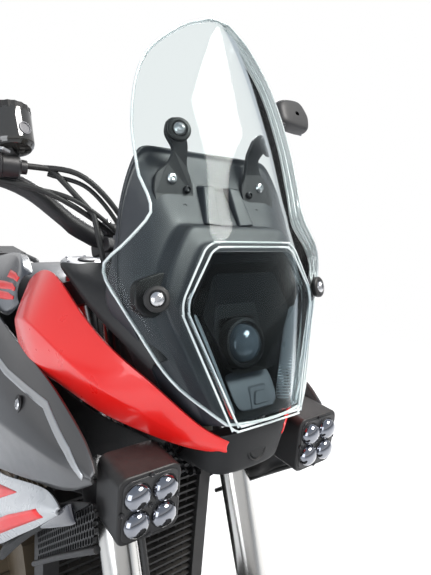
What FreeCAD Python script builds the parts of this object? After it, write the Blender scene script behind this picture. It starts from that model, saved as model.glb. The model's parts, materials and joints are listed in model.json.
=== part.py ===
import FreeCAD, Part
import Sketcher
import math
import os

# Adventure motorcycle, upright twin, as it parks: leaning left on its side stand, bars turned left.
# Every piece is drawn on the upright machine with straight bars: X forward, Y to the rider's left,
# Z up, ground at Z 0. The placements at the end lean and steer it.
os.makedirs("parts", exist_ok=True)
doc = FreeCAD.newDocument("adventure_motorcycle")
V = FreeCAD.Vector
Rotation = FreeCAD.Rotation
Placement = FreeCAD.Placement

SIZES = (
    ("arm_length", 608.25),
    ("lean_deg", 7.9),
    ("steer_deg", 10.9),
    ("rake_deg", 24.45),
    ("head_ground_x", 855),
    ("fork_offset", 44),
    ("fork_half_span", 105),
    ("fork_tube_radius", 21.5),
    ("guard_gap", 62),
    ("fork_tube_top", 1205),
    ("slider_radius", 29),
    ("slider_top", 690),
    ("top_clamp_low", 1165),
    ("top_clamp_thick", 30),
    ("low_clamp_low", 930),
    ("low_clamp_thick", 35),
    ("stem_radius", 15),
    ("head_tube_radius", 31),
    ("running_gap", 0.05),
    ("seat_gap", 0.3),
    ("front_tyre_height", 84),
    ("front_tyre_width", 110),
    ("front_rim_radius", 245),
    ("rear_tyre_height", 101),
    ("rear_tyre_width", 150),
    ("rear_rim_radius", 220),
    ("axle_radius", 12.5),
    ("axle_bore_radius", 8),
    ("front_disc_radius", 155),
    ("front_disc_offset", 63),
    ("rear_disc_radius", 130),
    ("disc_thick", 4.5),
    ("bar_radius", 11.1),
    ("bar_clamp_radius", 14.3),
    ("bar_high", 1258),
    ("bar_ahead", 34),
    ("riser_half_span", 52),
    ("grip_radius", 16.5),
    ("screen_wall", 4),
    ("panel_wall", 4),
    ("red_wall", 3.5),
    ("frame_tube_radius", 14),
    ("spar_out", 122),
    ("spar_half_wide", 13),
    ("engine_half_wide", 128),
    ("head_half_wide", 100),
    ("pivot_x", -140),
    ("pivot_z", 430),
    ("chain_out", 90),
    ("chain_wide", 18),
    ("front_sprocket_x", -52),
    ("chain_pitch", 15.875),
    ("chain_links", 118),
    ("front_teeth", 16),
    ("rear_teeth", 42),
    ("sprocket_thick", 7),
    ("header_radius", 21),
    ("radiator_x", 375),
    ("radiator_half_wide", 140),
    ("radiator_thick", 30),
    ("radiator_low", 545),
    ("radiator_high", 800),
    ("cowl_depth", 116),
    ("shock_top_x", -70),
    ("shock_top_z", 650),
    ("skid_half_wide", 96),
    ("stand_x", -60),
    ("stand_out", 146),
    ("stand_z", 262),
    ("stand_radius", 12),
    ("stand_foot_x", -44),
    ("stand_foot_out", 252),
)
sheet = doc.addObject("Spreadsheet::Sheet", "Sizes")
for row, (name, value) in enumerate(SIZES, 1):
    sheet.set("A%d" % row, name)
    sheet.set("B%d" % row, str(value))
    sheet.setAlias("B%d" % row, name)
doc.recompute()
nodes = []


def size(name):
    return float(sheet.get(name))


# A length that keeps, beside its value, the formula in the sheet's sizes that gives it.
class Length:
    def __init__(self, value, formula):
        self.value = value
        self.formula = formula

    def __add__(self, other):
        other = length(other)
        return Length(self.value + other.value, "(%s + %s)" % (self.formula, other.formula))

    def __sub__(self, other):
        other = length(other)
        return Length(self.value - other.value, "(%s - %s)" % (self.formula, other.formula))

    def __mul__(self, other):
        other = length(other)
        return Length(self.value * other.value, "(%s * %s)" % (self.formula, other.formula))

    def __truediv__(self, other):
        other = length(other)
        return Length(self.value / other.value, "(%s / %s)" % (self.formula, other.formula))

    def __neg__(self):
        return Length(-self.value, "(0 - %s)" % self.formula)


def length(given):
    if isinstance(given, Length):
        return given
    if isinstance(given, str):
        return Length(size(given), "Sizes." + given)
    return Length(float(given), repr(float(given)))


def new_body(label, group):
    body = doc.addObject("PartDesign::Body", label)
    body.Label = label
    body.AllowCompound = True
    nodes.append((body, group))
    return body


def plane_sketch(body, name, role):
    plane = next(feature for feature in body.Origin.OriginFeatures if feature.Role == role)
    sketch = body.newObject("Sketcher::SketchObject", name)
    sketch.AttachmentSupport = (plane, [""])
    sketch.MapMode = "FlatFace"
    return sketch


def bind(sketch, kind, place, given):
    given = length(given)
    index = sketch.addConstraint(Sketcher.Constraint(kind, *place, given.value))
    sketch.setExpression("Constraints[%d]" % index, given.formula)


# A closed outline through corners of bound lengths. Where crown_radius is given, the side that starts at
# corner number crown_side is an arc of that radius, bulging to higher values of the sketch's second axis.
def draw_outline(sketch, corners, crown_side=None, crown_radius=None):
    corners = [(length(a), length(b)) for a, b in corners]
    spots = [V(a.value, b.value, 0) for a, b in corners]
    first = sketch.GeometryCount
    count = len(corners)
    for number, start in enumerate(spots):
        end = spots[(number + 1) % count]
        if number == crown_side:
            drop = math.sqrt(crown_radius.value ** 2 - ((end - start).Length / 2) ** 2)
            top = (start + end) * 0.5 + V(0, crown_radius.value - drop, 0)
            sketch.addGeometry(Part.Arc(start, top, end), False)
        else:
            sketch.addGeometry(Part.LineSegment(start, end), False)
    for number, (a, b) in enumerate(corners):
        line = number - 1 if number == crown_side else number
        place = (first + line % count, 2 if number == crown_side else 1)
        bind(sketch, "DistanceX", place, a)
        bind(sketch, "DistanceY", place, b)
    for number in range(count):
        follower = (number + 1) % count
        end_spot = 1 if number == crown_side else 2
        start_spot = 2 if follower == crown_side else 1
        meeting = (first + number, end_spot, first + follower, start_spot)
        sketch.addConstraint(Sketcher.Constraint("Coincident", *meeting))
    if crown_radius is not None:
        bind(sketch, "Radius", (first + crown_side,), crown_radius)


def turned(body, name, outlines, crown_side=None, crown_radius=None):
    sketch = plane_sketch(body, name + "_section", "YZ_Plane")
    for outline in outlines:
        draw_outline(sketch, outline, crown_side, crown_radius)
    turn = body.newObject("PartDesign::Revolution", name)
    turn.Profile = sketch
    turn.ReferenceAxis = (sketch, ["H_Axis"])
    turn.Angle = 360
    return turn


def wheel_pattern(body, feature, sketch, count):
    doc.recompute()
    pattern = body.newObject("PartDesign::PolarPattern", feature.Name + "_ring")
    pattern.Originals = [feature]
    pattern.Axis = (sketch, ["N_Axis"])
    pattern.Angle = 360
    pattern.Occurrences = count
    body.Tip = pattern
    return pattern


# A ring of round holes across the wheel, cut to both sides of the plane that lies at a given place.
def hole_ring(body, name, left, place_radius, hole_radius, deep, count):
    sketch = plane_sketch(body, name + "_place", "XZ_Plane")
    sketch.setExpression(".AttachmentOffset.Base.z", (-length(left)).formula)
    centre = V(length(place_radius).value, 0, 0)
    circle = sketch.addGeometry(Part.Circle(centre, V(0, 0, 1), length(hole_radius).value), False)
    bind(sketch, "DistanceX", (circle, 3), place_radius)
    bind(sketch, "DistanceY", (circle, 3), 0)
    bind(sketch, "Radius", (circle,), hole_radius)
    doc.recompute()
    solid_before = body.Shape.Volume
    pocket = body.newObject("PartDesign::Pocket", name)
    pocket.Profile = sketch
    pocket.SideType = "Symmetric"
    pocket.setExpression("Length", length(deep).formula)
    doc.recompute()
    if body.Shape.Volume > solid_before - 1:
        raise RuntimeError(name + " cuts nothing")
    return wheel_pattern(body, pocket, sketch, count)


def polygon(points):
    return Part.makePolygon(list(points) + [points[0]])


def loft(outlines):
    return Part.makeLoft([polygon(outline) for outline in outlines], True, True)


def box(x_low, x_high, y_low, y_high, z_low, z_high):
    return Part.makeBox(x_high - x_low, y_high - y_low, z_high - z_low, V(x_low, y_low, z_low))


def rod(start, end, radius):
    return Part.makeCylinder(radius, (end - start).Length, start, end - start)


def across(x, y_low, y_high, z, radius):
    return Part.makeCylinder(radius, y_high - y_low, V(x, y_low, z), V(0, 1, 0))


def joined(shapes):
    whole = shapes[0].multiFuse(shapes[1:])
    whole = whole.removeSplitter()
    return whole


def largest(shape):
    return max(shape.Solids, key=lambda solid: solid.Volume)


def nearest(shape, point):
    spot = Part.Vertex(point)
    return min(shape.Solids, key=lambda solid: solid.distToShape(spot)[0])


def tube_frame(points, radius):
    runs = []
    for start, end in zip(points, points[1:]):
        runs.append(rod(start, end, radius))
    for corner in points[1:-1]:
        runs.append(Part.makeSphere(radius, corner))
    return joined(runs)


def bend_path(points, bend_radius):
    edges = []
    last = points[0]
    for before, corner, after in zip(points, points[1:], points[2:]):
        back = (before - corner).normalize()
        ahead = (after - corner).normalize()
        half_turn = (math.pi - back.getAngle(ahead)) / 2
        reach = bend_radius * math.tan(half_turn)
        middle = (back + ahead).normalize() * (bend_radius / math.cos(half_turn) - bend_radius)
        edges.append(Part.LineSegment(last, corner + back * reach).toShape())
        edges.append(Part.Arc(corner + back * reach, corner + middle, corner + ahead * reach).toShape())
        last = corner + ahead * reach
    edges.append(Part.LineSegment(last, points[-1]).toShape())
    return Part.Wire(edges)


def bent_tube(points, bend_radius, radius):
    path = bend_path(points, bend_radius)
    ring = Part.Wire(Part.makeCircle(radius, points[0], points[1] - points[0]))
    return path.makePipeShell([ring], True, False)


def mirrored(shape):
    return shape.mirror(V(0, 0, 0), V(0, 1, 0))


def pair(right):
    return Part.makeCompound([right, mirrored(right)])


def side_outline(points, y_low, y_high):
    face = Part.Face(polygon([V(x, y_low, z) for x, z in points]))
    return face.extrude(V(0, y_high - y_low, 0))


# A creased body panel of the right side. Each row is one cross-section line in the side view, from its
# top to its low end, with how far out the top, the crease and the low edge stand.
def creased_panel(rows, wall, crease=0.5):
    outlines = []
    for x_top, z_top, x_low, z_low, out_top, out_crease, out_low in rows:
        x_mid = x_top + (x_low - x_top) * crease
        z_mid = z_top + (z_low - z_top) * crease
        chain = ((x_top, out_top, z_top), (x_mid, out_crease, z_mid), (x_low, out_low, z_low))
        outer = [V(x, -out, z) for x, out, z in chain]
        inner = [V(x, -out + wall, z) for x, out, z in reversed(chain)]
        outlines.append(outer + inner)
    return loft(outlines)


# A round boss from a panel's inner face in to the carrier that stands inner_out from the middle plane.
def panel_boss(rows, x, z, radius, inner_out, crease=0.5):
    slim = [row[:4] + tuple(out - 1 for out in row[4:]) for row in rows]
    return across(x, -300, -inner_out, z, radius).common(creased_panel(slim, 120, crease))


def revolved(points, centre, angle=360):
    face = Part.Face(polygon([V(centre.x, y, centre.z + r) for r, y in points]))
    return face.revolve(centre, V(0, 1, 0), angle)


# Where the chain's pins lie round a sprocket.
def sprocket_pitch_radius(teeth_name):
    value = size("chain_pitch") / 2 / math.sin(math.pi / size(teeth_name))
    return Length(value, "(Sizes.chain_pitch / 2 / sin(180 deg / Sizes.%s))" % teeth_name)


roller_half = 3.6
turning_clearance = 1

rake = math.radians(size("rake_deg"))
head_x = size("head_ground_x")
fork_offset = size("fork_offset")
fork_span = size("fork_half_span")


# The steering frame: its Z runs up the steering axis from the ground, its X points ahead of the axis.
def steer_point(ahead, left, along):
    return V(
        head_x - along * math.sin(rake) + ahead * math.cos(rake),
        left,
        along * math.cos(rake) + ahead * math.sin(rake),
    )


front_radius = size("front_rim_radius") + size("front_tyre_height")
rear_radius = size("rear_rim_radius") + size("rear_tyre_height")
axle_along = (front_radius - fork_offset * math.sin(rake)) / math.cos(rake)
front_axle = steer_point(fork_offset, 0, axle_along)
rear_axle_x = size("pivot_x") - size("arm_length")
rear_axle_z = rear_radius
arm_drop = size("pivot_z") - rear_axle_z


def add(label, shape, group):
    piece = doc.addObject("Part::Feature", label)
    piece.Label = label
    piece.Shape = shape
    nodes.append((piece, group))
    return piece


# Frame: head tube, two side spars to the swingarm pivot, down tubes, tail rails and their struts.
gap = size("seat_gap")
tube_radius = size("frame_tube_radius")
spar_out = size("spar_out")
spar_half = size("spar_half_wide")
pivot_x = size("pivot_x")
pivot_z = size("pivot_z")
stem_radius = size("stem_radius")
head_low = size("low_clamp_low") + size("low_clamp_thick") + 6
head_high = size("top_clamp_low") - 6
head_tube = rod(steer_point(0, 0, head_low), steer_point(0, 0, head_high), size("head_tube_radius"))
spar_rows = (
    (398, 24, 972, 60),
    (330, 92, 915, 64),
    (230, spar_out, 852, 62),
    (0, spar_out, 735, 58),
    (pivot_x + 15, spar_out, 560, 64),
    (pivot_x, spar_out, 380, 70),
)


def spar():
    outlines = []
    for number, (x, out, z, high) in enumerate(spar_rows):
        lean = 0 if number < 4 else 1
        dx = high / 2 * lean
        dz = high / 2 * (1 - lean)
        outlines.append([
            V(x - dx, -out - spar_half, z + dz), V(x - dx, -out + spar_half, z + dz),
            V(x + dx, -out + spar_half, z - dz), V(x + dx, -out - spar_half, z - dz),
        ])
    return loft(outlines)


rail_rise = 0.113
rail_out = 95


def rail_z(x):
    return 775 - (x + 40) * rail_rise


# The plane of the headlight, which sets the whole head of the fairing.
lamp_centre = V(645, 0, 1107)
lamp_tilt = math.radians(17.1)


def lamp_point(left, up, back):
    return lamp_centre + V(
        -up * math.sin(lamp_tilt) - back * math.cos(lamp_tilt),
        left,
        up * math.cos(lamp_tilt) - back * math.sin(lamp_tilt),
    )


def lamp_plane_x(z, back):
    up = (z - lamp_centre.z + back * math.sin(lamp_tilt)) / math.cos(lamp_tilt)
    return lamp_point(0, up, back).x


cowl_depth = size("cowl_depth")
stay_low = 1002
stay_high = 1038
fairing_stay = side_outline(((422, stay_low), (418, stay_high),
                             (lamp_plane_x(stay_high, cowl_depth) - gap, stay_high),
                             (lamp_plane_x(stay_low, cowl_depth) - gap, stay_low)), -18, 18)
right_spar = spar()
rail = tube_frame([V(-20, -spar_out + 8, 742), V(-110, -rail_out, rail_z(-110)),
                   V(-870, -rail_out, rail_z(-870))], tube_radius)
strut = tube_frame([V(-112, -spar_out + 4, 560), V(-470, -rail_out, rail_z(-470))], 11)
cradle_out = 112
cradle_z = 283
down_tube = tube_frame([V(424, -18, 930), V(345, -98, 800), V(325, -106, 440), V(250, -cradle_out, cradle_z),
                        V(-100, -cradle_out, cradle_z), V(-132, -spar_out + 3, 402)], tube_radius)
cross_low = rod(V(-109, -cradle_out - 2, 318), V(-109, cradle_out + 2, 318), 9)
cross_rear = rod(V(-560, -rail_out, rail_z(-560)), V(-560, rail_out, rail_z(-560)), 10)
cross_tail = rod(V(-850, -rail_out, rail_z(-850)), V(-850, rail_out, rail_z(-850)), 10)
side = joined([right_spar, rail, strut, down_tube])
shock_top = V(size("shock_top_x"), 0, size("shock_top_z"))
frame_shape = joined([head_tube, fairing_stay, side, mirrored(side), cross_low, cross_rear, cross_tail])
stem_hole = rod(steer_point(0, 0, head_low - 5), steer_point(0, 0, head_high + 5),
                stem_radius + size("running_gap"))
frame_shape = frame_shape.cut(stem_hole)
stand_pivot = V(size("stand_x"), size("stand_out"), size("stand_z"))
stand_down = V(0.07, 0.43, -0.90).normalize()
stand_back = V(-1, 0.05, 0.05).normalize()
stand_axis = stand_down.cross(stand_back).normalize()
lug_half = 6
lug_radius = 15
lug_pin = 6
lug_out = stand_pivot + stand_axis * (lug_half + gap)
lug_in = stand_pivot - stand_axis * (lug_half + gap)
lug_arm = rod(V(stand_pivot.x, cradle_out, cradle_z), lug_in - stand_axis * 12, 9)
lug = joined([rod(lug_in - stand_axis * 18, lug_in, lug_radius),
              rod(lug_out, lug_out + stand_axis * 6, lug_radius),
              rod(lug_in - stand_axis * 2, lug_out + stand_axis * 9, lug_pin), lug_arm])
frame_shape = frame_shape.fuse(lug)
add("frame", frame_shape, "chassis")

# Engine: crankcase, gearbox, leaning cylinders with a cam cover, clutch and alternator covers.
case_half = size("engine_half_wide")
head_half = size("head_half_wide")
case_line = ((0, 300), (0, 560), (40, 620), (250, 620), (288, 560), (288, 380), (250, 318), (200, 300))
case = side_outline(case_line, -case_half, case_half)
for side_sign in (-1, 1):
    case = case.cut(rod(V(240, side_sign * cradle_out, 262), V(325, side_sign * 106, 440), tube_radius + 6))
gearbox_line = ((-98, 330), (-98, 520), (-60, 590), (40, 620), (40, 300), (-60, 300))
gearbox = side_outline(gearbox_line, -case_half + 30, 74)
cylinders = side_outline(((60, 600), (240, 600), (292, 742), (284, 800), (92, 835)), -head_half, head_half)
# Round side covers: side of the machine, centre, radius and depth of the wide step, then of the narrow one.
cover_steps = (
    (-1, 70, 452, 92, 34, 72, 44),
    (1, 205, 452, 72, 30, 52, 38),
    (-1, 232, 400, 34, 22, 20, 32),
    (1, 96, 392, 30, 16, 18, 22),
)
covers = []
for side_sign, cover_x, cover_z, wide, wide_deep, narrow, narrow_deep in cover_steps:
    for radius, deep in ((wide, wide_deep), (narrow, narrow_deep)):
        covers.append(rod(V(cover_x, side_sign * (case_half - 2), cover_z),
                          V(cover_x, side_sign * (case_half + deep), cover_z), radius))
    if wide > 50:
        for number in range(8):
            turn = math.radians(22.5 + 45 * number)
            boss_x = cover_x + (wide + 1) * math.cos(turn)
            boss_z = cover_z + (wide + 1) * math.sin(turn)
            covers.append(rod(V(boss_x, side_sign * (case_half - 2), boss_z),
                              V(boss_x, side_sign * (case_half + wide_deep - 6), boss_z), 8))
oil_filter = rod(V(284, 0, 410), V(340, 0, 410), 20)
cam_cover = side_outline(((112, 824), (120, 850), (132, 856), (248, 835), (262, 822), (268, 800)), -88, 88)
plug_wells = []
for cylinder_out in (-45, 45):
    plug_wells.append(rod(V(196, cylinder_out, 846), V(186, cylinder_out, 900), 17))
# Intake: two throttle bodies from the head up to the air box between the spars.
air_box = side_outline(((-72, 792), (-50, 846), (16, 856), (34, 806), (20, 772), (-50, 764)), -84, 84)
throttles = []
for cylinder_out in (-45, 45):
    throttles.append(rod(V(100, cylinder_out, 762), V(10, cylinder_out, 806), 24))
    throttles.append(rod(V(72, cylinder_out, 776), V(54, cylinder_out, 785), 29))
front_sprocket_x = size("front_sprocket_x")
chain_out = size("chain_out")
sprocket_half = size("sprocket_thick") / 2
front_tip = sprocket_pitch_radius("front_teeth").value - roller_half - gap
front_sprocket = joined([
    across(front_sprocket_x, 70, chain_out + sprocket_half, pivot_z, 24),
    across(front_sprocket_x, chain_out - sprocket_half, chain_out + sprocket_half, pivot_z, front_tip),
])
mount_boss = across(130, -spar_out + spar_half + gap, spar_out - spar_half - gap, 808, 11)
case_feet = []
for foot_x in (30, 200):
    for side_sign in (-1, 1):
        foot_out = side_sign * cradle_out
        foot = box(foot_x - 16, foot_x + 16, foot_out - 10, foot_out + 10, 290, 310)
        cradle_room = rod(V(0, foot_out, cradle_z), V(240, foot_out, cradle_z), tube_radius + gap)
        case_feet.append(foot.cut(cradle_room))
engine_blocks = [case, gearbox, cylinders, cam_cover, air_box, mount_boss, front_sprocket, oil_filter]
engine_shape = joined(engine_blocks + case_feet + covers + throttles)
for plug_well in plug_wells:
    engine_shape = engine_shape.cut(plug_well)
add("engine", engine_shape, "chassis")

# Skid plate: one folded sheet below and ahead of the engine with turned-up sides.
skid_half = size("skid_half_wide")
skid_line = ((374, 500), (358, 335), (306, 237), (-92, 232))
skid_inner = ((368, 500), (352, 336.5), (302.8, 243), (-92, 238))
skid = side_outline(skid_line + tuple(reversed(skid_inner)), -skid_half, skid_half)
skid_side_line = ((364, 420), (358, 335), (306, 237), (-92, 232), (-92, 262), (286, 270), (340, 345),
                  (350, 420))
skid_side = side_outline(skid_side_line, -skid_half - 4, -skid_half)
cradle_room = rod(V(-100, -cradle_out, cradle_z), V(250, -cradle_out, cradle_z), tube_radius + gap)
skid_ears = []
for ear_x in (-22, 190):
    ear = box(ear_x - 14, ear_x + 14, -cradle_out - 6, -skid_half, 236, cradle_z)
    skid_ears.append(ear.cut(cradle_room))
skid_side = joined([skid_side] + skid_ears)
add("skid_plate", joined([skid, skid_side, mirrored(skid_side)]), "chassis")

# Exhaust: two header pipes down the front of the engine into one pipe to the silencer.
header = size("header_radius")
header_right = bent_tube([V(291, -45, 722), V(322, -45, 712), V(322, -45, 330), V(285, -45, 268),
                          V(60, -45, 268)], 30, header)
header_left = bent_tube([V(291, 45, 722), V(322, 45, 712), V(322, 45, 330), V(285, 45, 268),
                         V(210, 45, 268), V(90, -42, 268)], 30, header)
pipe_bend = V(-275, -158, 318)
pipe_end = V(-446, -180, 434)
collector = bent_tube([V(75, -45, 267), V(-180, -56, 267), pipe_bend, pipe_end], 60, header + 3)
port_way = V(31, 0, -10).normalize()
port_room = cylinders.copy()
port_room.translate(V(gap, 0, 0))
port_flanges = []
for port_out in (-45, 45):
    port = V(291, port_out, 722)
    flange = rod(port - port_way * 14, port + port_way * 8, header + 6).cut(port_room)
    port_flanges.append(nearest(flange, port + port_way * 8))
add("exhaust_header", joined([header_right, header_left, collector] + port_flanges), "chassis")


def oval_ring(x, y, z, half_wide, half_high, corner):
    points = []
    for side_y, side_z in ((1, 1), (1, -1), (-1, -1), (-1, 1)):
        flat = V(x, y + side_y * (half_wide - corner), z + side_z * half_high)
        upright = V(x, y + side_y * half_wide, z + side_z * (half_high - corner))
        points += [flat, upright] if side_y == side_z else [upright, flat]
    return points


muffler_rows = (
    (-440, -180, 432, 30, 30, 14),
    (-500, -186, 452, 52, 62, 26),
    (-820, -190, 528, 54, 66, 28),
    (-868, -190, 540, 38, 46, 20),
)
muffler = loft([oval_ring(*row) for row in muffler_rows])
hanger_line = [V(-405, -180, 515), V(-310, -150, 660), V(-262, -rail_out - 3, rail_z(-262) - 4)]
hanger_radius = 9
muffler_strap = side_outline(((-548, 508), (-500, 556), (-372, 556), (-372, 536), (-436, 530), (-478, 482)),
                             -178, -172)
muffler_strap = nearest(muffler_strap.cut(tube_frame(hanger_line, hanger_radius + gap)), V(-500, -175, 520))
outlet = rod(V(-905, -190, 549), V(-800, -190, 523), 24)
outlet_bore = rod(V(-906, -190, 549.2), V(-812, -190, 526), 21)
pipe_way = (pipe_end - pipe_bend).normalize()
pipe_socket = rod(pipe_end - pipe_way * 60, pipe_end + pipe_way * gap, header + 3 + gap)
muffler_shape = joined([muffler, outlet, muffler_strap]).cut(outlet_bore).cut(pipe_socket)
add("muffler", muffler_shape, "chassis")

# Radiator in front of the down tubes: flat water tubes and upright fins between two side tanks.
radiator_x = size("radiator_x")
radiator_half = size("radiator_half_wide")
radiator_thick = size("radiator_thick")
radiator_high = size("radiator_high")
tank_wide = 22
tube_count = 18
fin_count = 14


def bound_box(name, low, high):
    block = doc.addObject("Part::Box", name)
    for side, axis, low_face, high_face in zip(("Length", "Width", "Height"), "xyz", low, high):
        block.setExpression(side, (length(high_face) - low_face).formula)
        block.setExpression(".Placement.Base." + axis, length(low_face).formula)
    return block


core_half = length("radiator_half_wide") - tank_wide
core_high = length("radiator_high") - "radiator_low"
radiator_back = length("radiator_x") + "radiator_thick"
radiator_blocks = []
for side_name, tank_low, tank_high in (("right", -length("radiator_half_wide"), -core_half),
                                       ("left", core_half, length("radiator_half_wide"))):
    radiator_blocks.append(bound_box("radiator_tank_" + side_name,
                                     (length("radiator_x") - 6, tank_low, length("radiator_low") - 8),
                                     (radiator_back + 6, tank_high, length("radiator_high") + 8)))
for number in range(tube_count + 1):
    tube_low = length("radiator_low") + core_high * number / tube_count - 2
    radiator_blocks.append(bound_box("radiator_tube_%d" % number, ("radiator_x", -core_half, tube_low),
                                     (radiator_back, core_half, tube_low + 4)))
for number in range(1, fin_count):
    fin_left = core_half * 2 * number / fin_count - core_half - 0.6
    radiator_blocks.append(bound_box("radiator_fin_%d" % number,
                                     (length("radiator_x") + 4, fin_left, "radiator_low"),
                                     (radiator_back - 4, fin_left + 1.2, "radiator_high")))
stay = box(338, radiator_x, -radiator_half + 22, -92, 700, 716)
stay = stay.cut(rod(V(345, -98, 800), V(325, -106, 440), tube_radius + gap))
stays = doc.addObject("Part::Feature", "radiator_stays")
stays.Shape = pair(nearest(stay, V(radiator_x, -100, 708)))
filler = doc.addObject("Part::Feature", "radiator_filler")
filler_foot = V(radiator_x + radiator_thick / 2, radiator_half - tank_wide / 2, radiator_high)
filler.Shape = rod(filler_foot, filler_foot + V(0, 0, 26), 17)
radiator = doc.addObject("Part::MultiFuse", "radiator")
radiator.Label = "radiator"
radiator.Shapes = radiator_blocks + [stays, filler]
radiator.Refine = True
nodes.append((radiator, "chassis"))

# Fuel tank between the spars and the knees.
tank_rows = (
    (316, 70, 956, 1062, 30),
    (250, 142, 906, 1098, 46),
    (90, 148, 872, 1092, 50),
    (-50, 104, 868, 985, 36),
    (-96, 84, 868, 938, 24),
)


def shoulder_ring(x, half_wide, low, high, shoulder):
    return [
        V(x, half_wide - shoulder, high), V(x, half_wide, high - shoulder), V(x, half_wide, low),
        V(x, -half_wide, low), V(x, -half_wide, high - shoulder), V(x, -half_wide + shoulder, high),
    ]


tank_shell = loft([shoulder_ring(*row) for row in tank_rows])
tank_lug = Part.makeCylinder(14, 80, V(222, -spar_out, 850))
lifted_spar = right_spar.copy()
lifted_spar.translate(V(0, 0, gap))
tank_lug = nearest(tank_lug.cut(lifted_spar), V(222, -spar_out, 930))
add("fuel_tank", joined([tank_shell, tank_lug, mirrored(tank_lug)]), "chassis")

# Seats: low rider's seat and higher pillion pad on the tail rails.
rail_top = tube_radius + gap
rider_rows = (
    (-104, 62, 14, 152, 22),
    (-200, 92, 14, 116, 24),
    (-380, 128, 14, 88, 24),
    (-448, 126, 14, 104, 24),
)
pillion_rows = (
    (-454, 116, 14, 118, 24),
    (-500, 112, 14, 138, 26),
    (-640, 98, 14, 132, 26),
    (-716, 80, 14, 118, 22),
)
seat_parts = []
for rows in (rider_rows, pillion_rows):
    rings = []
    for x, half_wide, low, high, shoulder in rows:
        floor = rail_z(x) + rail_top
        rings.append(shoulder_ring(x, half_wide, floor, floor + high, shoulder))
    seat_parts.append(loft(rings))
add("seat", Part.makeCompound(seat_parts), "chassis")

# Tail covers outside the rails, and the rear guard that carries the plate.
wall = size("panel_wall")
tail_rows = (
    (-118, 842, -130, 742, 128, 134, 128),
    (-300, 850, -300, 770, 138, 146, 132),
    (-520, 862, -500, 800, 138, 148, 130),
    (-760, 888, -720, 842, 126, 134, 122),
    (-880, 904, -860, 862, 118, 122, 116),
)
tail_bosses = [panel_boss(tail_rows, x, rail_z(x), 8, rail_out + tube_radius + gap) for x in (-240, -780)]
tail_side = joined([creased_panel(tail_rows, wall)] + tail_bosses)
tail_end = loft([
    [V(-884.5, -88, 905), V(-884.5, 88, 905), V(-884.5, 88, 862), V(-884.5, -88, 862)],
    [V(-930, -66, 906), V(-930, 66, 906), V(-930, 66, 872), V(-930, -66, 872)],
])
guard_low_x = rear_axle_x - 326.7
guard_low_z = rear_axle_z + 219
guard_mid = V(guard_low_x + 35, 0, guard_low_z + 100)
guard_high = V(guard_low_x + 115, 0, guard_low_z + 250)
guard_line = ((-872, 846), (guard_high.x, guard_high.z), (guard_mid.x, guard_mid.z),
              (guard_low_x, guard_low_z))
guard_inner = ((-872, 842), (guard_high.x + 3, guard_high.z - 3), (guard_mid.x + 4, guard_mid.z - 1),
               (guard_low_x + 4, guard_low_z - 1))
signal_share = 0.68
signal_x = guard_mid.x + (guard_high.x - guard_mid.x) * signal_share + 3
signal_z = guard_mid.z + (guard_high.z - guard_mid.z) * signal_share
rear_guard = side_outline(guard_line + tuple(reversed(guard_inner)), -72, 72)
guard_neck = box(-890, -842, -40, 40, 840, 864)
guard_neck = guard_neck.cut(rod(V(-850, -60, rail_z(-850)), V(-850, 60, rail_z(-850)), 10 + gap))
guard_neck = largest(guard_neck)
tail_middle = joined([tail_end, guard_neck, rear_guard])
add("tail_cover", Part.makeCompound([tail_side, mirrored(tail_side), tail_middle]), "chassis")

# Luggage rack of bent tube with a flat top plate.
rack_z = 985
rack_tube = 9
rack_side = bent_tube([V(-560, -134, 905), V(-640, -134, rack_z - 14), V(-905, -120, rack_z - 14),
                       V(-925, -60, rack_z - 14), V(-925, 5, rack_z - 14)], 26, rack_tube)
rack_leg = tube_frame([V(-800, -126, rack_z - 14), V(-800, -rail_out - 6, rail_z(-800) + 4)], rack_tube)
foot_radius = 8
foot_out = rail_out + tube_radius + gap + foot_radius
rack_foot = tube_frame([V(-560, -134, 905), V(-562, -foot_out, 866), V(-562, -foot_out, rail_z(-562) - 6)],
                       foot_radius)
rack_plate = box(-922, -735, -124, 124, rack_z - 8, rack_z)
plate_holes = []
for hole_x in (-825 - 50, -825 + 50):
    for hole_y in (-50, 50):
        plate_holes.append(Part.makeCylinder(4.25, 20, V(hole_x, hole_y, rack_z - 12)))
rack_right = joined([rack_foot, rack_side, rack_leg])
rack = joined([rack_right, mirrored(rack_right), rack_plate])
rail_room = rod(V(-500, -rail_out, rail_z(-500)), V(-870, -rail_out, rail_z(-870)), tube_radius + gap)
rack = rack.cut(rail_room).cut(mirrored(rail_room))
for hole in plate_holes:
    rack = rack.cut(hole)
add("luggage_rack", rack, "chassis")

# Tail lamp and rear turn signals.
tail_lamp = loft([
    [V(-930.5, -62, 902), V(-930.5, 62, 902), V(-930.5, 62, 876), V(-930.5, -62, 876)],
    [V(-948, -50, 898), V(-948, 50, 898), V(-948, 50, 880), V(-948, -50, 880)],
])
signal_stalk = rod(V(signal_x, -72 - gap, signal_z), V(signal_x, -140, signal_z), 7)
# Lamp sections: how far out, half length, half height.
signal_head = loft([[V(signal_x + ahead * half_long, -out, signal_z + up * half_high)
                     for ahead, up in ((-1, 1), (1, 1), (1, -1), (-1, -1))]
                    for out, half_long, half_high in ((140, 17, 13), (196, 11, 6))])
signal = joined([signal_stalk, signal_head])
add("rear_lamps", Part.makeCompound([tail_lamp, signal, mirrored(signal)]), "chassis")

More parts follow.
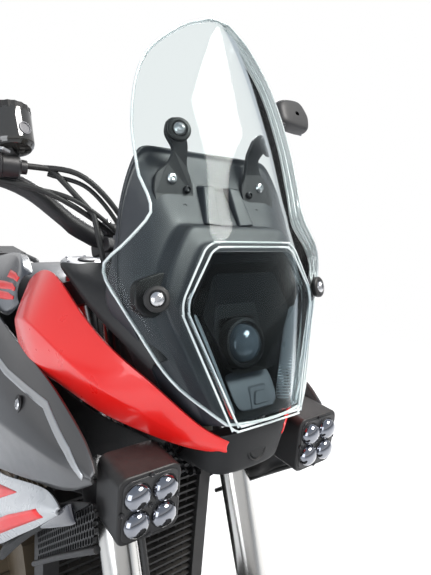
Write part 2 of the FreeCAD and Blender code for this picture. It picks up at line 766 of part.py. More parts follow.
# Swingarm with its pivot and the rear axle.
# Arm sections: how far behind the pivot as a share of its length, inner and outer face, rise above the
# line from pivot to axle, half height.
arm_rows = (
    (0, 62, 96, 0, 27),
    (0.148, 62, 96, -6, 30),
    (0.427, 104, 134, 0, 34),
    (0.822, 104, 134, 0, 30),
    (1.069, 104, 134, 0, 26),
)
arm_rings = []
for share, inner, outer, rise, half in arm_rows:
    x = pivot_x - share * size("arm_length")
    z = pivot_z - share * arm_drop + rise
    arm_rings.append([V(x, -outer, z + half), V(x, -inner, z + half),
                      V(x, -inner, z - half), V(x, -outer, z - half)])
arm = loft(arm_rings)
pivot_tube = across(pivot_x, -108, 108, pivot_z, 27)
bridge = box(-290, -222, -80, 80, 380, 414)
rear_axle = across(rear_axle_x, -146, 146, rear_axle_z, size("axle_radius"))
axle_bore = across(rear_axle_x, -150, 150, rear_axle_z, size("axle_bore_radius"))
swingarm = joined([arm, mirrored(arm), pivot_tube, bridge, rear_axle]).cut(axle_bore)
add("swingarm", swingarm, "chassis")

# Rear shock between the swingarm bridge and the spars, its coil as rings on the damper body.
shock_low = V(-250, 0, 414 + 17 + gap)
shock_axis = (shock_top - shock_low).normalize()
shock = [
    rod(shock_low, shock_top, 9),
    rod(shock_low + shock_axis * 44, shock_top - shock_axis * 40, 25.5),
    across(shock_low.x, -22, 22, shock_low.z, 17),
    across(shock_top.x, -spar_out + spar_half + gap, spar_out - spar_half - gap, shock_top.z, 12),
]
coil_radius = 31
coil_wire = 6
coil_section = []
for corner in range(8):
    turn = math.radians(22.5 + 45 * corner)
    coil_section.append(V(coil_radius + coil_wire * math.cos(turn), 0, coil_wire * math.sin(turn)))
coil_ring = Part.Face(polygon(coil_section)).revolve(V(0, 0, 0), V(0, 0, 1), 360)
for turn in range(6):
    ring = coil_ring.copy()
    ring.Placement = Placement(shock_low + shock_axis * (62 + 29 * turn), Rotation(V(0, 0, 1), shock_axis))
    shock.append(ring)
add("rear_shock", joined(shock), "chassis")

# Chain: two bands of waisted link plates joined by the rollers, along the pitch line of both sprockets.
chain_half = size("chain_wide") / 2
plate_thick = 2.2
plate_half_high = 6.5
waist_half_high = 4.4
small_centre = V(front_sprocket_x, 0, pivot_z)
big_centre = V(rear_axle_x, 0, rear_axle_z)


def pitch_line(small, big):
    line = small_centre - big_centre
    tilt = math.atan2(line.z, line.x)
    spread = math.acos((big - small) / line.Length)
    points = []
    for centre, radius, side_sign in ((big_centre, big, 1), (small_centre, small, 1),
                                      (small_centre, small, -1), (big_centre, big, -1)):
        angle = tilt + side_sign * spread
        points.append(centre + V(math.cos(angle), 0, math.sin(angle)) * radius)
    back = V(math.cos(tilt), 0, math.sin(tilt))
    return Part.Wire([
        Part.LineSegment(points[0], points[1]).toShape(),
        Part.Arc(points[1], small_centre + back * small, points[2]).toShape(),
        Part.LineSegment(points[2], points[3]).toShape(),
        Part.Arc(points[3], big_centre - back * big, points[0]).toShape(),
    ])


link_count = int(size("chain_links"))
link_line = pitch_line(sprocket_pitch_radius("front_teeth").value, sprocket_pitch_radius("rear_teeth").value)
stations = link_line.discretize(Number=2 * link_count + 1)[:-1]
outer_edge, inner_edge, rollers = [], [], []
for number, station in enumerate(stations):
    run = (stations[(number + 1) % len(stations)] - stations[number - 1]).normalize()
    inward = V(run.z, 0, -run.x)
    pinned = number % 2 == 0
    half_high = plate_half_high if pinned else waist_half_high
    before = (station - stations[number - 1]).normalize()
    bends = before.getAngle((stations[(number + 1) % len(stations)] - station).normalize()) > 0.01
    outer_edge.append(station - inward * half_high)
    if pinned or not bends:
        inner_edge.append(station + inward * half_high)
    if pinned:
        roller_face = Part.Face(polygon([station + (run * along + inward * up) * roller_half
                                         for along, up in ((1, 1), (-1, 1), (-1, -1), (1, -1))]))
        roller_face.translate(V(0, chain_out - chain_half + plate_thick / 2, 0))
        rollers.append(roller_face.extrude(V(0, 2 * chain_half - plate_thick, 0)))
plate_face = Part.Face([polygon(outer_edge), polygon(inner_edge)])
plate_face.validate()
plates = []
for plate_side in (chain_out - chain_half, chain_out + chain_half - plate_thick):
    plate = plate_face.copy()
    plate.translate(V(0, plate_side, 0))
    plates.append(plate.extrude(V(0, plate_thick, 0)))
add("drive_chain", plates[0].multiFuse([plates[1]] + rollers), "chassis")

# Head of the fairing, drawn on the slanted plane of the headlight.


def lamp_ring(back, corners):
    right = [lamp_point(-left, up, back) for left, up in corners]
    return right + [lamp_point(left, up, back) for left, up in reversed(corners)]


lens_corners = ((46, 78), (76, 28), (37, -78))
housing_corners = ((47, 80), (78, 29), (38, -80))
cup_corners = ((42, 70), (70, 26), (34, -70))
# Stepped shell round the lens: depth behind the lens, then its corners from the top to the bottom.
hood_rings = (
    (20, ((56, 92), (74, 60), (86, 29), (64, -30), (44, -84))),
    (24, ((62, 105), (84, 72), (98, 34), (70, -32), (47, -86))),
    (34, ((65, 112), (90, 78), (104, 37), (76, -34), (52, -87))),
    (38, ((69, 124), (97, 86), (109, 39), (80, -35), (57, -87))),
    (48, ((76, 150), (105, 104), (115, 43), (84, -36), (64, -87))),
    (56, ((80, 176), (110, 124), (119, 47), (86, -37), (70, -87))),
    (60, ((83, 192), (112, 138), (122, 50), (87, -38), (74, -87))),
    (66, ((84, 196), (113, 141), (123, 51), (88, -38), (76, -87))),
)
body_rings = (
    (64, ((84, 84), (112, 74), (123, 46), (88, -38), (76, -86))),
    (cowl_depth, ((84, 62), (111, 56), (122, 40), (86, -36), (80, -78))),
)
hood = loft([lamp_ring(back, corners) for back, corners in hood_rings])
hood_body = loft([lamp_ring(back, corners) for back, corners in body_rings])
pocket_corners = ((49, 82), (80, 30), (40, -82))
lamp_pocket = loft([lamp_ring(back, pocket_corners) for back in (0, 104)])
# Two raised ribs above the lens: their feet and their tops.
rib_foot = ((8, 159), (27, 158), (35, 112), (10, 110))
rib_top = ((10, 156), (24, 155), (32, 113), (12, 111))
rib_slope = 0.23
ribs = []
for side_sign in (-1, 1):
    foot = [lamp_point(side_sign * left, up, 56) for left, up in rib_foot]
    top = [lamp_point(side_sign * left, up, 30 + rib_slope * (up - 112)) for left, up in rib_top]
    ribs.append(loft([foot, top]))
cowl = joined([hood, hood_body] + ribs).cut(lamp_pocket)

housing = loft([lamp_ring(8, housing_corners), lamp_ring(70, housing_corners),
                lamp_ring(103.7, ((30, 50), (50, 20), (24, -50)))])
cup = loft([lamp_ring(7, cup_corners), lamp_ring(60, ((34, 52), (54, 20), (28, -52)))])
projector_back = lamp_point(0, 2, 66)
projector_front = lamp_point(0, 2, 26)
projector = rod(projector_back, projector_front, 27)
add("headlight", joined([housing.cut(cup), projector]), "chassis")
add("headlight_lens", loft([lamp_ring(3, lens_corners), lamp_ring(7.7, housing_corners)]), "chassis")

# Windscreen: arcs at rising heights, with the six-sided opening round the headlight.
screen_rows = (
    (1028, 675, 666, 50),
    (1049, 671, 648, 75),
    (1067, 667, 632, 93),
    (1113, 655, 608, 119),
    (1149, 643, 592, 138),
    (1164, 637, 586, 143),
    (1187, 628, 593, 125),
    (1217, 614, 592, 100),
    (1246, 602, 575, 105),
    (1304, 580, 550, 103),
    (1364, 556, 531, 82),
    (1400, 541, 531, 42),
    (1413, 535, 534, 12),
)
screen_wall = size("screen_wall")


def screen_ring(z, x_mid, x_edge, out):
    turn = math.atan2(2 * (x_mid - x_edge) * out, out * out - (x_mid - x_edge) ** 2)
    radius = out / math.sin(turn) if abs(turn) > 1e-6 else out * 1000
    inner_out = out - screen_wall * math.sin(turn)
    inner_edge = x_edge - screen_wall * math.cos(turn)
    outer = Part.Arc(V(x_edge, -out, z), V(x_mid, 0, z), V(x_edge, out, z)).toShape()
    end = Part.LineSegment(V(x_edge, out, z), V(inner_edge, inner_out, z)).toShape()
    inner = Part.Arc(V(inner_edge, inner_out, z), V(x_mid - screen_wall, 0, z),
                     V(inner_edge, -inner_out, z)).toShape()
    start = Part.LineSegment(V(inner_edge, -inner_out, z), V(x_edge, -out, z)).toShape()
    return Part.Wire([outer, end, inner, start])


screen = Part.makeLoft([screen_ring(*row) for row in screen_rows], True, True)
opening_corners = ((50, 82), (80, 30), (39, -82))
opening = loft([lamp_ring(back, opening_corners) for back in (-60, 60)])
screen = screen.cut(opening)
add("windscreen", screen, "chassis")

# Brackets and tabs that hold the screen off the cowl. The bracket's upper half leans forward to the screen.
bracket_back = 46
bracket_thick = 5
bracket_bend = 168
bracket_lean = 0.3
bracket_low = ((36, 168), (33, 158), (34, 142), (44, 122), (64, 118), (78, 128), (80, 150), (76, 166),
               (72, 168))
bracket_high = ((36, 168), (72, 168), (62, 177), (56, 190), (68, 204), (66, 216), (57, 220), (48, 214),
                (40, 196))
tab_outline = ((92, 60), (112, 56), (116, 36), (106, 24), (94, 30))
screen_room = screen.copy()
screen_room.translate(V(-gap, 0, 0))


def lamp_prism(outline, front, back):
    return loft([[lamp_point(-left, up, depth) for left, up in outline] for depth in (front, back)])


def bracket_depth(up):
    return bracket_back - (up - bracket_bend) * bracket_lean


def screen_washer(left, up, back, way):
    start = lamp_point(-left, up, back)
    return nearest(rod(start, start + way * 60, 8).cut(screen_room), start)


bracket_foot = lamp_prism(bracket_low, bracket_back, bracket_back + 12)
bracket_neck = loft([[lamp_point(-left, up, bracket_depth(up) + deeper) for left, up in bracket_high]
                     for deeper in (0, bracket_thick)])
upper_washer = screen_washer(59, 203, bracket_depth(203) + 3, V(48, 0, 13).normalize())
tab = lamp_prism(tab_outline, 31, 46)
lower_washer = screen_washer(106, 40, 34, V(0.92, -0.28, 0.28).normalize())
holders = joined([bracket_foot, bracket_neck, upper_washer, tab, lower_washer])
add("inner_cowl", joined([cowl, holders, mirrored(holders)]), "chassis")

# Nose below the headlight.
nose_rows = (
    (58, ((612, 996), (606, 984), (600, 968), (582, 960), (566, 962), (566, 980), (600, 992))),
    (30.5, ((655, 1012), (652, 990), (647, 963), (600, 955), (566, 960), (566, 984), (606, 996))),
)
nose_outlines = []
for out, profile in nose_rows:
    nose_outlines.append([V(x, -out, z) for x, z in profile])
for out, profile in reversed(nose_rows):
    nose_outlines.append([V(x, out, z) for x, z in profile])
nose = loft(nose_outlines)
sensor = Part.makeCylinder(12, 6, V(651, 0, 985), V(1, 0, 0.25))
add("nose_cowl", joined([nose, sensor]), "chassis")

# Side panels: red upper blades, graphite tank covers, silver lower shrouds.
red_rows = (
    (653, 1003, 652, 992, 35, 37, 35),
    (639, 1014, 625, 988, 60, 66, 62),
    (612, 1060, 579, 1002, 100, 110, 104),
    (573, 1078, 540, 1008, 122, 136, 126),
    (510, 1105, 490, 1018, 134, 152, 142),
    (430, 1138, 436, 1026, 142, 166, 156),
    (375, 1128, 412, 1029, 140, 164, 158),
    (300, 1098, 398, 1031, 138, 160, 158),
)
red_wall = size("red_wall")
cowl_room = cowl.copy()
cowl_room.translate(V(0, -gap, 0))
red_panel = creased_panel(red_rows, red_wall)
red_boss = nearest(panel_boss(red_rows, 556, 1062, 7, 96).cut(cowl_room), V(556, -140, 1062))
add("red_side_panels", pair(joined([red_panel, red_boss])), "chassis")
grey_rows = (
    (575, 950, 545, 905, 150, 154, 150),
    (540, 998, 500, 888, 150, 170, 160),
    (440, 1016, 400, 850, 160, 196, 182),
    (300, 1040, 300, 830, 165, 205, 190),
    (120, 1060, 150, 800, 165, 200, 180),
    (-40, 1000, 0, 800, 140, 165, 150),
)
tank_out = 148
grey_panel = joined([creased_panel(grey_rows, wall)]
                    + [panel_boss(grey_rows, x, z, 9, tank_out + gap) for x, z in ((110, 960), (150, 1030))])
add("tank_side_covers", pair(grey_panel), "chassis")
silver_rows = (
    (606, 944, 594, 914, 167, 169, 167),
    (560, 900, 550, 862, 170, 176, 170),
    (510, 876, 510, 824, 174, 188, 178),
    (400, 840, 440, 770, 184, 202, 186),
    (300, 820, 340, 690, 190, 200, 180),
    (200, 808, 260, 650, 180, 185, 165),
)
radiator_mid_x = radiator_x + radiator_thick / 2
silver_boss = panel_boss(silver_rows, radiator_mid_x, radiator_high - 16, 9, radiator_half + gap)
silver_panel = joined([creased_panel(silver_rows, wall), silver_boss])
add("lower_shrouds", pair(silver_panel), "chassis")

# Colour display between the bars and the screen.
display_outline = ((468, 1192), (500, 1262), (522, 1264), (536, 1205), (522, 1190))
visor_back = 66
display_stay = side_outline(((520, 1224), (520, 1242), (lamp_plane_x(1242, visor_back) - gap, 1242),
                             (lamp_plane_x(1224, visor_back) - gap, 1224)), -24, 24)
add("display", joined([side_outline(display_outline, -80, 80), display_stay]), "chassis")

# Front turn signals set in the shrouds.
front_signal = loft([
    [V(598, -170.4, 936), V(566, -173.4, 910), V(562, -173.4, 894), V(594, -170.4, 920)],
    [V(594, -184, 930), V(568, -188, 908), V(566, -188, 898), V(592, -184, 920)],
])
add("front_signals", pair(front_signal), "chassis")

# Spot lamps on arms from the nose: rounded housings with four domed lenses in front and fins behind.
lamp_face_x = 642
lamp_out = 113
lamp_mid_z = 955
lamp_half_wide = 32
lamp_half_high = 36
lamp_deep = 48
recess_deep = 3
recess_radius = 12.6
dome_radius = 13.1
dome_sunk = 4.8
pod = box(lamp_face_x - lamp_deep, lamp_face_x, -lamp_out - lamp_half_wide, -lamp_out + lamp_half_wide,
          lamp_mid_z - lamp_half_high, lamp_mid_z + lamp_half_high)
pod = pod.makeFillet(10, [edge for edge in pod.Edges if abs(edge.Vertexes[0].X - edge.Vertexes[1].X) > 40])
domes = []
for lens_left in (-14, 14):
    for lens_up in (-15.5, 15.5):
        spot = V(lamp_face_x - recess_deep, -lamp_out + lens_left, lamp_mid_z + lens_up)
        pod = pod.cut(Part.makeCylinder(recess_radius, recess_deep + 1, spot, V(1, 0, 0)))
        domes.append(Part.makeSphere(dome_radius, spot - V(dome_sunk, 0, 0)))
lamp_back_x = lamp_face_x - lamp_deep
for slot in range(-2, 3):
    slot_low = lamp_mid_z + slot * 12 - 2.5
    pod = pod.cut(box(lamp_back_x - 1, lamp_back_x + 12, -lamp_out - lamp_half_wide - 1,
                      -lamp_out + lamp_half_wide - 16, slot_low, slot_low + 5))
pod = joined([pod] + domes)
arm_line = ((566, 944), (562, 950), (566, lamp_mid_z - gap), (lamp_back_x + 2, lamp_mid_z - gap),
            (lamp_back_x + 2, 944))
pod_arm = side_outline(arm_line, -lamp_out + lamp_half_wide - 14, -lamp_out + lamp_half_wide + 12)
cross_bar = box(574, 600, -lamp_out + lamp_half_wide, lamp_out - lamp_half_wide, 949, lamp_mid_z - gap)
add("spot_lamps", joined([pod, mirrored(pod), pod_arm, mirrored(pod_arm), cross_bar]), "chassis")

# Footrests and foot controls.
peg = loft([
    [V(-22, -150, 352), V(22, -150, 352), V(22, -150, 332), V(-22, -150, 332)],
    [V(-18, -232, 352), V(18, -232, 352), V(18, -232, 340), V(-18, -232, 340)],
])
peg.translate(V(-60, 0, 20))
peg_hanger = loft([
    [V(-140, -135.4, 520), V(-110, -135.4, 520), V(-110, -142, 520), V(-140, -142, 520)],
    [V(-90, -140, 352), V(-30, -140, 352), V(-30, -150, 352), V(-90, -150, 352)],
    [V(-76, -140, 322), V(-40, -140, 322), V(-40, -150, 322), V(-76, -150, 322)],
])
rear_peg = loft([
    [V(-420, -174, 522), V(-390, -174, 522), V(-390, -174, 505), V(-420, -174, 505)],
    [V(-418, -250, 520), V(-392, -250, 520), V(-392, -250, 510), V(-418, -250, 510)],
])
rear_hanger = tube_frame(hanger_line, hanger_radius)
hanger_room = rod(V(-150, -rail_out, rail_z(-150)), V(-400, -rail_out, rail_z(-400)), tube_radius + gap)
rear_hanger = nearest(rear_hanger.cut(hanger_room), hanger_line[0])
pegs = joined([peg, peg_hanger])
rear_pegs = joined([rear_peg, rear_hanger])
pedal_line = [V(-58, -160, 337), V(60, -176, 322), V(106, -184, 330), V(110, -222, 330)]
brake_pedal = joined([tube_frame(pedal_line, 6), across(-58, -168, -150 - gap, 337, 11)])
gear_lever = joined([tube_frame([V(24, 152, 362), V(104, 160, 344), V(107, 212, 344)], 5.5),
                     across(24, case_half + gap, 158, 362, 9)])
add("foot_controls", Part.makeCompound([pegs, mirrored(pegs), rear_pegs, mirrored(rear_pegs), brake_pedal,
                                        gear_lever]), "chassis")

caliper_side = ((58, 119), (128, 99), (128, 59), (58, 79))
rear_caliper = loft([[V(rear_axle_x + ahead, -out, rear_axle_z + up) for ahead, up in caliper_side]
                     for out in (56, 103)])
rear_bracket = box(rear_axle_x + 44, rear_axle_x + 84, -104 + gap, -96, rear_axle_z + 9, rear_axle_z + 83)
rear_slot_half = size("disc_thick") / 2 + 1.5
rear_slot = across(rear_axle_x, -80 - rear_slot_half, -80 + rear_slot_half, rear_axle_z,
                   size("rear_disc_radius") + 3)
add("rear_caliper", joined([rear_caliper, rear_bracket]).cut(rear_slot), "chassis")

# Fork: chrome tubes in black lower legs, joined by the hollow axle.
slider_top = size("slider_top")
slider_radius = size("slider_radius")
fork_radius = size("fork_tube_radius")
fork_top = size("fork_tube_top")


def leg(left, low, high, radius):
    return Part.makeCylinder(radius, high - low, V(fork_offset, left, low))


tube = leg(-fork_span, slider_top + gap, fork_top, fork_radius)
tube_cap = leg(-fork_span, fork_top, fork_top + 7, 17)
add("fork_tubes", pair(joined([tube, tube_cap])), "steering")
slider = leg(-fork_span, axle_along - 34, slider_top, slider_radius)
axle_lug = Part.makeCylinder(30, 50, V(fork_offset, -fork_span - 25, axle_along), V(0, 1, 0))
axle = Part.makeCylinder(size("axle_radius"), 2 * fork_span + 60, V(fork_offset, -fork_span - 30, axle_along),
                         V(0, 1, 0))
bore = Part.makeCylinder(size("axle_bore_radius"), 2 * fork_span + 80,
                         V(fork_offset, -fork_span - 40, axle_along), V(0, 1, 0))
legs = joined([slider, axle_lug, mirrored(slider), mirrored(axle_lug), axle]).cut(bore)
add("fork_sliders", legs, "steering")


def clamp(low, thick, reach_back):
    half = [
        (-reach_back, 34), (fork_offset - 26, fork_span + 22), (fork_offset + 14, fork_span + 26),
        (fork_offset + 22, fork_span - 6), (fork_offset - 6, 30),
    ]
    outline = half + [(ahead, -left) for ahead, left in reversed(half)]
    plate = Part.Face(polygon([V(ahead, left, low) for ahead, left in outline])).extrude(V(0, 0, thick))
    rings = [leg(left, low, low + thick, fork_radius + 11) for left in (-fork_span, fork_span)]
    body = joined([plate] + rings)
    for left in (-fork_span, fork_span):
        body = body.cut(leg(left, low - 1, low + thick + 1, fork_radius + size("running_gap")))
    return body


top_low = size("top_clamp_low")
top_thick = size("top_clamp_thick")
low_low = size("low_clamp_low")
low_thick = size("low_clamp_thick")
stem = Part.makeCylinder(stem_radius, top_low - low_low + 10, V(0, 0, low_low + 1))
stem_nut = Part.makeCylinder(16, 9, V(0, 0, top_low + top_thick))
add("triple_clamps", joined([clamp(top_low, top_thick, 30), clamp(low_low, low_thick, 32), stem, stem_nut]),
    "steering")

bar_high = size("bar_high")
bar_ahead = size("bar_ahead")
bar_radius = size("bar_radius")
riser_span = size("riser_half_span")
bar_line = (V(bar_ahead, 0, bar_high), V(bar_ahead, -82, bar_high), V(bar_ahead + 10, -176, bar_high + 66),
            V(bar_ahead - 26, -285, bar_high + 80), V(bar_ahead - 78, -412, bar_high + 84))
bar_half = bent_tube(bar_line, 60, bar_radius)
bar_middle = Part.makeCylinder(size("bar_clamp_radius"), 150, V(bar_ahead, -75, bar_high), V(0, 1, 0))
clamp_high = bar_high + 21
riser_foot = top_low + top_thick
riser = joined([
    Part.makeCylinder(15, bar_high - 18 - riser_foot, V(bar_ahead, -riser_span, riser_foot)),
    box(bar_ahead - 22, bar_ahead + 22, -riser_span - 16, -riser_span + 16, bar_high - 20, clamp_high),
])
add("handlebar", joined([bar_half, mirrored(bar_half), bar_middle, riser, mirrored(riser)]), "steering")

grip_start = V(bar_ahead - 31, -297, bar_high + 80.4)
grip_end = V(bar_ahead - 79.5, -416, bar_high + 84.1)
grip_axis = (grip_end - grip_start).normalize()
grip = rod(grip_start, grip_end, size("grip_radius"))
bar_end = rod(grip_end, grip_end + grip_axis * 22, 17)
bar_hole = rod(grip_start - grip_axis * 3, grip_end - grip_axis * 4, bar_radius + gap)
add("grips", pair(joined([grip, bar_end]).cut(bar_hole)), "steering")

# Brake master cylinder with its cup, lever and switch housing; clutch side on the left.
bar_a = bar_line[2]
bar_b = bar_line[3]
run = (bar_b - bar_a).normalize()
run_hole = rod(bar_a - run * 40, bar_b + run * 60, bar_radius + gap)
switch_centre = bar_a + run * 92
switch_body = rod(switch_centre - run * 18, switch_centre + run * 18, 23)
master_centre = bar_a + run * 42
master_clamp = rod(master_centre - run * 11, master_centre + run * 11, 21)
master_front = master_centre + V(34, 6, -4)
cylinder_port = master_front + V(8, 26, 0)
cylinder_back = master_front + V(-8, -52, 2)
cylinder = rod(cylinder_port, cylinder_back, 13)
link_block = rod(master_centre, master_front, 11)
cup_low = master_front + V(16, 18, 12)
cup_high = cup_low + V(0, 0, 44)
cup_stem = rod(master_front + V(4, 8, 0), cup_low + V(0, 0, 4), 8)
cup_body = rod(cup_low, cup_high, 21.5)
cup_lid = rod(cup_high, cup_high + V(0, 0, 5), 19)
# Lever sections: left of the cylinder, its rear and front face, its low and high face.
lever_rows = ((-40, -10, 6, -6, 8), (-110, -4, 8, -4, 6), (-214, -48, -38, -5, 5))
lever = loft([[master_front + V(front, left, high), master_front + V(rear, left, high),
               master_front + V(rear, left, low), master_front + V(front, left, low)]
              for left, rear, front, low, high in lever_rows])
master = joined([master_clamp, link_block, cylinder, lever])
cup = joined([cup_stem, cup_body, cup_lid])
brake_control = joined([switch_body.cut(run_hole), joined([master, cup]).cut(run_hole)])
add("brake_control", brake_control, "steering")
clutch_side = joined([master.cut(run_hole), switch_body.cut(run_hole)])
add("clutch_control", mirrored(clutch_side), "steering")

# Mirrors on bent stems.
mirror_root = bar_a + run * 66
mirror_foot = rod(mirror_root - run * 6, mirror_root + run * 6, 18).cut(run_hole)
stem_elbow = mirror_root + V(72, -92, 168)
stem_tip = stem_elbow + V(8, -62, 28)
mirror_stem = bent_tube([mirror_root + V(14, 0, 4), mirror_root + V(30, -8, 60), stem_elbow, stem_tip], 24, 5)
mirror_stem = mirror_stem.cut(run_hole)
# Mirror head seen from behind: back rim and front face, from the stem's tip.
mirror_rim = ((40, -20), (40, 40), (-48, 62), (-78, 28), (-63, -12))
mirror_face = ((28, -10), (28, 32), (-42, 50), (-64, 24), (-54, -4))
mirror_head = loft([[stem_tip + V(depth, left, up) for left, up in outline]
                    for depth, outline in ((-16, mirror_rim), (8, mirror_face))])
add("mirrors", pair(joined([mirror_foot, mirror_stem, mirror_head])), "steering")

# Front mudguard over the tyre, held at the legs.
wheel_centre = V(fork_offset, 0, axle_along)
guard_radius = front_radius + size("guard_gap")
guard_section = (
    (guard_radius - 26, -72), (guard_radius - 4, -66), (guard_radius, -30), (guard_radius, 30),
    (guard_radius - 4, 66), (guard_radius - 26, 72), (guard_radius - 26, 69), (guard_radius - 7, 63),
    (guard_radius - 3, 28), (guard_radius - 3, -28), (guard_radius - 7, -63), (guard_radius - 26, -69),
)
mudguard = revolved(guard_section, wheel_centre, 108)
mudguard.rotate(wheel_centre, V(0, 1, 0), -46)
guard_ear = box(fork_offset - 22, fork_offset + 22, -fork_span + slider_radius - 2, -66, axle_along + 300,
                axle_along + guard_radius - 12)
guard_ear = guard_ear.cut(leg(-fork_span, 300, slider_top, slider_radius + gap))
add("front_mudguard", joined([mudguard, guard_ear, mirrored(guard_ear)]), "steering")

# Front calipers behind the legs.
disc_thick = size("disc_thick")
front_disc_out = size("front_disc_offset")
front_disc_radius = size("front_disc_radius")
caliper_arc = ((108, 112), (178, 117), (184, 134), (178, 151), (108, 156), (104, 134))
caliper_outline = []
for radius, angle in caliper_arc:
    angle = math.radians(angle)
    caliper_outline.append(V(fork_offset + radius * math.cos(angle), -fork_span + 10,
                             axle_along + radius * math.sin(angle)))
caliper = Part.Face(polygon(caliper_outline)).extrude(V(0, 58, 0))
caliper_in = -fork_span + 26
caliper_out = -fork_span + 10
caliper_arm = box(fork_offset - 66, fork_offset, caliper_out, caliper_in, axle_along + 96, axle_along + 118)
caliper_arm_high = box(fork_offset - 76, fork_offset, caliper_out, caliper_in, axle_along + 140,
                       axle_along + 160)
caliper = joined([caliper, caliper_arm, caliper_arm_high])
caliper = largest(caliper.cut(leg(-fork_span, 300, slider_top, slider_radius + gap)))
slot_start = V(fork_offset, -front_disc_out - disc_thick / 2 - 1.5, axle_along)
caliper_slot = Part.makeCylinder(front_disc_radius + 4, disc_thick + 3, slot_start, V(0, 1, 0))
add("front_calipers", pair(caliper.cut(caliper_slot)), "steering")

# Brake hose from the cup side down the right leg.
port_axis = (cylinder_port - cylinder_back).normalize()
caliper_port = V(-34, -fork_span + 10 - gap, axle_along + 154)
hose = bent_tube([cylinder_port + port_axis * gap, cylinder_port + port_axis * 34, V(84, -104, 1272),
                  V(85, -98, 1190), V(84, -98, 1000), V(83, -100, 790), V(62, -138, 716), V(8, -150, 640),
                  V(-30, -140, 560),
                  caliper_port - V(0, 26, -4), caliper_port], 13, 3.5)
add("brake_hose", hose, "steering")


# Tyre section: bead, sidewall that is widest at half its height, and a round crown from side to side.
def crown_radius_of(high, width):
    return (width * width + high * high) / (high * 4)


def tyre(label, rim_name, high_name, width_name, group):
    rim_radius, high, width = length(rim_name), length(high_name), length(width_name)
    half = width / 2
    sidewall = ((half * 0.62, rim_radius), (half * 0.84, rim_radius + high * 0.14),
                (half * 0.97, rim_radius + high * 0.32), (half, rim_radius + high * 0.5))
    left = [(across_half, up) for across_half, up in reversed(sidewall)]
    right = [(-across_half, up) for across_half, up in sidewall]
    body = new_body(label, group)
    turned(body, label + "_round", [right + left], len(right) - 1, crown_radius_of(high, width))


# Cast wheel: barrel with two flanges round a dropped bed, a hub with its bore, and a ring of spokes.
def cast_wheel(label, rim_name, half_wide, hub_half, hub_radius, spoke_count, group):
    outside = length(rim_name) - "seat_gap"
    bore = length("axle_radius") + "running_gap"
    flange, bed, lip = 14, 26, 16
    bed_half = half_wide - lip
    barrel = [(-half_wide, outside - flange), (-half_wide, outside), (half_wide, outside),
              (half_wide, outside - flange), (bed_half, outside - bed), (-bed_half, outside - bed)]
    hub = [(-hub_half, bore), (-hub_half, hub_radius), (hub_half, hub_radius), (hub_half, bore)]
    body = new_body(label, group)
    turned(body, label + "_round", [barrel, hub])
    sketch = plane_sketch(body, label + "_spoke_face", "XZ_Plane")
    root = length(hub_radius) - 4
    tip = outside - bed + 2
    draw_outline(sketch, [(-13, root), (-8, tip), (8, tip), (13, root)])
    spoke = body.newObject("PartDesign::Pad", label + "_spoke")
    spoke.Profile = sketch
    spoke.SideType = "Symmetric"
    spoke.Length = 18
    wheel_pattern(body, spoke, sketch, spoke_count)


def disc_section(left, hole_radius, radius_name):
    half = length("disc_thick") / 2
    return [(length(left) - half, hole_radius), (length(left) - half, radius_name),
            (length(left) + half, radius_name), (length(left) + half, hole_radius)]


front_hub_half = length("front_disc_offset") - length("disc_thick") / 2 - "seat_gap"
tyre("front_tyre", "front_rim_radius", "front_tyre_height", "front_tyre_width", "front_wheel")
cast_wheel("front_rim", "front_rim_radius", length(38), front_hub_half, 34, 10, "front_wheel")
front_discs = new_body("front_discs", "front_wheel")
disc_left = length("front_disc_offset")
turned(front_discs, "front_disc_rings", [disc_section(-disc_left, 33, "front_disc_radius"),
                                         disc_section(disc_left, 33, "front_disc_radius")])
hole_ring(front_discs, "front_disc_holes", 0, 110, 7, disc_left * 2 + 20, 10)
hole_ring(front_discs, "front_disc_vents", 0, 140, 4, disc_left * 2 + 20, 20)

rear_hub_half = length(77)
tyre("rear_tyre", "rear_rim_radius", "rear_tyre_height", "rear_tyre_width", "rear_wheel")
cast_wheel("rear_rim", "rear_rim_radius", length(56), rear_hub_half, 40, 10, "rear_wheel")
rear_turning = new_body("rear_disc_and_sprocket", "rear_wheel")
turned(rear_turning, "rear_disc_ring", [disc_section(-80, 38, "rear_disc_radius")])
hole_ring(rear_turning, "rear_disc_holes", -80, 95, 7, 20, 10)
sprocket_in = length("chain_out") - length("sprocket_thick") / 2
sprocket_out = length("chain_out") + length("sprocket_thick") / 2
carrier_in = rear_hub_half + "seat_gap"
sprocket_bore = length("axle_radius") + "running_gap"
sprocket_tip = sprocket_pitch_radius("rear_teeth") - roller_half - turning_clearance
turned(rear_turning, "rear_sprocket_round", [[
    (carrier_in, sprocket_bore), (carrier_in, 60), (sprocket_in, 60), (sprocket_in, sprocket_tip),
    (sprocket_out, sprocket_tip), (sprocket_out, sprocket_bore)]])
rear_teeth = int(size("rear_teeth"))
hole_ring(rear_turning, "rear_sprocket_gullets", "chain_out", sprocket_tip + 2, 5, 20, rear_teeth)
hole_ring(rear_turning, "rear_sprocket_windows", "chain_out", 77, 9, 10, 8)


# How the machine stands: leant to the left, pitched until both tyres touch, lifted to the ground.
def tyre_line(rim_radius, high, width):
    radius = crown_radius_of(high, width)
    centre = rim_radius + high - radius
    widest = math.asin(width / 2 / radius)
    return [(centre + radius * math.cos(widest * step / 40), radius * math.sin(widest * step / 40))
            for step in range(41)]


def lowest(line, placement):
    normal = placement.Rotation.multVec(V(0, 1, 0))
    flat = math.sqrt(1 - normal.z * normal.z)
    centre = placement.Base
    return min(centre.z + side * y * normal.z - r * flat for r, y in line for side in (-1, 1))


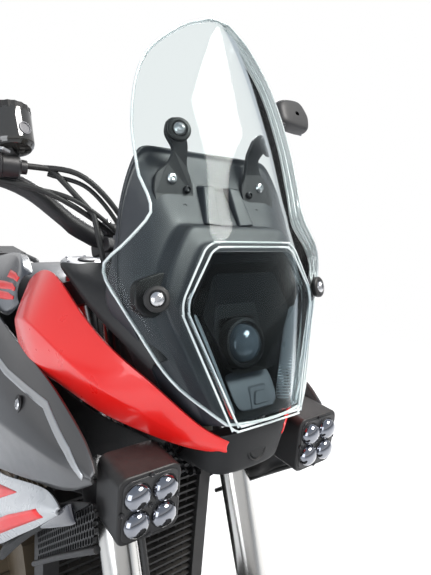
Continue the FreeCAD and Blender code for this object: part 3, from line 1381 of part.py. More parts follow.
lean = Placement(V(0, 0, 0), Rotation(V(1, 0, 0), -size("lean_deg")))
steer_frame = Placement(V(head_x, 0, 0), Rotation(V(0, 1, 0), -size("rake_deg")))
steered = steer_frame.multiply(Placement(V(0, 0, 0), Rotation(V(0, 0, 1), size("steer_deg"))))
front_hub = steered.multiply(Placement(V(fork_offset, 0, axle_along), Rotation()))
rear_hub = Placement(V(rear_axle_x, 0, rear_axle_z), Rotation())
front_line = tyre_line(size("front_rim_radius"), size("front_tyre_height"), size("front_tyre_width"))
rear_line = tyre_line(size("rear_rim_radius"), size("rear_tyre_height"), size("rear_tyre_width"))
stance = lean
for attempt in range(4):
    front_low = lowest(front_line, stance.multiply(front_hub))
    rear_low = lowest(rear_line, stance.multiply(rear_hub))
    pitch = math.degrees(math.atan2(front_low - rear_low, front_axle.x - rear_axle_x))
    turn = Placement(V(0, 0, 0), Rotation(V(0, 1, 0), pitch))
    stance = turn.multiply(stance)
    rear_low = lowest(rear_line, stance.multiply(rear_hub))
    stance = Placement(V(0, 0, -rear_low), Rotation()).multiply(stance)

# Side stand: leg, eye on the frame's pin and a foot whose sole lies flat on the ground.
foot_high = 9
foot = Part.makeCylinder(27, foot_high, V(size("stand_foot_x"), size("stand_foot_out"), 0))
foot.Placement = stance.inverse().multiply(foot.Placement)
foot_top = stance.inverse().multVec(V(size("stand_foot_x"), size("stand_foot_out"), foot_high - 3))
leg_rod = rod(stand_pivot, foot_top, size("stand_radius"))
world_down = stance.inverse().Rotation.multVec(V(0, 0, -1))
below = Part.makeBox(200, 200, 60, V(size("stand_foot_x") - 100, size("stand_foot_out") - 100, -60))
below.Placement = stance.inverse().multiply(below.Placement)
eye = rod(stand_pivot - stand_axis * lug_half, stand_pivot + stand_axis * lug_half, lug_radius)
clear_of_lug = [rod(lug_in - stand_axis * 30, lug_in + stand_axis * (gap - 0.001), lug_radius + 3),
                rod(lug_out - stand_axis * (gap - 0.001), lug_out + stand_axis * 30, lug_radius + 3)]
leg_rod = leg_rod.cut(clear_of_lug[0]).cut(clear_of_lug[1])
stand = joined([leg_rod, eye, foot]).cut(below)
pin_room = rod(stand_pivot - stand_axis * 40, stand_pivot + stand_axis * 40, lug_pin + size("running_gap"))
stand = stand.cut(pin_room)
add("side_stand", stand, "side_stand")

group_frames = {
    "chassis": Placement(),
    "steering": steered,
    "front_wheel": front_hub,
    "rear_wheel": rear_hub,
    "side_stand": Placement(),
}


def set_places(stance):
    for piece, group in nodes:
        piece.Placement = stance.multiply(group_frames[group])


set_places(stance)
doc.recompute()
around = FreeCAD.BoundBox()
for piece, group in nodes:
    around.add(piece.Shape.BoundBox)
stance = Placement(V(-around.Center.x, -around.Center.y, 0), Rotation()).multiply(stance)
set_places(stance)
doc.recompute()

for item in doc.Objects:
    if "Invalid" in item.State or "Error" in item.State:
        raise RuntimeError(item.Label + " failed")
for piece, group in nodes:
    if piece.Shape.isNull() or not piece.Shape.isValid():
        raise RuntimeError(piece.Label + " has no valid shape")
for piece, group in nodes:
    piece.Shape.exportStep("parts/" + piece.Label + ".step")


def told(name, vector):
    print(name, round(vector.x, 7), round(vector.y, 7), round(vector.z, 7))


told("shift", V(-around.Center.x, -around.Center.y, 0))
told("stance_base", stance.Base)
told("stance_x", stance.Rotation.multVec(V(1, 0, 0)))
told("stance_y", stance.Rotation.multVec(V(0, 1, 0)))
told("stance_z", stance.Rotation.multVec(V(0, 0, 1)))
steer_place = stance.multiply(steered)
told("steering_pos", steer_place.multVec(V(0, 0, 1050)))
told("steering_axis", steer_place.Rotation.multVec(V(0, 0, 1)))
told("front_hub_pos", stance.multiply(front_hub).Base)
told("front_hub_axis", stance.multiply(front_hub).Rotation.multVec(V(0, 1, 0)))
told("rear_hub_pos", stance.multiply(rear_hub).Base)
told("rear_hub_axis", stance.multiply(rear_hub).Rotation.multVec(V(0, 1, 0)))
told("stand_pos", stance.multVec(stand_pivot))
told("stand_axis", stance.Rotation.multVec(stand_axis))
told("stand_sole", V(size("stand_foot_x") - around.Center.x, size("stand_foot_out") - around.Center.y, 0))
told("rack_centre", stance.multVec(V(-825, 0, rack_z)))
told("rack_up", stance.Rotation.multVec(V(0, 0, 1)))
print("box", [round(v, 1) for v in (around.XLength, around.YLength, around.ZLength)])
for piece, group in nodes:
    print(piece.Label, group, len(piece.Shape.Solids), round(piece.Shape.Volume / 1000, 1))
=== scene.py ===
import bpy
import bmesh
import json
import math
from mathutils import Matrix, Vector
from mathutils.bvhtree import BVHTree


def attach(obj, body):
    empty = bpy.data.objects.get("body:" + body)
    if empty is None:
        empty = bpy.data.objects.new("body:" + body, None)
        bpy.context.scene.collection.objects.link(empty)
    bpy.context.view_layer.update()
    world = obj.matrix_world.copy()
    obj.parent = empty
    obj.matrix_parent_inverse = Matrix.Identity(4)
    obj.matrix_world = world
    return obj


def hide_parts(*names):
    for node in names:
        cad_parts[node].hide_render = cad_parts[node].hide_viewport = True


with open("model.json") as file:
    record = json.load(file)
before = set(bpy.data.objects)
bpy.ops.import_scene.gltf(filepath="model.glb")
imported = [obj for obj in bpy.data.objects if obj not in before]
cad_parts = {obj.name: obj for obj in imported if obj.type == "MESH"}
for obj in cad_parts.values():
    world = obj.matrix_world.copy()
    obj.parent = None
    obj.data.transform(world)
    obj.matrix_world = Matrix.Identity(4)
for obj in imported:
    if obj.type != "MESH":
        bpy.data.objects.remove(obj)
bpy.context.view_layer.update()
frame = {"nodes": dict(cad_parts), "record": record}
scene = bpy.context.scene
NODES = frame["nodes"]

# Places. Pieces are drawn on the upright machine in millimetres, as in the part's source, and stand leaned;
# those of the fork are drawn on the steering axis: ahead, left, along.
STANCE = Matrix(((0.9999988, -0.0002173, 0.001566, 0.0062778501), (0.0, 0.9905095, 0.1374445, -0.1999589461),
                 (-0.001581, -0.1374444, 0.9905082, -0.0004186925), (0, 0, 0, 1)))
RAKE = math.radians(24.45)
TURN = math.radians(10.9)
STEERED = (STANCE @ Matrix.Translation((0.855, 0, 0)) @ Matrix.Rotation(-RAKE, 4, "Y")
           @ Matrix.Rotation(TURN, 4, "Z"))
FORK = 0.044
AXLE = (0.329 - FORK * math.sin(RAKE)) / math.cos(RAKE)
FRONT_HUB = STEERED @ Matrix.Translation((FORK, 0, AXLE))
REAR_AXLE = Vector((-748.25, 0, 321))
REAR_HUB = STANCE @ Matrix.Translation(REAR_AXLE * 0.001)
PLACES = {"chassis": STANCE, "steering": STEERED, "front_wheel": FRONT_HUB, "rear_wheel": REAR_HUB,
          "side_stand": STANCE}

# Camera at the photograph's view, before the right front of the machine.
camera = bpy.data.objects.new("camera", bpy.data.cameras.new("camera"))
scene.collection.objects.link(camera)
scene.camera = camera
right = Vector((0.5934, 0.8043, -0.0299))
ahead = Vector((-0.7791, 0.5646, -0.2726))
up = right.cross(ahead)
look = Matrix((right, up, -ahead)).transposed().to_4x4()
look.translation = (0.9621, -0.3262, 1.2587)
camera.matrix_world = look
camera.data.lens = 28.04
camera.data.clip_start = 0.05

# Studio: pale floor, white behind it, one broad key, a fill and a rim.
world = bpy.data.worlds.new("studio")
scene.world = world
world.use_nodes = True
wt = world.node_tree
wt.nodes.clear()
w_out = wt.nodes.new("ShaderNodeOutputWorld")
w_mix = wt.nodes.new("ShaderNodeMixShader")
w_path = wt.nodes.new("ShaderNodeLightPath")
w_seen = wt.nodes.new("ShaderNodeBackground")
w_seen.inputs["Color"].default_value = (1, 1, 1, 1)
w_sky = wt.nodes.new("ShaderNodeBackground")
w_ramp = wt.nodes.new("ShaderNodeValToRGB")
w_xyz = wt.nodes.new("ShaderNodeSeparateXYZ")
w_co = wt.nodes.new("ShaderNodeTexCoord")
ramp = w_ramp.color_ramp
ramp.elements[0].position = 0.38
ramp.elements[0].color = (0.30, 0.29, 0.28, 1)
ramp.elements[1].position = 1.0
ramp.elements[1].color = (0.55, 0.62, 0.72, 1)
for at, colour in ((0.49, (0.20, 0.20, 0.21, 1)), (0.53, (0.95, 0.95, 0.95, 1)),
                   (0.72, (0.72, 0.76, 0.82, 1))):
    step = ramp.elements.new(at)
    step.color = colour
w_map = wt.nodes.new("ShaderNodeMath")
w_map.operation = "MULTIPLY_ADD"
w_map.inputs[1].default_value = 0.5
w_map.inputs[2].default_value = 0.5
wt.links.new(w_co.outputs["Generated"], w_xyz.inputs[0])
wt.links.new(w_xyz.outputs["Z"], w_map.inputs[0])
wt.links.new(w_map.outputs[0], w_ramp.inputs["Fac"])
wt.links.new(w_ramp.outputs["Color"], w_sky.inputs["Color"])
w_sky.inputs["Strength"].default_value = 0.85
wt.links.new(w_path.outputs["Is Camera Ray"], w_mix.inputs["Fac"])
wt.links.new(w_sky.outputs[0], w_mix.inputs[1])
wt.links.new(w_seen.outputs[0], w_mix.inputs[2])
wt.links.new(w_mix.outputs[0], w_out.inputs["Surface"])


def lamp(name, place, aim, size, power, colour=(1, 1, 1)):
    light = bpy.data.lights.new(name, "AREA")
    light.shape = "RECTANGLE"
    light.size, light.size_y = size
    light.energy = power
    light.color = colour
    ob = bpy.data.objects.new(name, light)
    scene.collection.objects.link(ob)
    ob.location = place
    ob.rotation_euler = (Vector(aim) - Vector(place)).to_track_quat("-Z", "Y").to_euler()
    return ob


lamp("key", (2.3, 1.6, 3.4), (0.3, -0.1, 0.9), (1.6, 1.2), 190, (1.0, 0.97, 0.93))
lamp("fill", (1.6, -3.0, 1.6), (0.3, -0.2, 0.8), (2.4, 2.0), 55, (0.93, 0.96, 1.0))
lamp("rim", (-2.2, 1.8, 2.6), (0.2, 0.0, 0.9), (1.4, 1.4), 80)

floor_mesh = bpy.data.meshes.new("floor")
floor_mesh.from_pydata([(-14, -14, 0), (14, -14, 0), (14, 14, 0), (-14, 14, 0)], [], [(0, 1, 2, 3)])
floor = bpy.data.objects.new("floor", floor_mesh)
scene.collection.objects.link(floor)
floor.location.z = -0.0008
scene.view_settings.view_transform = "Standard"


# Materials: a base with mottled tone, roughness that varies, fine grain in the bump and wear on edges.
def effect(name, inputs, outputs):
    """An empty node group with named sockets: (name, kind, value) in, (name, kind) out."""
    group = bpy.data.node_groups.new(name, "ShaderNodeTree")
    for socket_name, kind, value in inputs:
        socket = group.interface.new_socket(socket_name, in_out="INPUT", socket_type="NodeSocket" + kind)
        socket.default_value = value
    for socket_name, kind in outputs:
        group.interface.new_socket(socket_name, in_out="OUTPUT", socket_type="NodeSocket" + kind)
    return group, group.nodes.new("NodeGroupInput"), group.nodes.new("NodeGroupOutput")


def noise_in(group, scale, detail):
    """Noise over the object's own coordinates; scale is a number or a socket."""
    coords = group.nodes.new("ShaderNodeTexCoord")
    texture = group.nodes.new("ShaderNodeTexNoise")
    texture.inputs["Detail"].default_value = detail
    if isinstance(scale, (int, float)):
        texture.inputs["Scale"].default_value = scale
    else:
        group.links.new(scale, texture.inputs["Scale"])
    group.links.new(coords.outputs["Object"], texture.inputs["Vector"])
    return texture


# Mottle: the colour drifts a little lighter and darker over a broad noise.
MOTTLE, given, made = effect("mottle", (("Colour", "Color", (0.5, 0.5, 0.5, 1)), ("Amount", "Float", 0.06),
                                        ("Scale", "Float", 9.0)), (("Colour", "Color"),))
broad = noise_in(MOTTLE, given.outputs["Scale"], 6)
least = MOTTLE.nodes.new("ShaderNodeMath")
least.operation = "SUBTRACT"
least.inputs[0].default_value = 1
MOTTLE.links.new(given.outputs["Amount"], least.inputs[1])
most = MOTTLE.nodes.new("ShaderNodeMath")
most.inputs[1].default_value = 1
MOTTLE.links.new(given.outputs["Amount"], most.inputs[0])
drift = MOTTLE.nodes.new("ShaderNodeMapRange")
MOTTLE.links.new(broad.outputs["Fac"], drift.inputs["Value"])
MOTTLE.links.new(least.outputs[0], drift.inputs["To Min"])
MOTTLE.links.new(most.outputs[0], drift.inputs["To Max"])
shade = MOTTLE.nodes.new("ShaderNodeVectorMath")
shade.operation = "SCALE"
MOTTLE.links.new(given.outputs["Colour"], shade.inputs[0])
MOTTLE.links.new(drift.outputs[0], shade.inputs["Scale"])
MOTTLE.links.new(shade.outputs[0], made.inputs["Colour"])

# Dust: pale road dust that settles on faces that look up, broken by a fine noise.
DUST, given, made = effect("dust", (("Colour", "Color", (0.5, 0.5, 0.5, 1)), ("Amount", "Float", 0.1)),
                           (("Colour", "Color"),))
fine = noise_in(DUST, 60, 8)
fine.inputs["Roughness"].default_value = 0.7
geometry = DUST.nodes.new("ShaderNodeNewGeometry")
parts = DUST.nodes.new("ShaderNodeSeparateXYZ")
DUST.links.new(geometry.outputs["Normal"], parts.inputs[0])
lie = DUST.nodes.new("ShaderNodeMapRange")
lie.inputs["From Min"].default_value = -0.2
lie.inputs["From Max"].default_value = 1.2
DUST.links.new(given.outputs["Amount"], lie.inputs["To Max"])
DUST.links.new(parts.outputs["Z"], lie.inputs["Value"])
much = DUST.nodes.new("ShaderNodeMath")
much.operation = "MULTIPLY"
DUST.links.new(lie.outputs[0], much.inputs[0])
DUST.links.new(fine.outputs["Fac"], much.inputs[1])
dusty = DUST.nodes.new("ShaderNodeMixRGB")
dusty.inputs["Color2"].default_value = (0.36, 0.33, 0.29, 1)
DUST.links.new(much.outputs[0], dusty.inputs["Fac"])
DUST.links.new(given.outputs["Colour"], dusty.inputs["Color1"])
DUST.links.new(dusty.outputs["Color"], made.inputs["Colour"])

# Edge wear: paint rubbed through to a second colour where edges are sharp.
WEAR, given, made = effect("edge_wear", (("Colour", "Color", (0.5, 0.5, 0.5, 1)),
                                         ("Worn", "Color", (0.6, 0.6, 0.6, 1))),
                           (("Colour", "Color"),))
edge = WEAR.nodes.new("ShaderNodeBevel")
edge.samples = 4
edge.inputs["Radius"].default_value = 0.0012
geometry = WEAR.nodes.new("ShaderNodeNewGeometry")
dot = WEAR.nodes.new("ShaderNodeVectorMath")
dot.operation = "DOT_PRODUCT"
WEAR.links.new(edge.outputs["Normal"], dot.inputs[0])
WEAR.links.new(geometry.outputs["Normal"], dot.inputs[1])
scuff = WEAR.nodes.new("ShaderNodeMapRange")
scuff.inputs["From Min"].default_value = 0.985
scuff.inputs["From Max"].default_value = 0.80
scuff.inputs["To Max"].default_value = 0.75
WEAR.links.new(dot.outputs["Value"], scuff.inputs["Value"])
worn = WEAR.nodes.new("ShaderNodeMixRGB")
WEAR.links.new(scuff.outputs[0], worn.inputs["Fac"])
WEAR.links.new(given.outputs["Colour"], worn.inputs["Color1"])
WEAR.links.new(given.outputs["Worn"], worn.inputs["Color2"])
WEAR.links.new(worn.outputs["Color"], made.inputs["Colour"])

# Streaks: the gloss varies between two roughnesses.
STREAKS, given, made = effect("streaks", (("Least", "Float", 0.3), ("Most", "Float", 0.5)),
                              (("Roughness", "Float"),))
streak = noise_in(STREAKS, 38, 7)
gloss = STREAKS.nodes.new("ShaderNodeMapRange")
STREAKS.links.new(streak.outputs["Fac"], gloss.inputs["Value"])
STREAKS.links.new(given.outputs["Least"], gloss.inputs["To Min"])
STREAKS.links.new(given.outputs["Most"], gloss.inputs["To Max"])
STREAKS.links.new(gloss.outputs[0], made.inputs["Roughness"])

# Grain: fine pores or mould texture as a bump.
GRAIN, given, made = effect("grain", (("Strength", "Float", 0.1), ("Scale", "Float", 900.0)),
                            (("Normal", "Vector"),))
pores = noise_in(GRAIN, given.outputs["Scale"], 3)
bump = GRAIN.nodes.new("ShaderNodeBump")
bump.inputs["Distance"].default_value = 0.0004
GRAIN.links.new(given.outputs["Strength"], bump.inputs["Strength"])
GRAIN.links.new(pores.outputs["Fac"], bump.inputs["Height"])
GRAIN.links.new(bump.outputs[0], made.inputs["Normal"])


def put(tree, group, **values):
    """Places a shader effect in a material; a value may be a constant or another node's socket."""
    node = tree.nodes.new("ShaderNodeGroup")
    node.node_tree = group
    for key, value in values.items():
        if isinstance(value, bpy.types.NodeSocket):
            tree.links.new(value, node.inputs[key])
        else:
            node.inputs[key].default_value = value
    return node.outputs[0]


M, SLOT_FOR = {}, {}


def surface(name, colour, rough, metal=0.0, grain=0.0, grain_size=900.0, mottle=0.06, mottle_size=9.0,
            spread=0.08, dust=0.0, wear=None, slot=None, **sockets):
    """A lacquer, plastic, rubber or metal; slot names the material slot of the record that it stands for,
    only noted in SLOT_FOR.
    """
    m = bpy.data.materials.new(name)
    m.use_nodes = True
    t = m.node_tree
    bsdf = t.nodes["Principled BSDF"]
    last = put(t, MOTTLE, Colour=(*colour, 1), Amount=mottle, Scale=mottle_size)
    if dust:
        last = put(t, DUST, Colour=last, Amount=dust)
    if wear:
        last = put(t, WEAR, Colour=last, Worn=(*wear, 1))
    t.links.new(last, bsdf.inputs["Base Color"])
    t.links.new(put(t, STREAKS, Least=max(0.02, rough - spread), Most=min(1.0, rough + spread)),
                bsdf.inputs["Roughness"])
    bsdf.inputs["Metallic"].default_value = metal
    if grain:
        t.links.new(put(t, GRAIN, Strength=grain, Scale=grain_size), bsdf.inputs["Normal"])
    for key, value in sockets.items():
        bsdf.inputs[key.replace("_", " ")].default_value = value
    M[name] = m
    SLOT_FOR[name] = slot or name


surface("floor_pale", (0.80, 0.80, 0.80), 0.7, mottle=0.02, grain=0.2, grain_size=300)
floor_mesh.materials.append(M["floor_pale"])
ft = M["floor_pale"].node_tree
f_co = ft.nodes.new("ShaderNodeTexCoord")
f_far = ft.nodes.new("ShaderNodeVectorMath")
f_far.operation = "LENGTH"
f_fade = ft.nodes.new("ShaderNodeMapRange")
f_fade.interpolation_type = "SMOOTHSTEP"
f_fade.inputs["From Min"].default_value = 1.1
f_fade.inputs["From Max"].default_value = 2.6
f_path = ft.nodes.new("ShaderNodeLightPath")
f_seen = ft.nodes.new("ShaderNodeMath")
f_seen.operation = "MAXIMUM"
f_much = ft.nodes.new("ShaderNodeMath")
f_much.operation = "MULTIPLY"
f_white = ft.nodes.new("ShaderNodeEmission")
f_white.inputs["Color"].default_value = (1, 1, 1, 1)
f_mix = ft.nodes.new("ShaderNodeMixShader")
ft.links.new(f_co.outputs["Object"], f_far.inputs[0])
ft.links.new(f_far.outputs["Value"], f_fade.inputs["Value"])
ft.links.new(f_path.outputs["Is Camera Ray"], f_seen.inputs[0])
ft.links.new(f_path.outputs["Is Transmission Ray"], f_seen.inputs[1])
ft.links.new(f_fade.outputs[0], f_much.inputs[0])
ft.links.new(f_seen.outputs[0], f_much.inputs[1])
ft.links.new(f_much.outputs[0], f_mix.inputs["Fac"])
ft.links.new(ft.nodes["Principled BSDF"].outputs[0], f_mix.inputs[1])
ft.links.new(f_white.outputs[0], f_mix.inputs[2])
ft.links.new(f_mix.outputs[0], ft.nodes["Material Output"].inputs["Surface"])


# The slanted plane of the headlight: left, up and back from the lens centre.
TILT = math.radians(17.1)
LAMP = Vector((645, 0, 1107))


def lamp_at(left, up, back):
    return (LAMP.x - up * math.sin(TILT) - back * math.cos(TILT), left,
            LAMP.z + up * math.cos(TILT) - back * math.sin(TILT))


# Windscreen: one sheet of clear plastic, bowed across, its outline waisted below the top and cut open round
# the headlight. Columns: height, its middle and its edge ahead, half its width.
screen_rows = ((1028, 675, 666, 50), (1049, 671, 648, 75), (1067, 667, 632, 93), (1113, 655, 608, 119),
               (1149, 643, 592, 138), (1164, 637, 586, 143), (1187, 628, 593, 125), (1217, 614, 592, 100),
               (1246, 602, 575, 105), (1304, 580, 550, 103), (1364, 556, 531, 82), (1400, 541, 531, 42),
               (1413, 535, 534, 12))
SCREEN_LOW, SCREEN_TOP, SCREEN_STEPS = 1028, 1413, 74
levels_z = [SCREEN_LOW + (SCREEN_TOP - 1 - SCREEN_LOW) * k / SCREEN_STEPS
            for k in range(SCREEN_STEPS)] + [SCREEN_TOP]


def screen_arc(z):
    """The sheet's bow at a height: where its middle is, the bow's radius and half its width."""
    x_mid, x_edge, out = smooth_line(screen_rows, z)
    bow = max(x_mid - x_edge, 0.4)
    return x_mid, (out * out + bow * bow) / (2 * bow), out


columns = 36
screen_points = []


def smooth_line(values, at):
    """Catmull-Rom through (key, value...) rows at a key between them."""
    for i in range(len(values) - 1):
        if values[i][0] <= at <= values[i + 1][0] + 1e-9:
            break
    a, b = values[i], values[i + 1]
    before = values[max(i - 1, 0)]
    after = values[min(i + 2, len(values) - 1)]
    h = b[0] - a[0]
    t = (at - a[0]) / h
    out = []
    for k in range(1, len(a)):
        ma = (b[k] - before[k]) / (b[0] - before[0]) if i > 0 else (b[k] - a[k]) / h
        mb = (after[k] - a[k]) / (after[0] - a[0]) if i < len(values) - 2 else (b[k] - a[k]) / h
        t2, t3 = t * t, t * t * t
        out.append((2 * t3 - 3 * t2 + 1) * a[k] + (t3 - 2 * t2 + t) * h * ma + (-2 * t3 + 3 * t2) * b[k]
                   + (t3 - t2) * h * mb)
    return out


def clear(name, tint, rough, ior, blend=0.12):
    m = bpy.data.materials.new(name)
    m.use_nodes = True
    t = m.node_tree
    bsdf = t.nodes["Principled BSDF"]
    bsdf.inputs["Base Color"].default_value = (*tint, 1)
    bsdf.inputs["IOR"].default_value = ior
    bsdf.inputs["Transmission Weight"].default_value = 1.0
    co = t.nodes.new("ShaderNodeTexCoord")
    smear = t.nodes.new("ShaderNodeTexNoise")
    smear.inputs["Scale"].default_value = 24
    smear.inputs["Detail"].default_value = 8
    t.links.new(co.outputs["Object"], smear.inputs["Vector"])
    spot = t.nodes.new("ShaderNodeMapRange")
    spot.inputs["From Min"].default_value = 0.45
    spot.inputs["From Max"].default_value = 0.9
    spot.inputs["To Min"].default_value = rough
    spot.inputs["To Max"].default_value = rough + 0.05
    t.links.new(smear.outputs["Fac"], spot.inputs["Value"])
    t.links.new(spot.outputs[0], bsdf.inputs["Roughness"])
    thin = t.nodes.new("ShaderNodeBsdfTransparent")
    thin.inputs["Color"].default_value = (*tint, 1)
    gloss = t.nodes.new("ShaderNodeBsdfGlossy")
    gloss.inputs["Color"].default_value = (1, 1, 1, 1)
    t.links.new(spot.outputs[0], gloss.inputs["Roughness"])
    fresnel = t.nodes.new("ShaderNodeLayerWeight")
    fresnel.inputs["Blend"].default_value = blend
    mix = t.nodes.new("ShaderNodeMixShader")
    t.links.new(fresnel.outputs["Fresnel"], mix.inputs["Fac"])
    t.links.new(thin.outputs[0], mix.inputs[1])
    t.links.new(gloss.outputs[0], mix.inputs[2])
    t.links.new(mix.outputs[0], t.nodes["Material Output"].inputs["Surface"])
    M[name] = m
    SLOT_FOR[name] = name


for z in levels_z:
    x_mid, radius, out = screen_arc(z)
    span = math.asin(min(1, out / radius))
    row = []
    for c in range(columns + 1):
        a = -span + 2 * span * c / columns
        row.append((x_mid - radius + radius * math.cos(a), radius * math.sin(a), z))
    screen_points.append(row)
screen_verts = [p for row in screen_points for p in row]
width = columns + 1
screen_faces = [(r * width + c, r * width + c + 1, (r + 1) * width + c + 1, (r + 1) * width + c)
                for r in range(len(screen_points) - 1) for c in range(columns)]
clear("screen_clear", (0.90, 0.93, 0.93), 0.02, 1.58)
# edge_bright: a pale, half-opaque colour, a painted highlight on the clear sheet's edges where they catch the
# light.
surface("edge_bright", (0.80, 0.86, 0.86), 0.12, Transmission_Weight=0.35, IOR=1.45, spread=0.05, grain=0.05,
        slot="screen_clear")


# Points are millimetres on the upright machine; piece() sets them on their body, in the mesh.
def on_body(points, body):
    return [PLACES[body] @ (Vector(p) * 0.001) for p in points]


def piece(name, verts, faces, material, body, mirror=False, smooth=True):
    mesh = bpy.data.meshes.new(name)
    if mirror:
        verts = [(x, -y, z) for x, y, z in verts]
        faces = [tuple(reversed(f)) for f in faces]
    mesh.from_pydata(on_body(verts, body), [], faces)
    mesh.update()
    for m in (material if isinstance(material, (list, tuple)) else [material]):
        mesh.materials.append(M[m])
    for poly in mesh.polygons:
        poly.use_smooth = smooth
    ob = bpy.data.objects.new(name, mesh)
    scene.collection.objects.link(ob)
    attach(ob, body)
    return ob


screen = piece("screen_sheet", screen_verts, screen_faces, ["screen_clear", "edge_bright"], "chassis")


def solid(ob, thick, offset=-1.0, rim=None):
    s = ob.modifiers.new("wall", "SOLIDIFY")
    s.thickness = thick * 0.001
    s.offset = offset
    s.use_even_offset = True
    if rim is not None:
        s.material_offset_rim = rim
    return s


# The wall's rim, the sheet's cut edge, takes the painted highlight.
solid(screen, 4.0, offset=-1.0, rim=1)


def round_corners(points, radius, steps=4):
    out = []
    n = len(points)
    for i in range(n):
        a, b, c = (Vector(points[i - 1]), Vector(points[i]), Vector(points[(i + 1) % n]))
        r = radius[i] if isinstance(radius, (list, tuple)) else radius
        reach = min(r, (a - b).length * 0.45, (c - b).length * 0.45)
        p, q = b + (a - b).normalized() * reach, b + (c - b).normalized() * reach
        for k in range(steps + 1):
            t = k / steps
            out.append(tuple(p * (1 - t) ** 2 + b * 2 * t * (1 - t) + q * t * t))
    return out


def hexagon(grow):
    """The outline of the headlight's lens, as points left and up of its centre, made larger by grow."""
    base = [(50, 83), (82, 31), (40, -84), (-40, -84), (-82, 31), (-50, 83)]
    out = []
    for a, b in base:
        out.append((a + math.copysign(grow, a), b + (grow if b > 60 else 0) - (grow if b < -60 else 0)))
    return round_corners(out, [r + max(0, grow) * 0.5 for r in (10, 14, 7, 7, 14, 10)], 5)


cut_line = hexagon(0)
n = len(cut_line)
cutter_verts = [lamp_at(a, b, -60) for a, b in cut_line] + [lamp_at(a, b, 70) for a, b in cut_line]
cutter_faces = [tuple(range(n)), tuple(reversed(range(n, 2 * n)))]
cutter_faces += [((i + 1) % n, i, n + i, n + (i + 1) % n) for i in range(n)]
# The walls of the opening take the cutter's painted highlight too.
cutter = piece("screen_cutter", cutter_verts, cutter_faces, "edge_bright", "chassis")
hole = screen.modifiers.new("opening", "BOOLEAN")
hole.operation = "DIFFERENCE"
hole.solver = "EXACT"
hole.object = cutter
hole.material_mode = "TRANSFER"


def bake(ob):
    bpy.context.view_layer.update()
    graph = bpy.context.evaluated_depsgraph_get()
    mesh = bpy.data.meshes.new_from_object(ob.evaluated_get(graph))
    ob.modifiers.clear()
    ob.data = mesh
    return ob


bake(screen)
bpy.data.objects.remove(cutter)


def bevel(ob, width, segments=3, angle=35):
    b = ob.modifiers.new("edges", "BEVEL")
    b.width = width * 0.001
    b.segments = segments
    b.limit_method = "ANGLE"
    b.angle_limit = math.radians(angle)
    b.harden_normals = False
    return b


bevel(screen, 0.9, 2, 50)
screen.data.set_sharp_from_angle(angle=math.radians(40))
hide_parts("windscreen")


def ring_strip(name, line_a, depth_a, line_b, depth_b, material, body="chassis"):
    n = len(line_a)
    verts = [lamp_at(a, b, depth_a) for a, b in line_a] + [lamp_at(a, b, depth_b) for a, b in line_b]
    faces = [(i, (i + 1) % n, n + (i + 1) % n, n + i) for i in range(n)]
    return piece(name, verts, faces, material, body)


# Headlight: a black moulded bowl behind a flat pane of clear plastic. A glass projector
# stands in a faceted shroud, with milky light guides and mirrored ribs down both sides.
clear("lens_clear", (0.80, 0.83, 0.85), 0.01, 1.58)
ring_strip("lamp_glass_rim", hexagon(-2.5), 3, hexagon(-3.5), 1.2, "lens_clear")
n_line = len(hexagon(-3.5))
pane = piece("lamp_glass", [lamp_at(a, b, 1.2) for a, b in hexagon(-3.5)]
             + [lamp_at(a, b, 4.4) for a, b in hexagon(-3.5)],
             [tuple(range(n_line)), tuple(reversed(range(n_line, 2 * n_line)))]
             + [((i + 1) % n_line, i, n_line + i, n_line + (i + 1) % n_line) for i in range(n_line)],
             "lens_clear", "chassis", smooth=False)
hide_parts("headlight_lens")
bowl_rings = [
    (5, ((47, 79), (78, 29), (38, -80))),
    (12, ((46, 70), (74, 26), (36, -79))),
    (38, ((40, 58), (60, 20), (30, -70))),
    (58, ((34, 48), (50, 16), (26, -46))),
]


def lamp_loft(name, rings, material, cap=True, radii=6, steps=3):
    verts, faces = [], []
    count = 0
    for back, corners in rings:
        line = list(corners) + [(-a, b) for a, b in reversed(corners)]
        line = round_corners(line, radii, steps)
        count = len(line)
        verts += [lamp_at(a, b, back) for a, b in line]
    for r in range(len(rings) - 1):
        for c in range(count):
            faces.append((r * count + c, r * count + (c + 1) % count, (r + 1) * count + (c + 1) % count,
                          (r + 1) * count + c))
    if cap:
        faces.append(tuple(range((len(rings) - 1) * count, len(rings) * count)))
    ob = piece(name, verts, faces, material, "chassis")
    ob.data.set_sharp_from_angle(angle=math.radians(25))
    return ob


surface("lamp_black", (0.007, 0.007, 0.008), 0.42, Specular_IOR_Level=0.35, grain=0.2, grain_size=1400,
        dust=0.12)
bowl = lamp_loft("lamp_bowl", bowl_rings, "lamp_black")
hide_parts("headlight")
shell_rings = [
    (5, ((48, 80.5), (79, 29.5), (39, -80.5))),
    (70, ((46, 78), (76, 28), (37, -78))),
    (101, ((30, 50), (50, 20), (24, -50))),
]
lamp_loft("lamp_shell", shell_rings, "lamp_black")
surface("reflector", (0.85, 0.86, 0.88), 0.06, metal=1.0, spread=0.03, grain=0.02, slot="lamp_black")
surface("guide_white", (0.62, 0.64, 0.66), 0.30, grain=0.15, grain_size=600, metal=0.2, slot="lamp_black")


def subsurf(ob, levels=2):
    s = ob.modifiers.new("smooth", "SUBSURF")
    s.levels = levels
    s.render_levels = levels
    return s


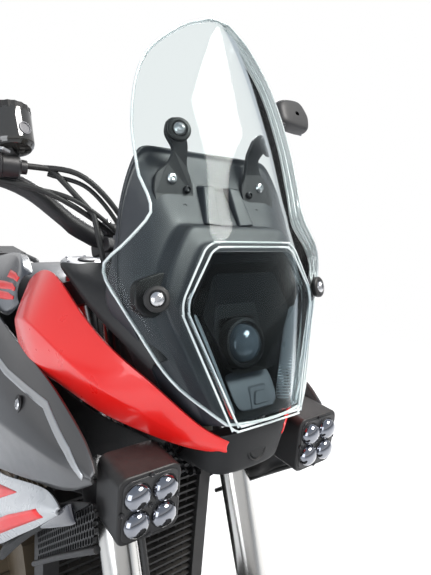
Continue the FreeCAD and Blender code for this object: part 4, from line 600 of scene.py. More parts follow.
# A grid of points as a smooth panel; edges along the named rows and columns stay crisp.
def panel(name, rows, material, body, wall=3.5, levels=2, sharp_rows=(), sharp_cols=(), mirror=False,
          crease=0.9, rim=None, offset=-1.0, closed=False):
    n = len(rows[0])
    verts = [p for row in rows for p in row]
    faces = []
    for r in range(len(rows) - 1):
        for c in range(n - 1 + closed):
            faces.append((r * n + c, r * n + (c + 1) % n, (r + 1) * n + (c + 1) % n, (r + 1) * n + c))
    ob = piece(name, verts, faces, material, body, mirror=mirror)
    layer = ob.data.attributes.new("crease_edge", "FLOAT", "EDGE")
    for e in ob.data.edges:
        a, b = e.vertices
        if (a // n == b // n and a // n in sharp_rows) or (a % n == b % n and a % n in sharp_cols):
            layer.data[e.index].value = crease
    if wall:
        solid(ob, wall, offset, rim)
    subsurf(ob, levels)
    return ob


for side_sign in (-1, 1):
    tag = "left" if side_sign > 0 else "right"
    guide = []
    for up_at, out_at, in_at in ((24, 75, 62), (-4, 64, 52), (-32, 54, 43), (-58, 45, 35), (-76, 38, 29)):
        guide.append([lamp_at(side_sign * out_at, up_at, 9),
                      lamp_at(side_sign * (out_at * 0.62 + in_at * 0.38), up_at, 11),
                      lamp_at(side_sign * in_at, up_at, 24)])
    panel("light_guide_" + tag, guide, "guide_white", "chassis", wall=2,
                  levels=3)
    verts, faces = [], []
    for k in range(34):
        up_at = 22 - 96 * k / 33
        t = (24 - up_at) / 100
        out_at = 75 - 38.5 * t ** 0.95
        in_at = 63 - 34 * t
        a = len(verts)
        for u in (up_at, up_at - 1.3):
            verts += [lamp_at(side_sign * (out_at - 1), u, 8.2), lamp_at(side_sign * in_at, u, 22.8)]
        faces.append((a, a + 1, a + 3, a + 2))
    piece("light_ribs_" + tag, verts, faces, "reflector", "chassis", smooth=False)
projector_axis = Vector(lamp_at(0, 0, 0)) - Vector(lamp_at(0, 0, 10))


def axis_at(point, direction, roll=0.0):
    q = Vector(direction).normalized().to_track_quat("Z", "Y").to_matrix().to_4x4()
    return Matrix.Translation(Vector(point)) @ q @ Matrix.Rotation(roll, 4, "Z")


proj = axis_at(lamp_at(2, -12, 40), projector_axis)


def outward(ob, weld=1e-6):
    """Turns all faces outward, after joining points that lie closer than weld."""
    bm = bmesh.new()
    bm.from_mesh(ob.data)
    if weld:
        bmesh.ops.remove_doubles(bm, verts=bm.verts, dist=weld)
    bmesh.ops.recalc_face_normals(bm, faces=bm.faces)
    bm.to_mesh(ob.data)
    bm.free()


def lathe(name, profile, material, body, matrix, steps=40, ring=False):
    verts, faces = [], []
    n = len(profile)
    for k in range(steps):
        a = 2 * math.pi * k / steps
        for r, z in profile:
            verts.append(matrix @ Vector((r * math.cos(a), r * math.sin(a), z)))
    for k in range(steps):
        for i in range(n - 1):
            faces.append((k * n + i, ((k + 1) % steps) * n + i, ((k + 1) % steps) * n + i + 1, k * n + i + 1))
    if ring:
        faces += [(k * n + n - 1, ((k + 1) % steps) * n + n - 1, ((k + 1) % steps) * n, k * n)
                  for k in range(steps)]
    elif profile[0][0] > 1e-6:
        faces.append(tuple(k * n for k in reversed(range(steps))))
    if not ring and profile[-1][0] > 1e-6:
        faces.append(tuple(k * n + n - 1 for k in range(steps)))
    ob = piece(name, verts, faces, material, body)
    outward(ob)
    ob.data.set_sharp_from_angle(angle=math.radians(32))
    return ob


lathe("projector_ring", [(27, 0), (27, 10), (25.5, 13), (23, 13.5), (21.5, 11), (21.5, 4)], "lamp_black",
      "chassis", proj, 48)
surface("projector_glass", (0.10, 0.12, 0.14), 0.04, metal=0.2, Coat_Weight=1.0, spread=0.01,
        slot="lens_clear")
lathe("projector_lens", [(21.5, 4), (20.5, 11), (17, 16.5), (11, 20), (5, 21.8), (0.001, 22.3)],
      "projector_glass", "chassis", proj, 48)
lamp_loft("lamp_shroud", [(16, ((40, 60), (58, 20), (26, -40))), (36, ((27, 30), (33, -4), (20, -38))),
                                   (37, ((24, 16), (26, -10), (18, -36)))], "lamp_black", cap=False)
surface("black_plastic", (0.010, 0.0105, 0.0115), 0.60, grain=0.45, grain_size=1300, dust=0.10,
        Specular_IOR_Level=0.3)
surface("clip_grey", (0.16, 0.16, 0.17), 0.5, grain=0.2, slot="black_plastic")
panel("lamp_chin", [[lamp_at(a, -40, 33) for a in (-30, -14, 0, 14, 30)],
                           [lamp_at(a, -52, 25) for a in (-30, -14, 0, 14, 30)],
                           [lamp_at(a, -78, 16) for a in (-28, -13, 0, 13, 28)]], "clip_grey", "chassis",
      wall=2)
for grow, depth in ((0, 22.5), (-5, 20.5)):
    trap = round_corners([(5 - 12 - grow, -55 + grow), (5 + 12 + grow, -55 + grow),
                          (5 + 17 + grow, -78 - grow), (5 - 17 - grow, -78 - grow)], 2.5, 3)
    n_t = len(trap)
    inner = [(5 + (a - 5) * 0.86, -66 + (b + 66) * 0.86) for a, b in trap]
    piece("emboss_%d" % abs(grow), [lamp_at(a, b, depth + (b + 55) * 0.28) for a, b in trap]
          + [lamp_at(a, b, depth - 2.5 + (b + 55) * 0.28) for a, b in inner],
          [(i, (i + 1) % n_t, n_t + (i + 1) % n_t, n_t + i) for i in range(n_t)]
          + [tuple(range(n_t, 2 * n_t))], "clip_grey", "chassis", smooth=False)


# Edges of the screen: its rim and the chamfer of the opening are drawn as thin tubes in a pale colour, a
# painted highlight for the bright lines where they catch the light, a double one round the headlight.
def screen_x(y, z):
    x_mid, radius, _ = screen_arc(min(SCREEN_TOP, max(SCREEN_LOW, z)))
    return x_mid - radius + math.sqrt(max(radius * radius - y * y, 0))


def on_screen(left, up, ahead_by=0.0):
    depth = 0.0
    for k in range(8):
        x, y, z = lamp_at(left, up, depth)
        depth += (x - screen_x(y, z)) * math.cos(TILT)
    x, y, z = lamp_at(left, up, depth)
    return (x + ahead_by, y, z)


rim_line = [row[0] for row in screen_points[::3]] + [screen_points[-1][c] for c in range(0, columns + 1, 6)]
rim_line += [row[-1] for row in reversed(screen_points[::3])]
rim_line += [screen_points[0][c] for c in range(columns, -1, -6)]


# A cord or tube through points, its line rounded at each of them.
def pipe(name, points, radius, material, body, mirror=False, sides=12, steps=6):
    path = [Vector((p[0], -p[1] if mirror else p[1], p[2])) for p in points]
    line = []
    for i in range(len(path) - 1):
        a, b = path[i], path[i + 1]
        before = path[i - 1] if i else a - (b - a)
        after = path[i + 2] if i < len(path) - 2 else b + (b - a)
        count = 1 if len(path) == 2 else steps
        for k in range(count):
            t = k / count
            line.append(0.5 * (2 * a + (b - before) * t + (2 * before - 5 * a + 4 * b - after) * t * t
                               + (3 * a - before - 3 * b + after) * t ** 3))
    line.append(path[-1])
    way = (line[1] - line[0]).normalized()
    side = way.orthogonal().normalized()
    verts, faces = [], []
    for k, p in enumerate(line):
        ahead_of = (line[min(k + 1, len(line) - 1)] - line[max(k - 1, 0)]).normalized()
        side = (side - ahead_of * side.dot(ahead_of)).normalized()
        other = ahead_of.cross(side)
        r = radius[min(k // max(steps, 1), len(radius) - 1)] if isinstance(radius, (list, tuple)) else radius
        for c in range(sides):
            angle = 2 * math.pi * c / sides
            verts.append(p + side * (r * math.cos(angle)) + other * (r * math.sin(angle)))
    for k in range(len(line) - 1):
        for c in range(sides):
            faces.append((k * sides + c, k * sides + (c + 1) % sides, (k + 1) * sides + (c + 1) % sides,
                          (k + 1) * sides + c))
    faces.append(tuple(reversed(range(sides))))
    faces.append(tuple(range((len(line) - 1) * sides, len(line) * sides)))
    ob = piece(name, verts, faces, material, body)
    ob.data.set_sharp_from_angle(angle=math.radians(50))
    return ob


# Painted highlight: a pale tube along the sheet's rim.
pipe("screen_rim", [(x - 1.6, y * 0.998, z) for x, y, z in rim_line], 1.5, "edge_bright", "chassis", sides=8,
     steps=2)
# Painted highlight: two pale tubes round the opening.
for number, grow in enumerate((0.4, 5.2)):
    loop = [on_screen(a, b, 0.5 - 0.6 * number) for a, b in hexagon(grow)]
    pipe("opening_edge_%d" % number, loop + [loop[0], loop[1]], 1.1, "edge_bright", "chassis", sides=8,
         steps=2)


# Cowl: one moulding in dark graphite plastic with a fine grain, stepped in rings from the lens out to the
# plate behind the screen. Ribs stiffen it, and brackets bolted to it carry the screen on rubber washers.
# Each ring: how far behind the lens, then its corners as points left and up of the lens centre.
COWL_RINGS = (
    (9, ((48, 81), (64, 55), (79, 30), (59, -27), (39, -81))),
    (9, ((53, 88), (70, 60), (85, 30), (63, -29), (42, -83))),
    (13, ((55, 91), (73, 62), (88, 31), (65, -30), (44, -84))),
    (15, ((62, 105), (84, 72), (98, 34), (71, -32), (47, -86))),
    (18, ((63, 108), (86, 74), (100, 35), (72, -33), (48, -87))),
    (34, ((65, 112), (90, 78), (104, 37), (76, -34), (52, -88))),
    (38, ((69, 124), (97, 86), (109, 39), (80, -35), (57, -88))),
    (48, ((76, 150), (105, 104), (115, 43), (84, -36), (64, -88))),
    (56, ((80, 176), (110, 124), (119, 47), (86, -37), (70, -88))),
    (60, ((83, 192), (112, 138), (122, 50), (87, -38), (74, -88))),
    (57, ((85, 198), (113.5, 142), (124, 51), (88, -38), (76, -89))),
    (61, ((85.5, 199), (114, 143), (124.5, 51), (88.5, -38), (76.5, -89))),
    (84, ((84, 120), (112, 90), (124, 48), (88, -38), (78, -86))),
    (114, ((84, 62), (111, 56), (122, 40), (86, -36), (80, -78))),
)


surface("cowl_graphite", (0.020, 0.023, 0.029), 0.42, grain=0.28, grain_size=1500, dust=0.10)
def cowl():
    verts, faces, count = [], [], 0
    for back, corners in COWL_RINGS:
        half = [(0, corners[0][1]), (corners[0][0] * 0.55, corners[0][1])] + list(corners) \
            + [(corners[-1][0] * 0.5, corners[-1][1]), (0, corners[-1][1])]
        line = half + [(-a, b) for a, b in reversed(half[1:-1])]
        count = len(line)
        verts += [lamp_at(a, b, back) for a, b in line]
    for r in range(len(COWL_RINGS) - 1):
        for c in range(count):
            faces.append((r * count + (c + 1) % count, r * count + c, (r + 1) * count + c,
                          (r + 1) * count + (c + 1) % count))
    last = (len(COWL_RINGS) - 1) * count
    faces.append(tuple(reversed(range(last, last + count))))
    ob = piece("cowl_shell", verts, faces, "cowl_graphite", "chassis")
    layer = ob.data.attributes.new("crease_edge", "FLOAT", "EDGE")
    sharp_rings = {1: 0.6, 4: 0.75, 5: 0.5, 9: 0.4, 11: 0.6}
    sharp_cols = (2, 4, 6, count - 2, count - 4, count - 6)
    for e in ob.data.edges:
        a, b = e.vertices
        if a // count == b // count:
            layer.data[e.index].value = sharp_rings.get(a // count, 0.0)
        elif a % count == b % count and a % count in sharp_cols:
            layer.data[e.index].value = 0.35
    subsurf(ob, 3)
    return ob


def bracket_back(up):
    """How far behind the lens plane a screen bracket lies at a height: it leans forward above its bolts."""
    return 46 - max(0, up - 168) * 0.30


shell = cowl()
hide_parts("inner_cowl")
surface("bar_black", (0.022, 0.022, 0.024), 0.40, metal=0.2, grain=0.15, grain_size=1500, dust=0.08,
        wear=(0.09, 0.09, 0.09))
surface("alloy", (0.42, 0.42, 0.43), 0.36, metal=0.9, grain=0.25, grain_size=900, dust=0.2)
surface("bolt_zinc", (0.55, 0.55, 0.56), 0.25, metal=1.0, grain=0.1, slot="alloy")
surface("bolt_black", (0.03, 0.03, 0.032), 0.35, metal=0.7, grain=0.1, slot="bar_black")
surface("hose_rubber", (0.010, 0.010, 0.010), 0.55, grain=0.3, grain_size=1800)
surface("washer_rubber", (0.008, 0.008, 0.008), 0.5, grain=0.3, grain_size=900, slot="hose_rubber")


def weighted(ob, keep_sharp=True):
    w = ob.modifiers.new("normals", "WEIGHTED_NORMAL")
    w.keep_sharp = keep_sharp
    return w


for side_sign in (-1, 1):
    tag = "left" if side_sign > 0 else "right"
    rib_line = [(side_sign * 8, 159), (side_sign * 27, 158), (side_sign * 35, 112), (side_sign * 10, 110)]
    foot = [lamp_at(a, b, 52) for a, b in rib_line]
    top = [lamp_at(a + side_sign * (2 if i in (0, 3) else -3), b - (3 if b > 150 else -1),
                   40 if b > 150 else 30)
           for i, (a, b) in enumerate(rib_line)]
    rib = piece("cowl_rib_" + tag, foot + top,
                [(0, 1, 5, 4), (1, 2, 6, 5), (2, 3, 7, 6), (3, 0, 4, 7), (4, 5, 6, 7), (3, 2, 1, 0)],
                "cowl_graphite", "chassis", smooth=False)
    bevel(rib, 2.0, 3)
    rib.data.shade_smooth()
    weighted(rib)
    wedge = [(side_sign * 33, 162), (side_sign * 40, 116), (side_sign * 62, 121)]
    wedge_rib = piece("cowl_wedge_" + tag,
                      [lamp_at(a, b, 54) for a, b in wedge]
                      + [lamp_at(a * 0.97, b - 2, 42 if b < 150 else 50) for a, b in wedge],
                      [(0, 1, 4, 3), (1, 2, 5, 4), (2, 0, 3, 5), (3, 4, 5), (2, 1, 0)], "cowl_graphite",
                      "chassis", smooth=False)
    bevel(wedge_rib, 1.5, 3)
    bracket = round_corners([(side_sign * 48, 214), (side_sign * 57, 220), (side_sign * 66, 216),
                             (side_sign * 68, 204),
                             (side_sign * 56, 190), (side_sign * 62, 177), (side_sign * 76, 166),
                             (side_sign * 80, 150),
                             (side_sign * 78, 128), (side_sign * 64, 118), (side_sign * 44, 122),
                             (side_sign * 34, 142),
                             (side_sign * 33, 158), (side_sign * 40, 176), (side_sign * 40, 196)], 5, 3)
    n_b = len(bracket)
    plate = piece("screen_bracket_" + tag,
                  [lamp_at(a, b, bracket_back(b) + 5) for a, b in bracket]
                  + [lamp_at(a, b, bracket_back(b)) for a, b in bracket],
                  [(i, (i + 1) % n_b, n_b + (i + 1) % n_b, n_b + i) for i in range(n_b)]
                  + [tuple(range(n_b, 2 * n_b)), tuple(reversed(range(n_b)))], "bar_black", "chassis",
                  smooth=False)
    outward(plate, weld=0)
    bevel(plate, 0.8, 2)
    tab_line = round_corners([(side_sign * 88, 66), (side_sign * 118, 58), (side_sign * 122, 34),
                              (side_sign * 106, 22), (side_sign * 92, 30), (side_sign * 86, 50)], 7, 3)
    n_b = len(tab_line)
    tab = piece("screen_tab_" + tag,
                [lamp_at(a, b, 34 + abs(abs(a) - 88) * 0.15) for a, b in tab_line]
                + [lamp_at(a, b, 22 + abs(abs(a) - 88) * 0.15) for a, b in tab_line],
                [(i, (i + 1) % n_b, n_b + (i + 1) % n_b, n_b + i) for i in range(n_b)]
                + [tuple(range(n_b, 2 * n_b)), tuple(reversed(range(n_b)))], "lamp_black", "chassis",
                smooth=False)
    outward(tab, weld=0)
    bevel(tab, 1.5, 3)
    for label, spot in (("upper", (side_sign * 59, 203, 24)), ("lower", (side_sign * 106, 40, 14))):
        side_lean = side_sign * 0.30
        way = Vector((1, side_lean, 0.30))
        where = axis_at(lamp_at(*spot), way)
        place = "%s_%s" % (label, tag)
        lathe("screw_washer_" + place, [(0.001, -3), (11, -3), (11.8, -1), (11.8, 2.2), (10.6, 3.4),
                                        (8.4, 3.8), (7.4, 3.0),
                                      (7.4, 1.0), (0.001, 1.0)], "washer_rubber", "chassis", where, 40)
        lathe("screw_head_" + place, [(7.0, 1.2), (7.0, 3.0), (6.2, 4.6), (4.6, 5.9), (2.8, 6.5), (2.6, 4.6),
                                      (0.001, 4.4)],
              "bolt_zinc", "chassis", where, 36)
    for number, (a, b) in enumerate(((59, 161), (42, 151), (48, 132))):
        where = axis_at(lamp_at(side_sign * a, b, 45), Vector((1, 0, 0.30)))
        big = number == 0
        lathe("bracket_bolt_%d_%s" % (number, tag),
              [(5.6 if big else 4.2, 0), (5.6 if big else 4.2, 1.4), (4.2 if big else 3.2, 3.2), (2.2, 3.6),
               (2.0, 2.2), (0.001, 2.0)], "bolt_zinc" if big else "bolt_black", "chassis", where, 24)

# Nose: a matt black moulding under the lens, with a round cap. Each section stands at one distance from the
# middle and runs from the lens down and back.
nose_rows = []
for out, profile in ((53, ((613, 997), (607, 984), (601, 968), (584, 958), (566, 961))),
                     (50, ((636, 1003), (632, 986), (625, 967), (596, 958), (566, 960))),
                     (44, ((650, 1009), (647, 989), (641, 964), (600, 955), (566, 960))),
                     (30, ((657, 1013), (654, 991), (648, 964), (602, 955), (566, 960))),
                     (0, ((660, 1014), (657, 992), (651, 965), (603, 955), (566, 960)))):
    nose_rows.append([(x, -out, z) for x, z in profile])
nose_rows = nose_rows + [[(x, -y, z) for x, y, z in row] for row in reversed(nose_rows[:-1])]
nose = panel("nose_shell", [list(row) for row in nose_rows], "black_plastic", "chassis", wall=3, levels=3,
             sharp_cols=(2,), crease=0.55, offset=1.0)
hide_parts("nose_cowl")
cap_axis = axis_at((655.5, 0, 985), (1, 0, 0.18))
lathe("nose_cap", [(12.5, -3), (12.5, 0.8), (11.6, 1.6), (10.6, 1.2), (9.9, 0.2), (9.2, 1.2), (8.4, 1.8),
                   (0.001, 2.0)],
      "black_plastic", "chassis", cap_axis, 44)


# Side panels: injection-moulded, lacquered blades in three layers, red, graphite and silver. Each row of a
# table is a section: its top and low edge ahead and up, then how far out top edge, crease and low edge stand.
def section(row, stations, creases, swell=0.0):
    x_top, z_top, x_low, z_low, out_top, out_crease, out_low = row
    points = []
    for s in stations:
        if s <= creases:
            out = out_top + (out_crease - out_top) * (s / creases)
        else:
            out = out_crease + (out_low - out_crease) * ((s - creases) / (1 - creases))
        out += swell * math.sin(math.pi * min(1, s / creases)) if s < creases else \
            swell * math.sin(math.pi * (s - creases) / (1 - creases))
        points.append((x_top + (x_low - x_top) * s, -out, z_top + (z_low - z_top) * s))
    return points


RED_ROWS = (
    (653, 1003, 652, 992, 35, 37, 35), (639, 1014, 625, 988, 60, 66, 62),
            (612, 1060, 579, 1002, 100, 110, 104),
    (573, 1078, 540, 1008, 122, 136, 126), (510, 1105, 490, 1018, 134, 152, 142),
            (455, 1138, 450, 1022, 140, 166, 156),
    (400, 1130, 420, 1018, 140, 166, 158), (345, 1106, 388, 1014, 138, 162, 158))
GREY_ROWS = (
    (610, 980, 607, 971, 151, 153, 151), (590, 997, 573, 944, 151, 162, 157),
             (556, 1008, 545, 930, 153, 172, 163),
    (500, 1022, 470, 900, 155, 184, 171), (410, 1030, 380, 863, 160, 196, 182),
             (300, 1040, 285, 828, 165, 205, 190),
    (120, 1060, 150, 800, 165, 200, 180), (-40, 1000, 0, 800, 140, 165, 150))
SILVER_ROWS = (
    (560, 917, 556, 911, 166, 168, 166), (538, 922, 536, 893, 168, 176, 169),
               (505, 910, 505, 862, 171, 182, 172),
    (430, 874, 420, 790, 175, 190, 176), (335, 831, 328, 705, 182, 197, 180),
               (200, 796, 220, 640, 180, 185, 165))
surface("panel_red", (0.78, 0.010, 0.008), 0.30, mottle=0.02, grain=0.0, grain_size=160, Coat_Weight=0.5,
        Coat_Roughness=0.05, dust=0.02)
surface("panel_graphite", (0.075, 0.075, 0.077), 0.33, metal=0.55, grain=0.08, grain_size=2600,
        Coat_Weight=0.5, Coat_Roughness=0.15, dust=0.06)
surface("panel_silver", (0.50, 0.51, 0.52), 0.28, metal=0.1, grain=0.0, grain_size=160, mottle=0.02,
        Coat_Weight=0.7, Coat_Roughness=0.08, dust=0.08)
for mirror in (False, True):
    tag = "left" if mirror else "right"
    stations = (0, 0.06, 0.34, 0.5, 0.62, 0.92, 1)
    red = panel("red_blade_" + tag, [section(r, stations, 0.5, 1.5) for r in RED_ROWS], "panel_red",
                "chassis",
                wall=3.2, levels=3, sharp_rows=(0, 7), sharp_cols=(0, 1, 3, 5, 6), crease=0.85, mirror=mirror)
    grey = panel("graphite_cover_" + tag, [section(r, stations, 0.5, 2.5) for r in GREY_ROWS],
                 "panel_graphite", "chassis",
                 wall=3.6, levels=3, sharp_rows=(0, 7), sharp_cols=(0, 1, 3, 5, 6), crease=0.85,
                 mirror=mirror)
    silver = panel("silver_shroud_" + tag, [section(r, stations, 0.5, 2) for r in SILVER_ROWS],
                   "panel_silver", "chassis",
                   wall=3.6, levels=3, sharp_rows=(0, 5), sharp_cols=(0, 1, 3, 5, 6), crease=0.85,
                   mirror=mirror)
    if not mirror:
        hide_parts("red_side_panels")
        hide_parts("tank_side_covers")
        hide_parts("lower_shrouds")


# Spot lamps: die-cast housings in black powder coat, rounded and square. Each holds a face plate with four
# domed, mirrored lenses in rings, and five black screws.
surface("display_black", (0.012, 0.012, 0.013), 0.3, grain=0.15, grain_size=1400)
surface("pod_dome", (0.22, 0.23, 0.26), 0.10, metal=1.0, spread=0.03, Coat_Weight=1.0, Coat_Roughness=0.03,
        grain=0.01, slot="lamp_black")


def prism(name, outline, depth, matrix, material, body, edge=1.0, smooth=False, mirror=False):
    n = len(outline)
    verts = [matrix @ Vector((x, y, 0)) for x, y in outline] + [matrix @ Vector((x, y, depth)) for x,
                                                                y in outline]
    faces = [tuple(reversed(range(n))), tuple(range(n, 2 * n))]
    faces += [(i, (i + 1) % n, n + (i + 1) % n, n + i) for i in range(n)]
    ob = piece(name, [tuple(v) for v in verts], faces, material, body, smooth=smooth, mirror=mirror)
    outward(ob, weld=0)
    if edge:
        bevel(ob, edge, 3, 28)
        ob.data.shade_smooth()
        weighted(ob)
    return ob


for side_sign in (-1, 1):
    tag = "left" if side_sign > 0 else "right"
    centre = Vector((0, side_sign * 113, 955))
    outline = round_corners([(-32, -34), (32, -34), (32, 34), (-32, 34)], 11, 6)
    frame_line = Matrix(((0, 0, 1, 594), (1, 0, 0, side_sign * 113), (0, 1, 0, 955), (0, 0, 0, 1)))
    body = prism("pod_body_" + tag, outline, 48, frame_line, "lamp_black", "chassis", edge=2.2)
    inner = round_corners([(-28, -30), (28, -30), (28, 30), (-28, 30)], 9, 5)
    plate_line = Matrix(((0, 0, 1, 641.2), (1, 0, 0, side_sign * 113), (0, 1, 0, 955), (0, 0, 0, 1)))
    prism("pod_face_" + tag, inner, 1.6, plate_line, "display_black", "chassis", edge=0.5)
    for number, (a, b) in enumerate(((-14, 13.8), (14, 13.8), (-14, -13.8), (14, -13.8))):
        where = axis_at((642.6, side_sign * 113 + a, 955 + b), (1, 0, 0))
        lathe("pod_ring_%d_%s" % (number, tag), [(13.7, -2), (13.7, 0.4), (13.2, 0.8), (12.7, 0.4),
                                                 (12.6, -2)], "lamp_black",
              "chassis", where, 40)
        lathe("pod_lens_%d_%s" % (number, tag), [(12.9, -0.5), (12.5, 2.6), (10.9, 5.6), (7.9, 7.8),
                                                 (4.0, 9.0), (0.001, 9.4)],
              "pod_dome", "chassis", where, 40)
    for number, (a, b) in enumerate(((0, 29), (0, -29), (-29, 0), (29, 0), (0, 0))):
        where = axis_at((642.4, side_sign * 113 + a * 0.98, 955 + b * 1.05), (1, 0, 0))
        lathe("pod_screw_%d_%s" % (number, tag), [(2.6, 0), (2.6, 0.9), (1.9, 1.3), (1.2, 0.6), (0.001, 0.5)],
              "bolt_black", "chassis", where, 16)
    if side_sign < 0:
        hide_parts("spot_lamps")

# Inner trim: matt black, coarsely grained sheet that closes the gap between the red blade's top edge and the
# cowl. Each row: two points with how far out they stand, and the inner edge.
TRIM_ROWS = (
    ((606, 1072), 90, (618, 1080), 84, (612, 1078), 66), ((573, 1094), 106, (592, 1108), 92, (580, 1120), 72),
    ((512, 1116), 120, (550, 1128), 100, (540, 1140), 76),
             ((470, 1138), 124, (505, 1136), 104, (490, 1146), 78),
    ((430, 1146), 124, (450, 1146), 106, (440, 1148), 84))
surface("trim_black", (0.011, 0.011, 0.012), 0.6, grain=0.6, grain_size=800, dust=0.08, slot="black_plastic")
for mirror in (False, True):
    tag = "left" if mirror else "right"
    trim_rows = []
    for (x1, z1), out_1, (x2, z2), out_2, (x3, z3), out_3 in TRIM_ROWS:
        trim_rows.append([(x1, -out_1 - 6, z1 - 10), (x1, -out_1 - 8, z1),
                          ((x1 + x2) / 2, -(out_1 + out_2) / 2 - 9, (z1 + z2) / 2),
                          (x2, -out_2 - 4, z2), (x3, -out_3, z3)])
    panel("inner_trim_" + tag, trim_rows, "trim_black", "chassis", wall=2.4, levels=2, sharp_cols=(1, 3),
          crease=0.5, mirror=mirror)

# Ducts below the nose: a black moulded throat on each side leads air to the radiator, behind a honeycomb
# grille. Each row of the throat: ahead, how far out, its top and its low edge.
THROAT = ((560, 46, 958, 900), (520, 120, 990, 880), (440, 138, 1010, 860), (380, 140, 1010, 850))
for mirror in (False, True):
    tag = "left" if mirror else "right"
    rows = []
    for x, out, top, low_at in THROAT:
        rows.append([(x, -out, top), (x - 6, -out - 3, (top + low_at) / 2), (x, -out, low_at)])
    panel("duct_wall_" + tag, rows, "trim_black", "chassis", wall=2.4, levels=2, mirror=mirror)


def honeycomb(name, corner, across, upward, cells, cell, wall, material, deep):
    """Hexagon cells between two edge vectors from a corner."""
    verts, faces = [], []
    corner, across, upward = Vector(corner), Vector(across), Vector(upward)
    way = across.cross(upward).normalized() * deep
    side, rise = across.normalized(), upward.normalized()
    for row in range(cells[1]):
        for col in range(cells[0]):
            centre = corner + side * (cell * (col + 0.5 + 0.5 * (row % 2))) + rise * (cell * 0.866 * (row
                                                                                                      + 0.6))
            base = len(verts)
            for radius, depth in ((cell * 0.577, 0), (cell * 0.577 - wall, 0), (cell * 0.577 - wall, 1)):
                for k in range(6):
                    a = math.radians(30 + 60 * k)
                    verts.append(centre + side * (radius * math.cos(a))
                                 + rise * (radius * math.sin(a)) - way * depth)
            for ring in (0, 1):
                for k in range(6):
                    m = (k + 1) % 6
                    faces.append((base + ring * 6 + k, base + ring * 6 + m, base + ring * 6 + 6 + m,
                                  base + ring * 6 + 6 + k))
    return piece(name, verts, faces, material, "chassis", smooth=False)


for sign in (-1, 1):
    tag = "left" if sign > 0 else "right"
    honeycomb("nose_grille_" + tag, (606, sign * 30, 938), (-40 * 0.5, sign * 46, 0), (-4, 0, 46), (6, 5),
              8.4, 1.1, "bar_black", 5)

# Chin: a matt black wedge under the nose, with a bracket of zinc-plated sheet steel bolted on beside it by
# two screws.
chin_rows = []
for x, half, z in ((600, 26, 956), (594, 24, 942), (578, 20, 930), (556, 16, 924)):
    chin_rows.append([(x - 10, -half, z), (x, -half * 0.5, z - 2), (x + 3, 0, z - 3), (x, half * 0.5, z - 2),
                      (x - 10, half, z)])
panel("nose_chin", chin_rows, "black_plastic", "chassis", wall=2.4, levels=2, sharp_cols=(1, 3), crease=0.4)
surface("plate_silver", (0.55, 0.56, 0.57), 0.34, metal=0.9, grain=0.2, dust=0.3)
prism("lamp_bracket", round_corners([(-13, -9), (13, -9), (15, 6), (6, 10), (-12, 8)], 2.5, 3), 4,
      axis_at((606, 34, 944), (1, 0.35, 0.1)), "plate_silver", "chassis", edge=0.8)
for k, (a, b) in enumerate(((-8, 1), (6, 2))):
    lathe("lamp_bracket_bolt_%d" % k, [(3.6, 0), (3.6, 2.4), (2.8, 3.2), (1.8, 3.2), (1.6, 1.6),
                                       (0.001, 1.5)], "bolt_zinc",
          "chassis", axis_at((611, 34 + a, 944 + b), (1, 0.35, 0.1)), 20)

# Tank: a shell pressed in steel and welded, with rounded shoulders, in dark grey lacquer. An alloy filler cap
# with six screws stands behind the crest. Each row: ahead, half width, low and high edge, shoulder and crown.
TANK_ROWS = ((314, 74, 958, 1058, 30, 0), (296, 104, 936, 1074, 38, 3), (250, 141, 908, 1096, 46, 6),
             (170, 147, 892, 1098, 50, 8), (90, 147, 874, 1091, 50, 7), (20, 126, 870, 1040, 44, 4),
             (-50, 103, 869, 984, 36, 2), (-94, 83, 869, 938, 24, 0))
tank_rows = []
for x, half, low_at, high_at, shoulder, crown in TANK_ROWS:
    right_side = [(half - 6, low_at), (half, low_at + 10), (half, (low_at + high_at - shoulder) / 2),
                  (half, high_at - shoulder), (half - shoulder * 0.32, high_at - shoulder * 0.30),
                  (half - shoulder, high_at), (half * 0.35, high_at + crown * 0.1),
                  (0, high_at + crown * 0.12)]
    ring = [(x, -y, z) for y, z in right_side] + [(x, y, z) for y, z in reversed(right_side[:-1])]
    tank_rows.append(ring)
surface("tank_grey", (0.085, 0.088, 0.095), 0.36, metal=0.45, grain=0.06, grain_size=2600, Coat_Weight=0.35,
        Coat_Roughness=0.25, dust=0.08)
tank = panel("tank_shell", tank_rows, "tank_grey", "chassis", wall=0, levels=3, sharp_cols=(1, 13),
             crease=0.6, closed=True)


def close_ends(ob, rows):
    """Caps a closed panel with a face over its first and its last row."""
    count = len(rows[0])
    bm = bmesh.new()
    bm.from_mesh(ob.data)
    bm.verts.ensure_lookup_table()
    for row in (0, len(rows) - 1):
        bm.faces.new([bm.verts[row * count + c] for c in range(count)])
    bmesh.ops.recalc_face_normals(bm, faces=bm.faces)
    bm.to_mesh(ob.data)
    bm.free()


close_ends(tank, tank_rows)
tank.data.shade_smooth()
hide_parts("fuel_tank")
filler = axis_at((176, 0, 1097), (0.05, 0, 1))
lathe("filler_cap", [(44, 0), (44, 3), (41, 6), (33, 7.5), (31, 6), (20, 6.5), (0.001, 7)], "alloy",
      "chassis", filler, 56)
lathe("filler_flap", [(15, 6.2), (15, 9), (13, 10), (0.001, 10.2)], "bolt_black", "chassis", filler, 32)
for k in range(6):
    a = math.radians(60 * k + 15)
    spot = filler @ Vector((37 * math.cos(a), 37 * math.sin(a), 6.0))
    lathe("filler_screw_%d" % k, [(3, 0), (3, 2), (2.2, 2.8), (1.4, 2.8), (1.2, 1.2), (0.001, 1.2)],
          "bolt_zinc", "chassis", axis_at(spot, (0.05, 0, 1)), 16)

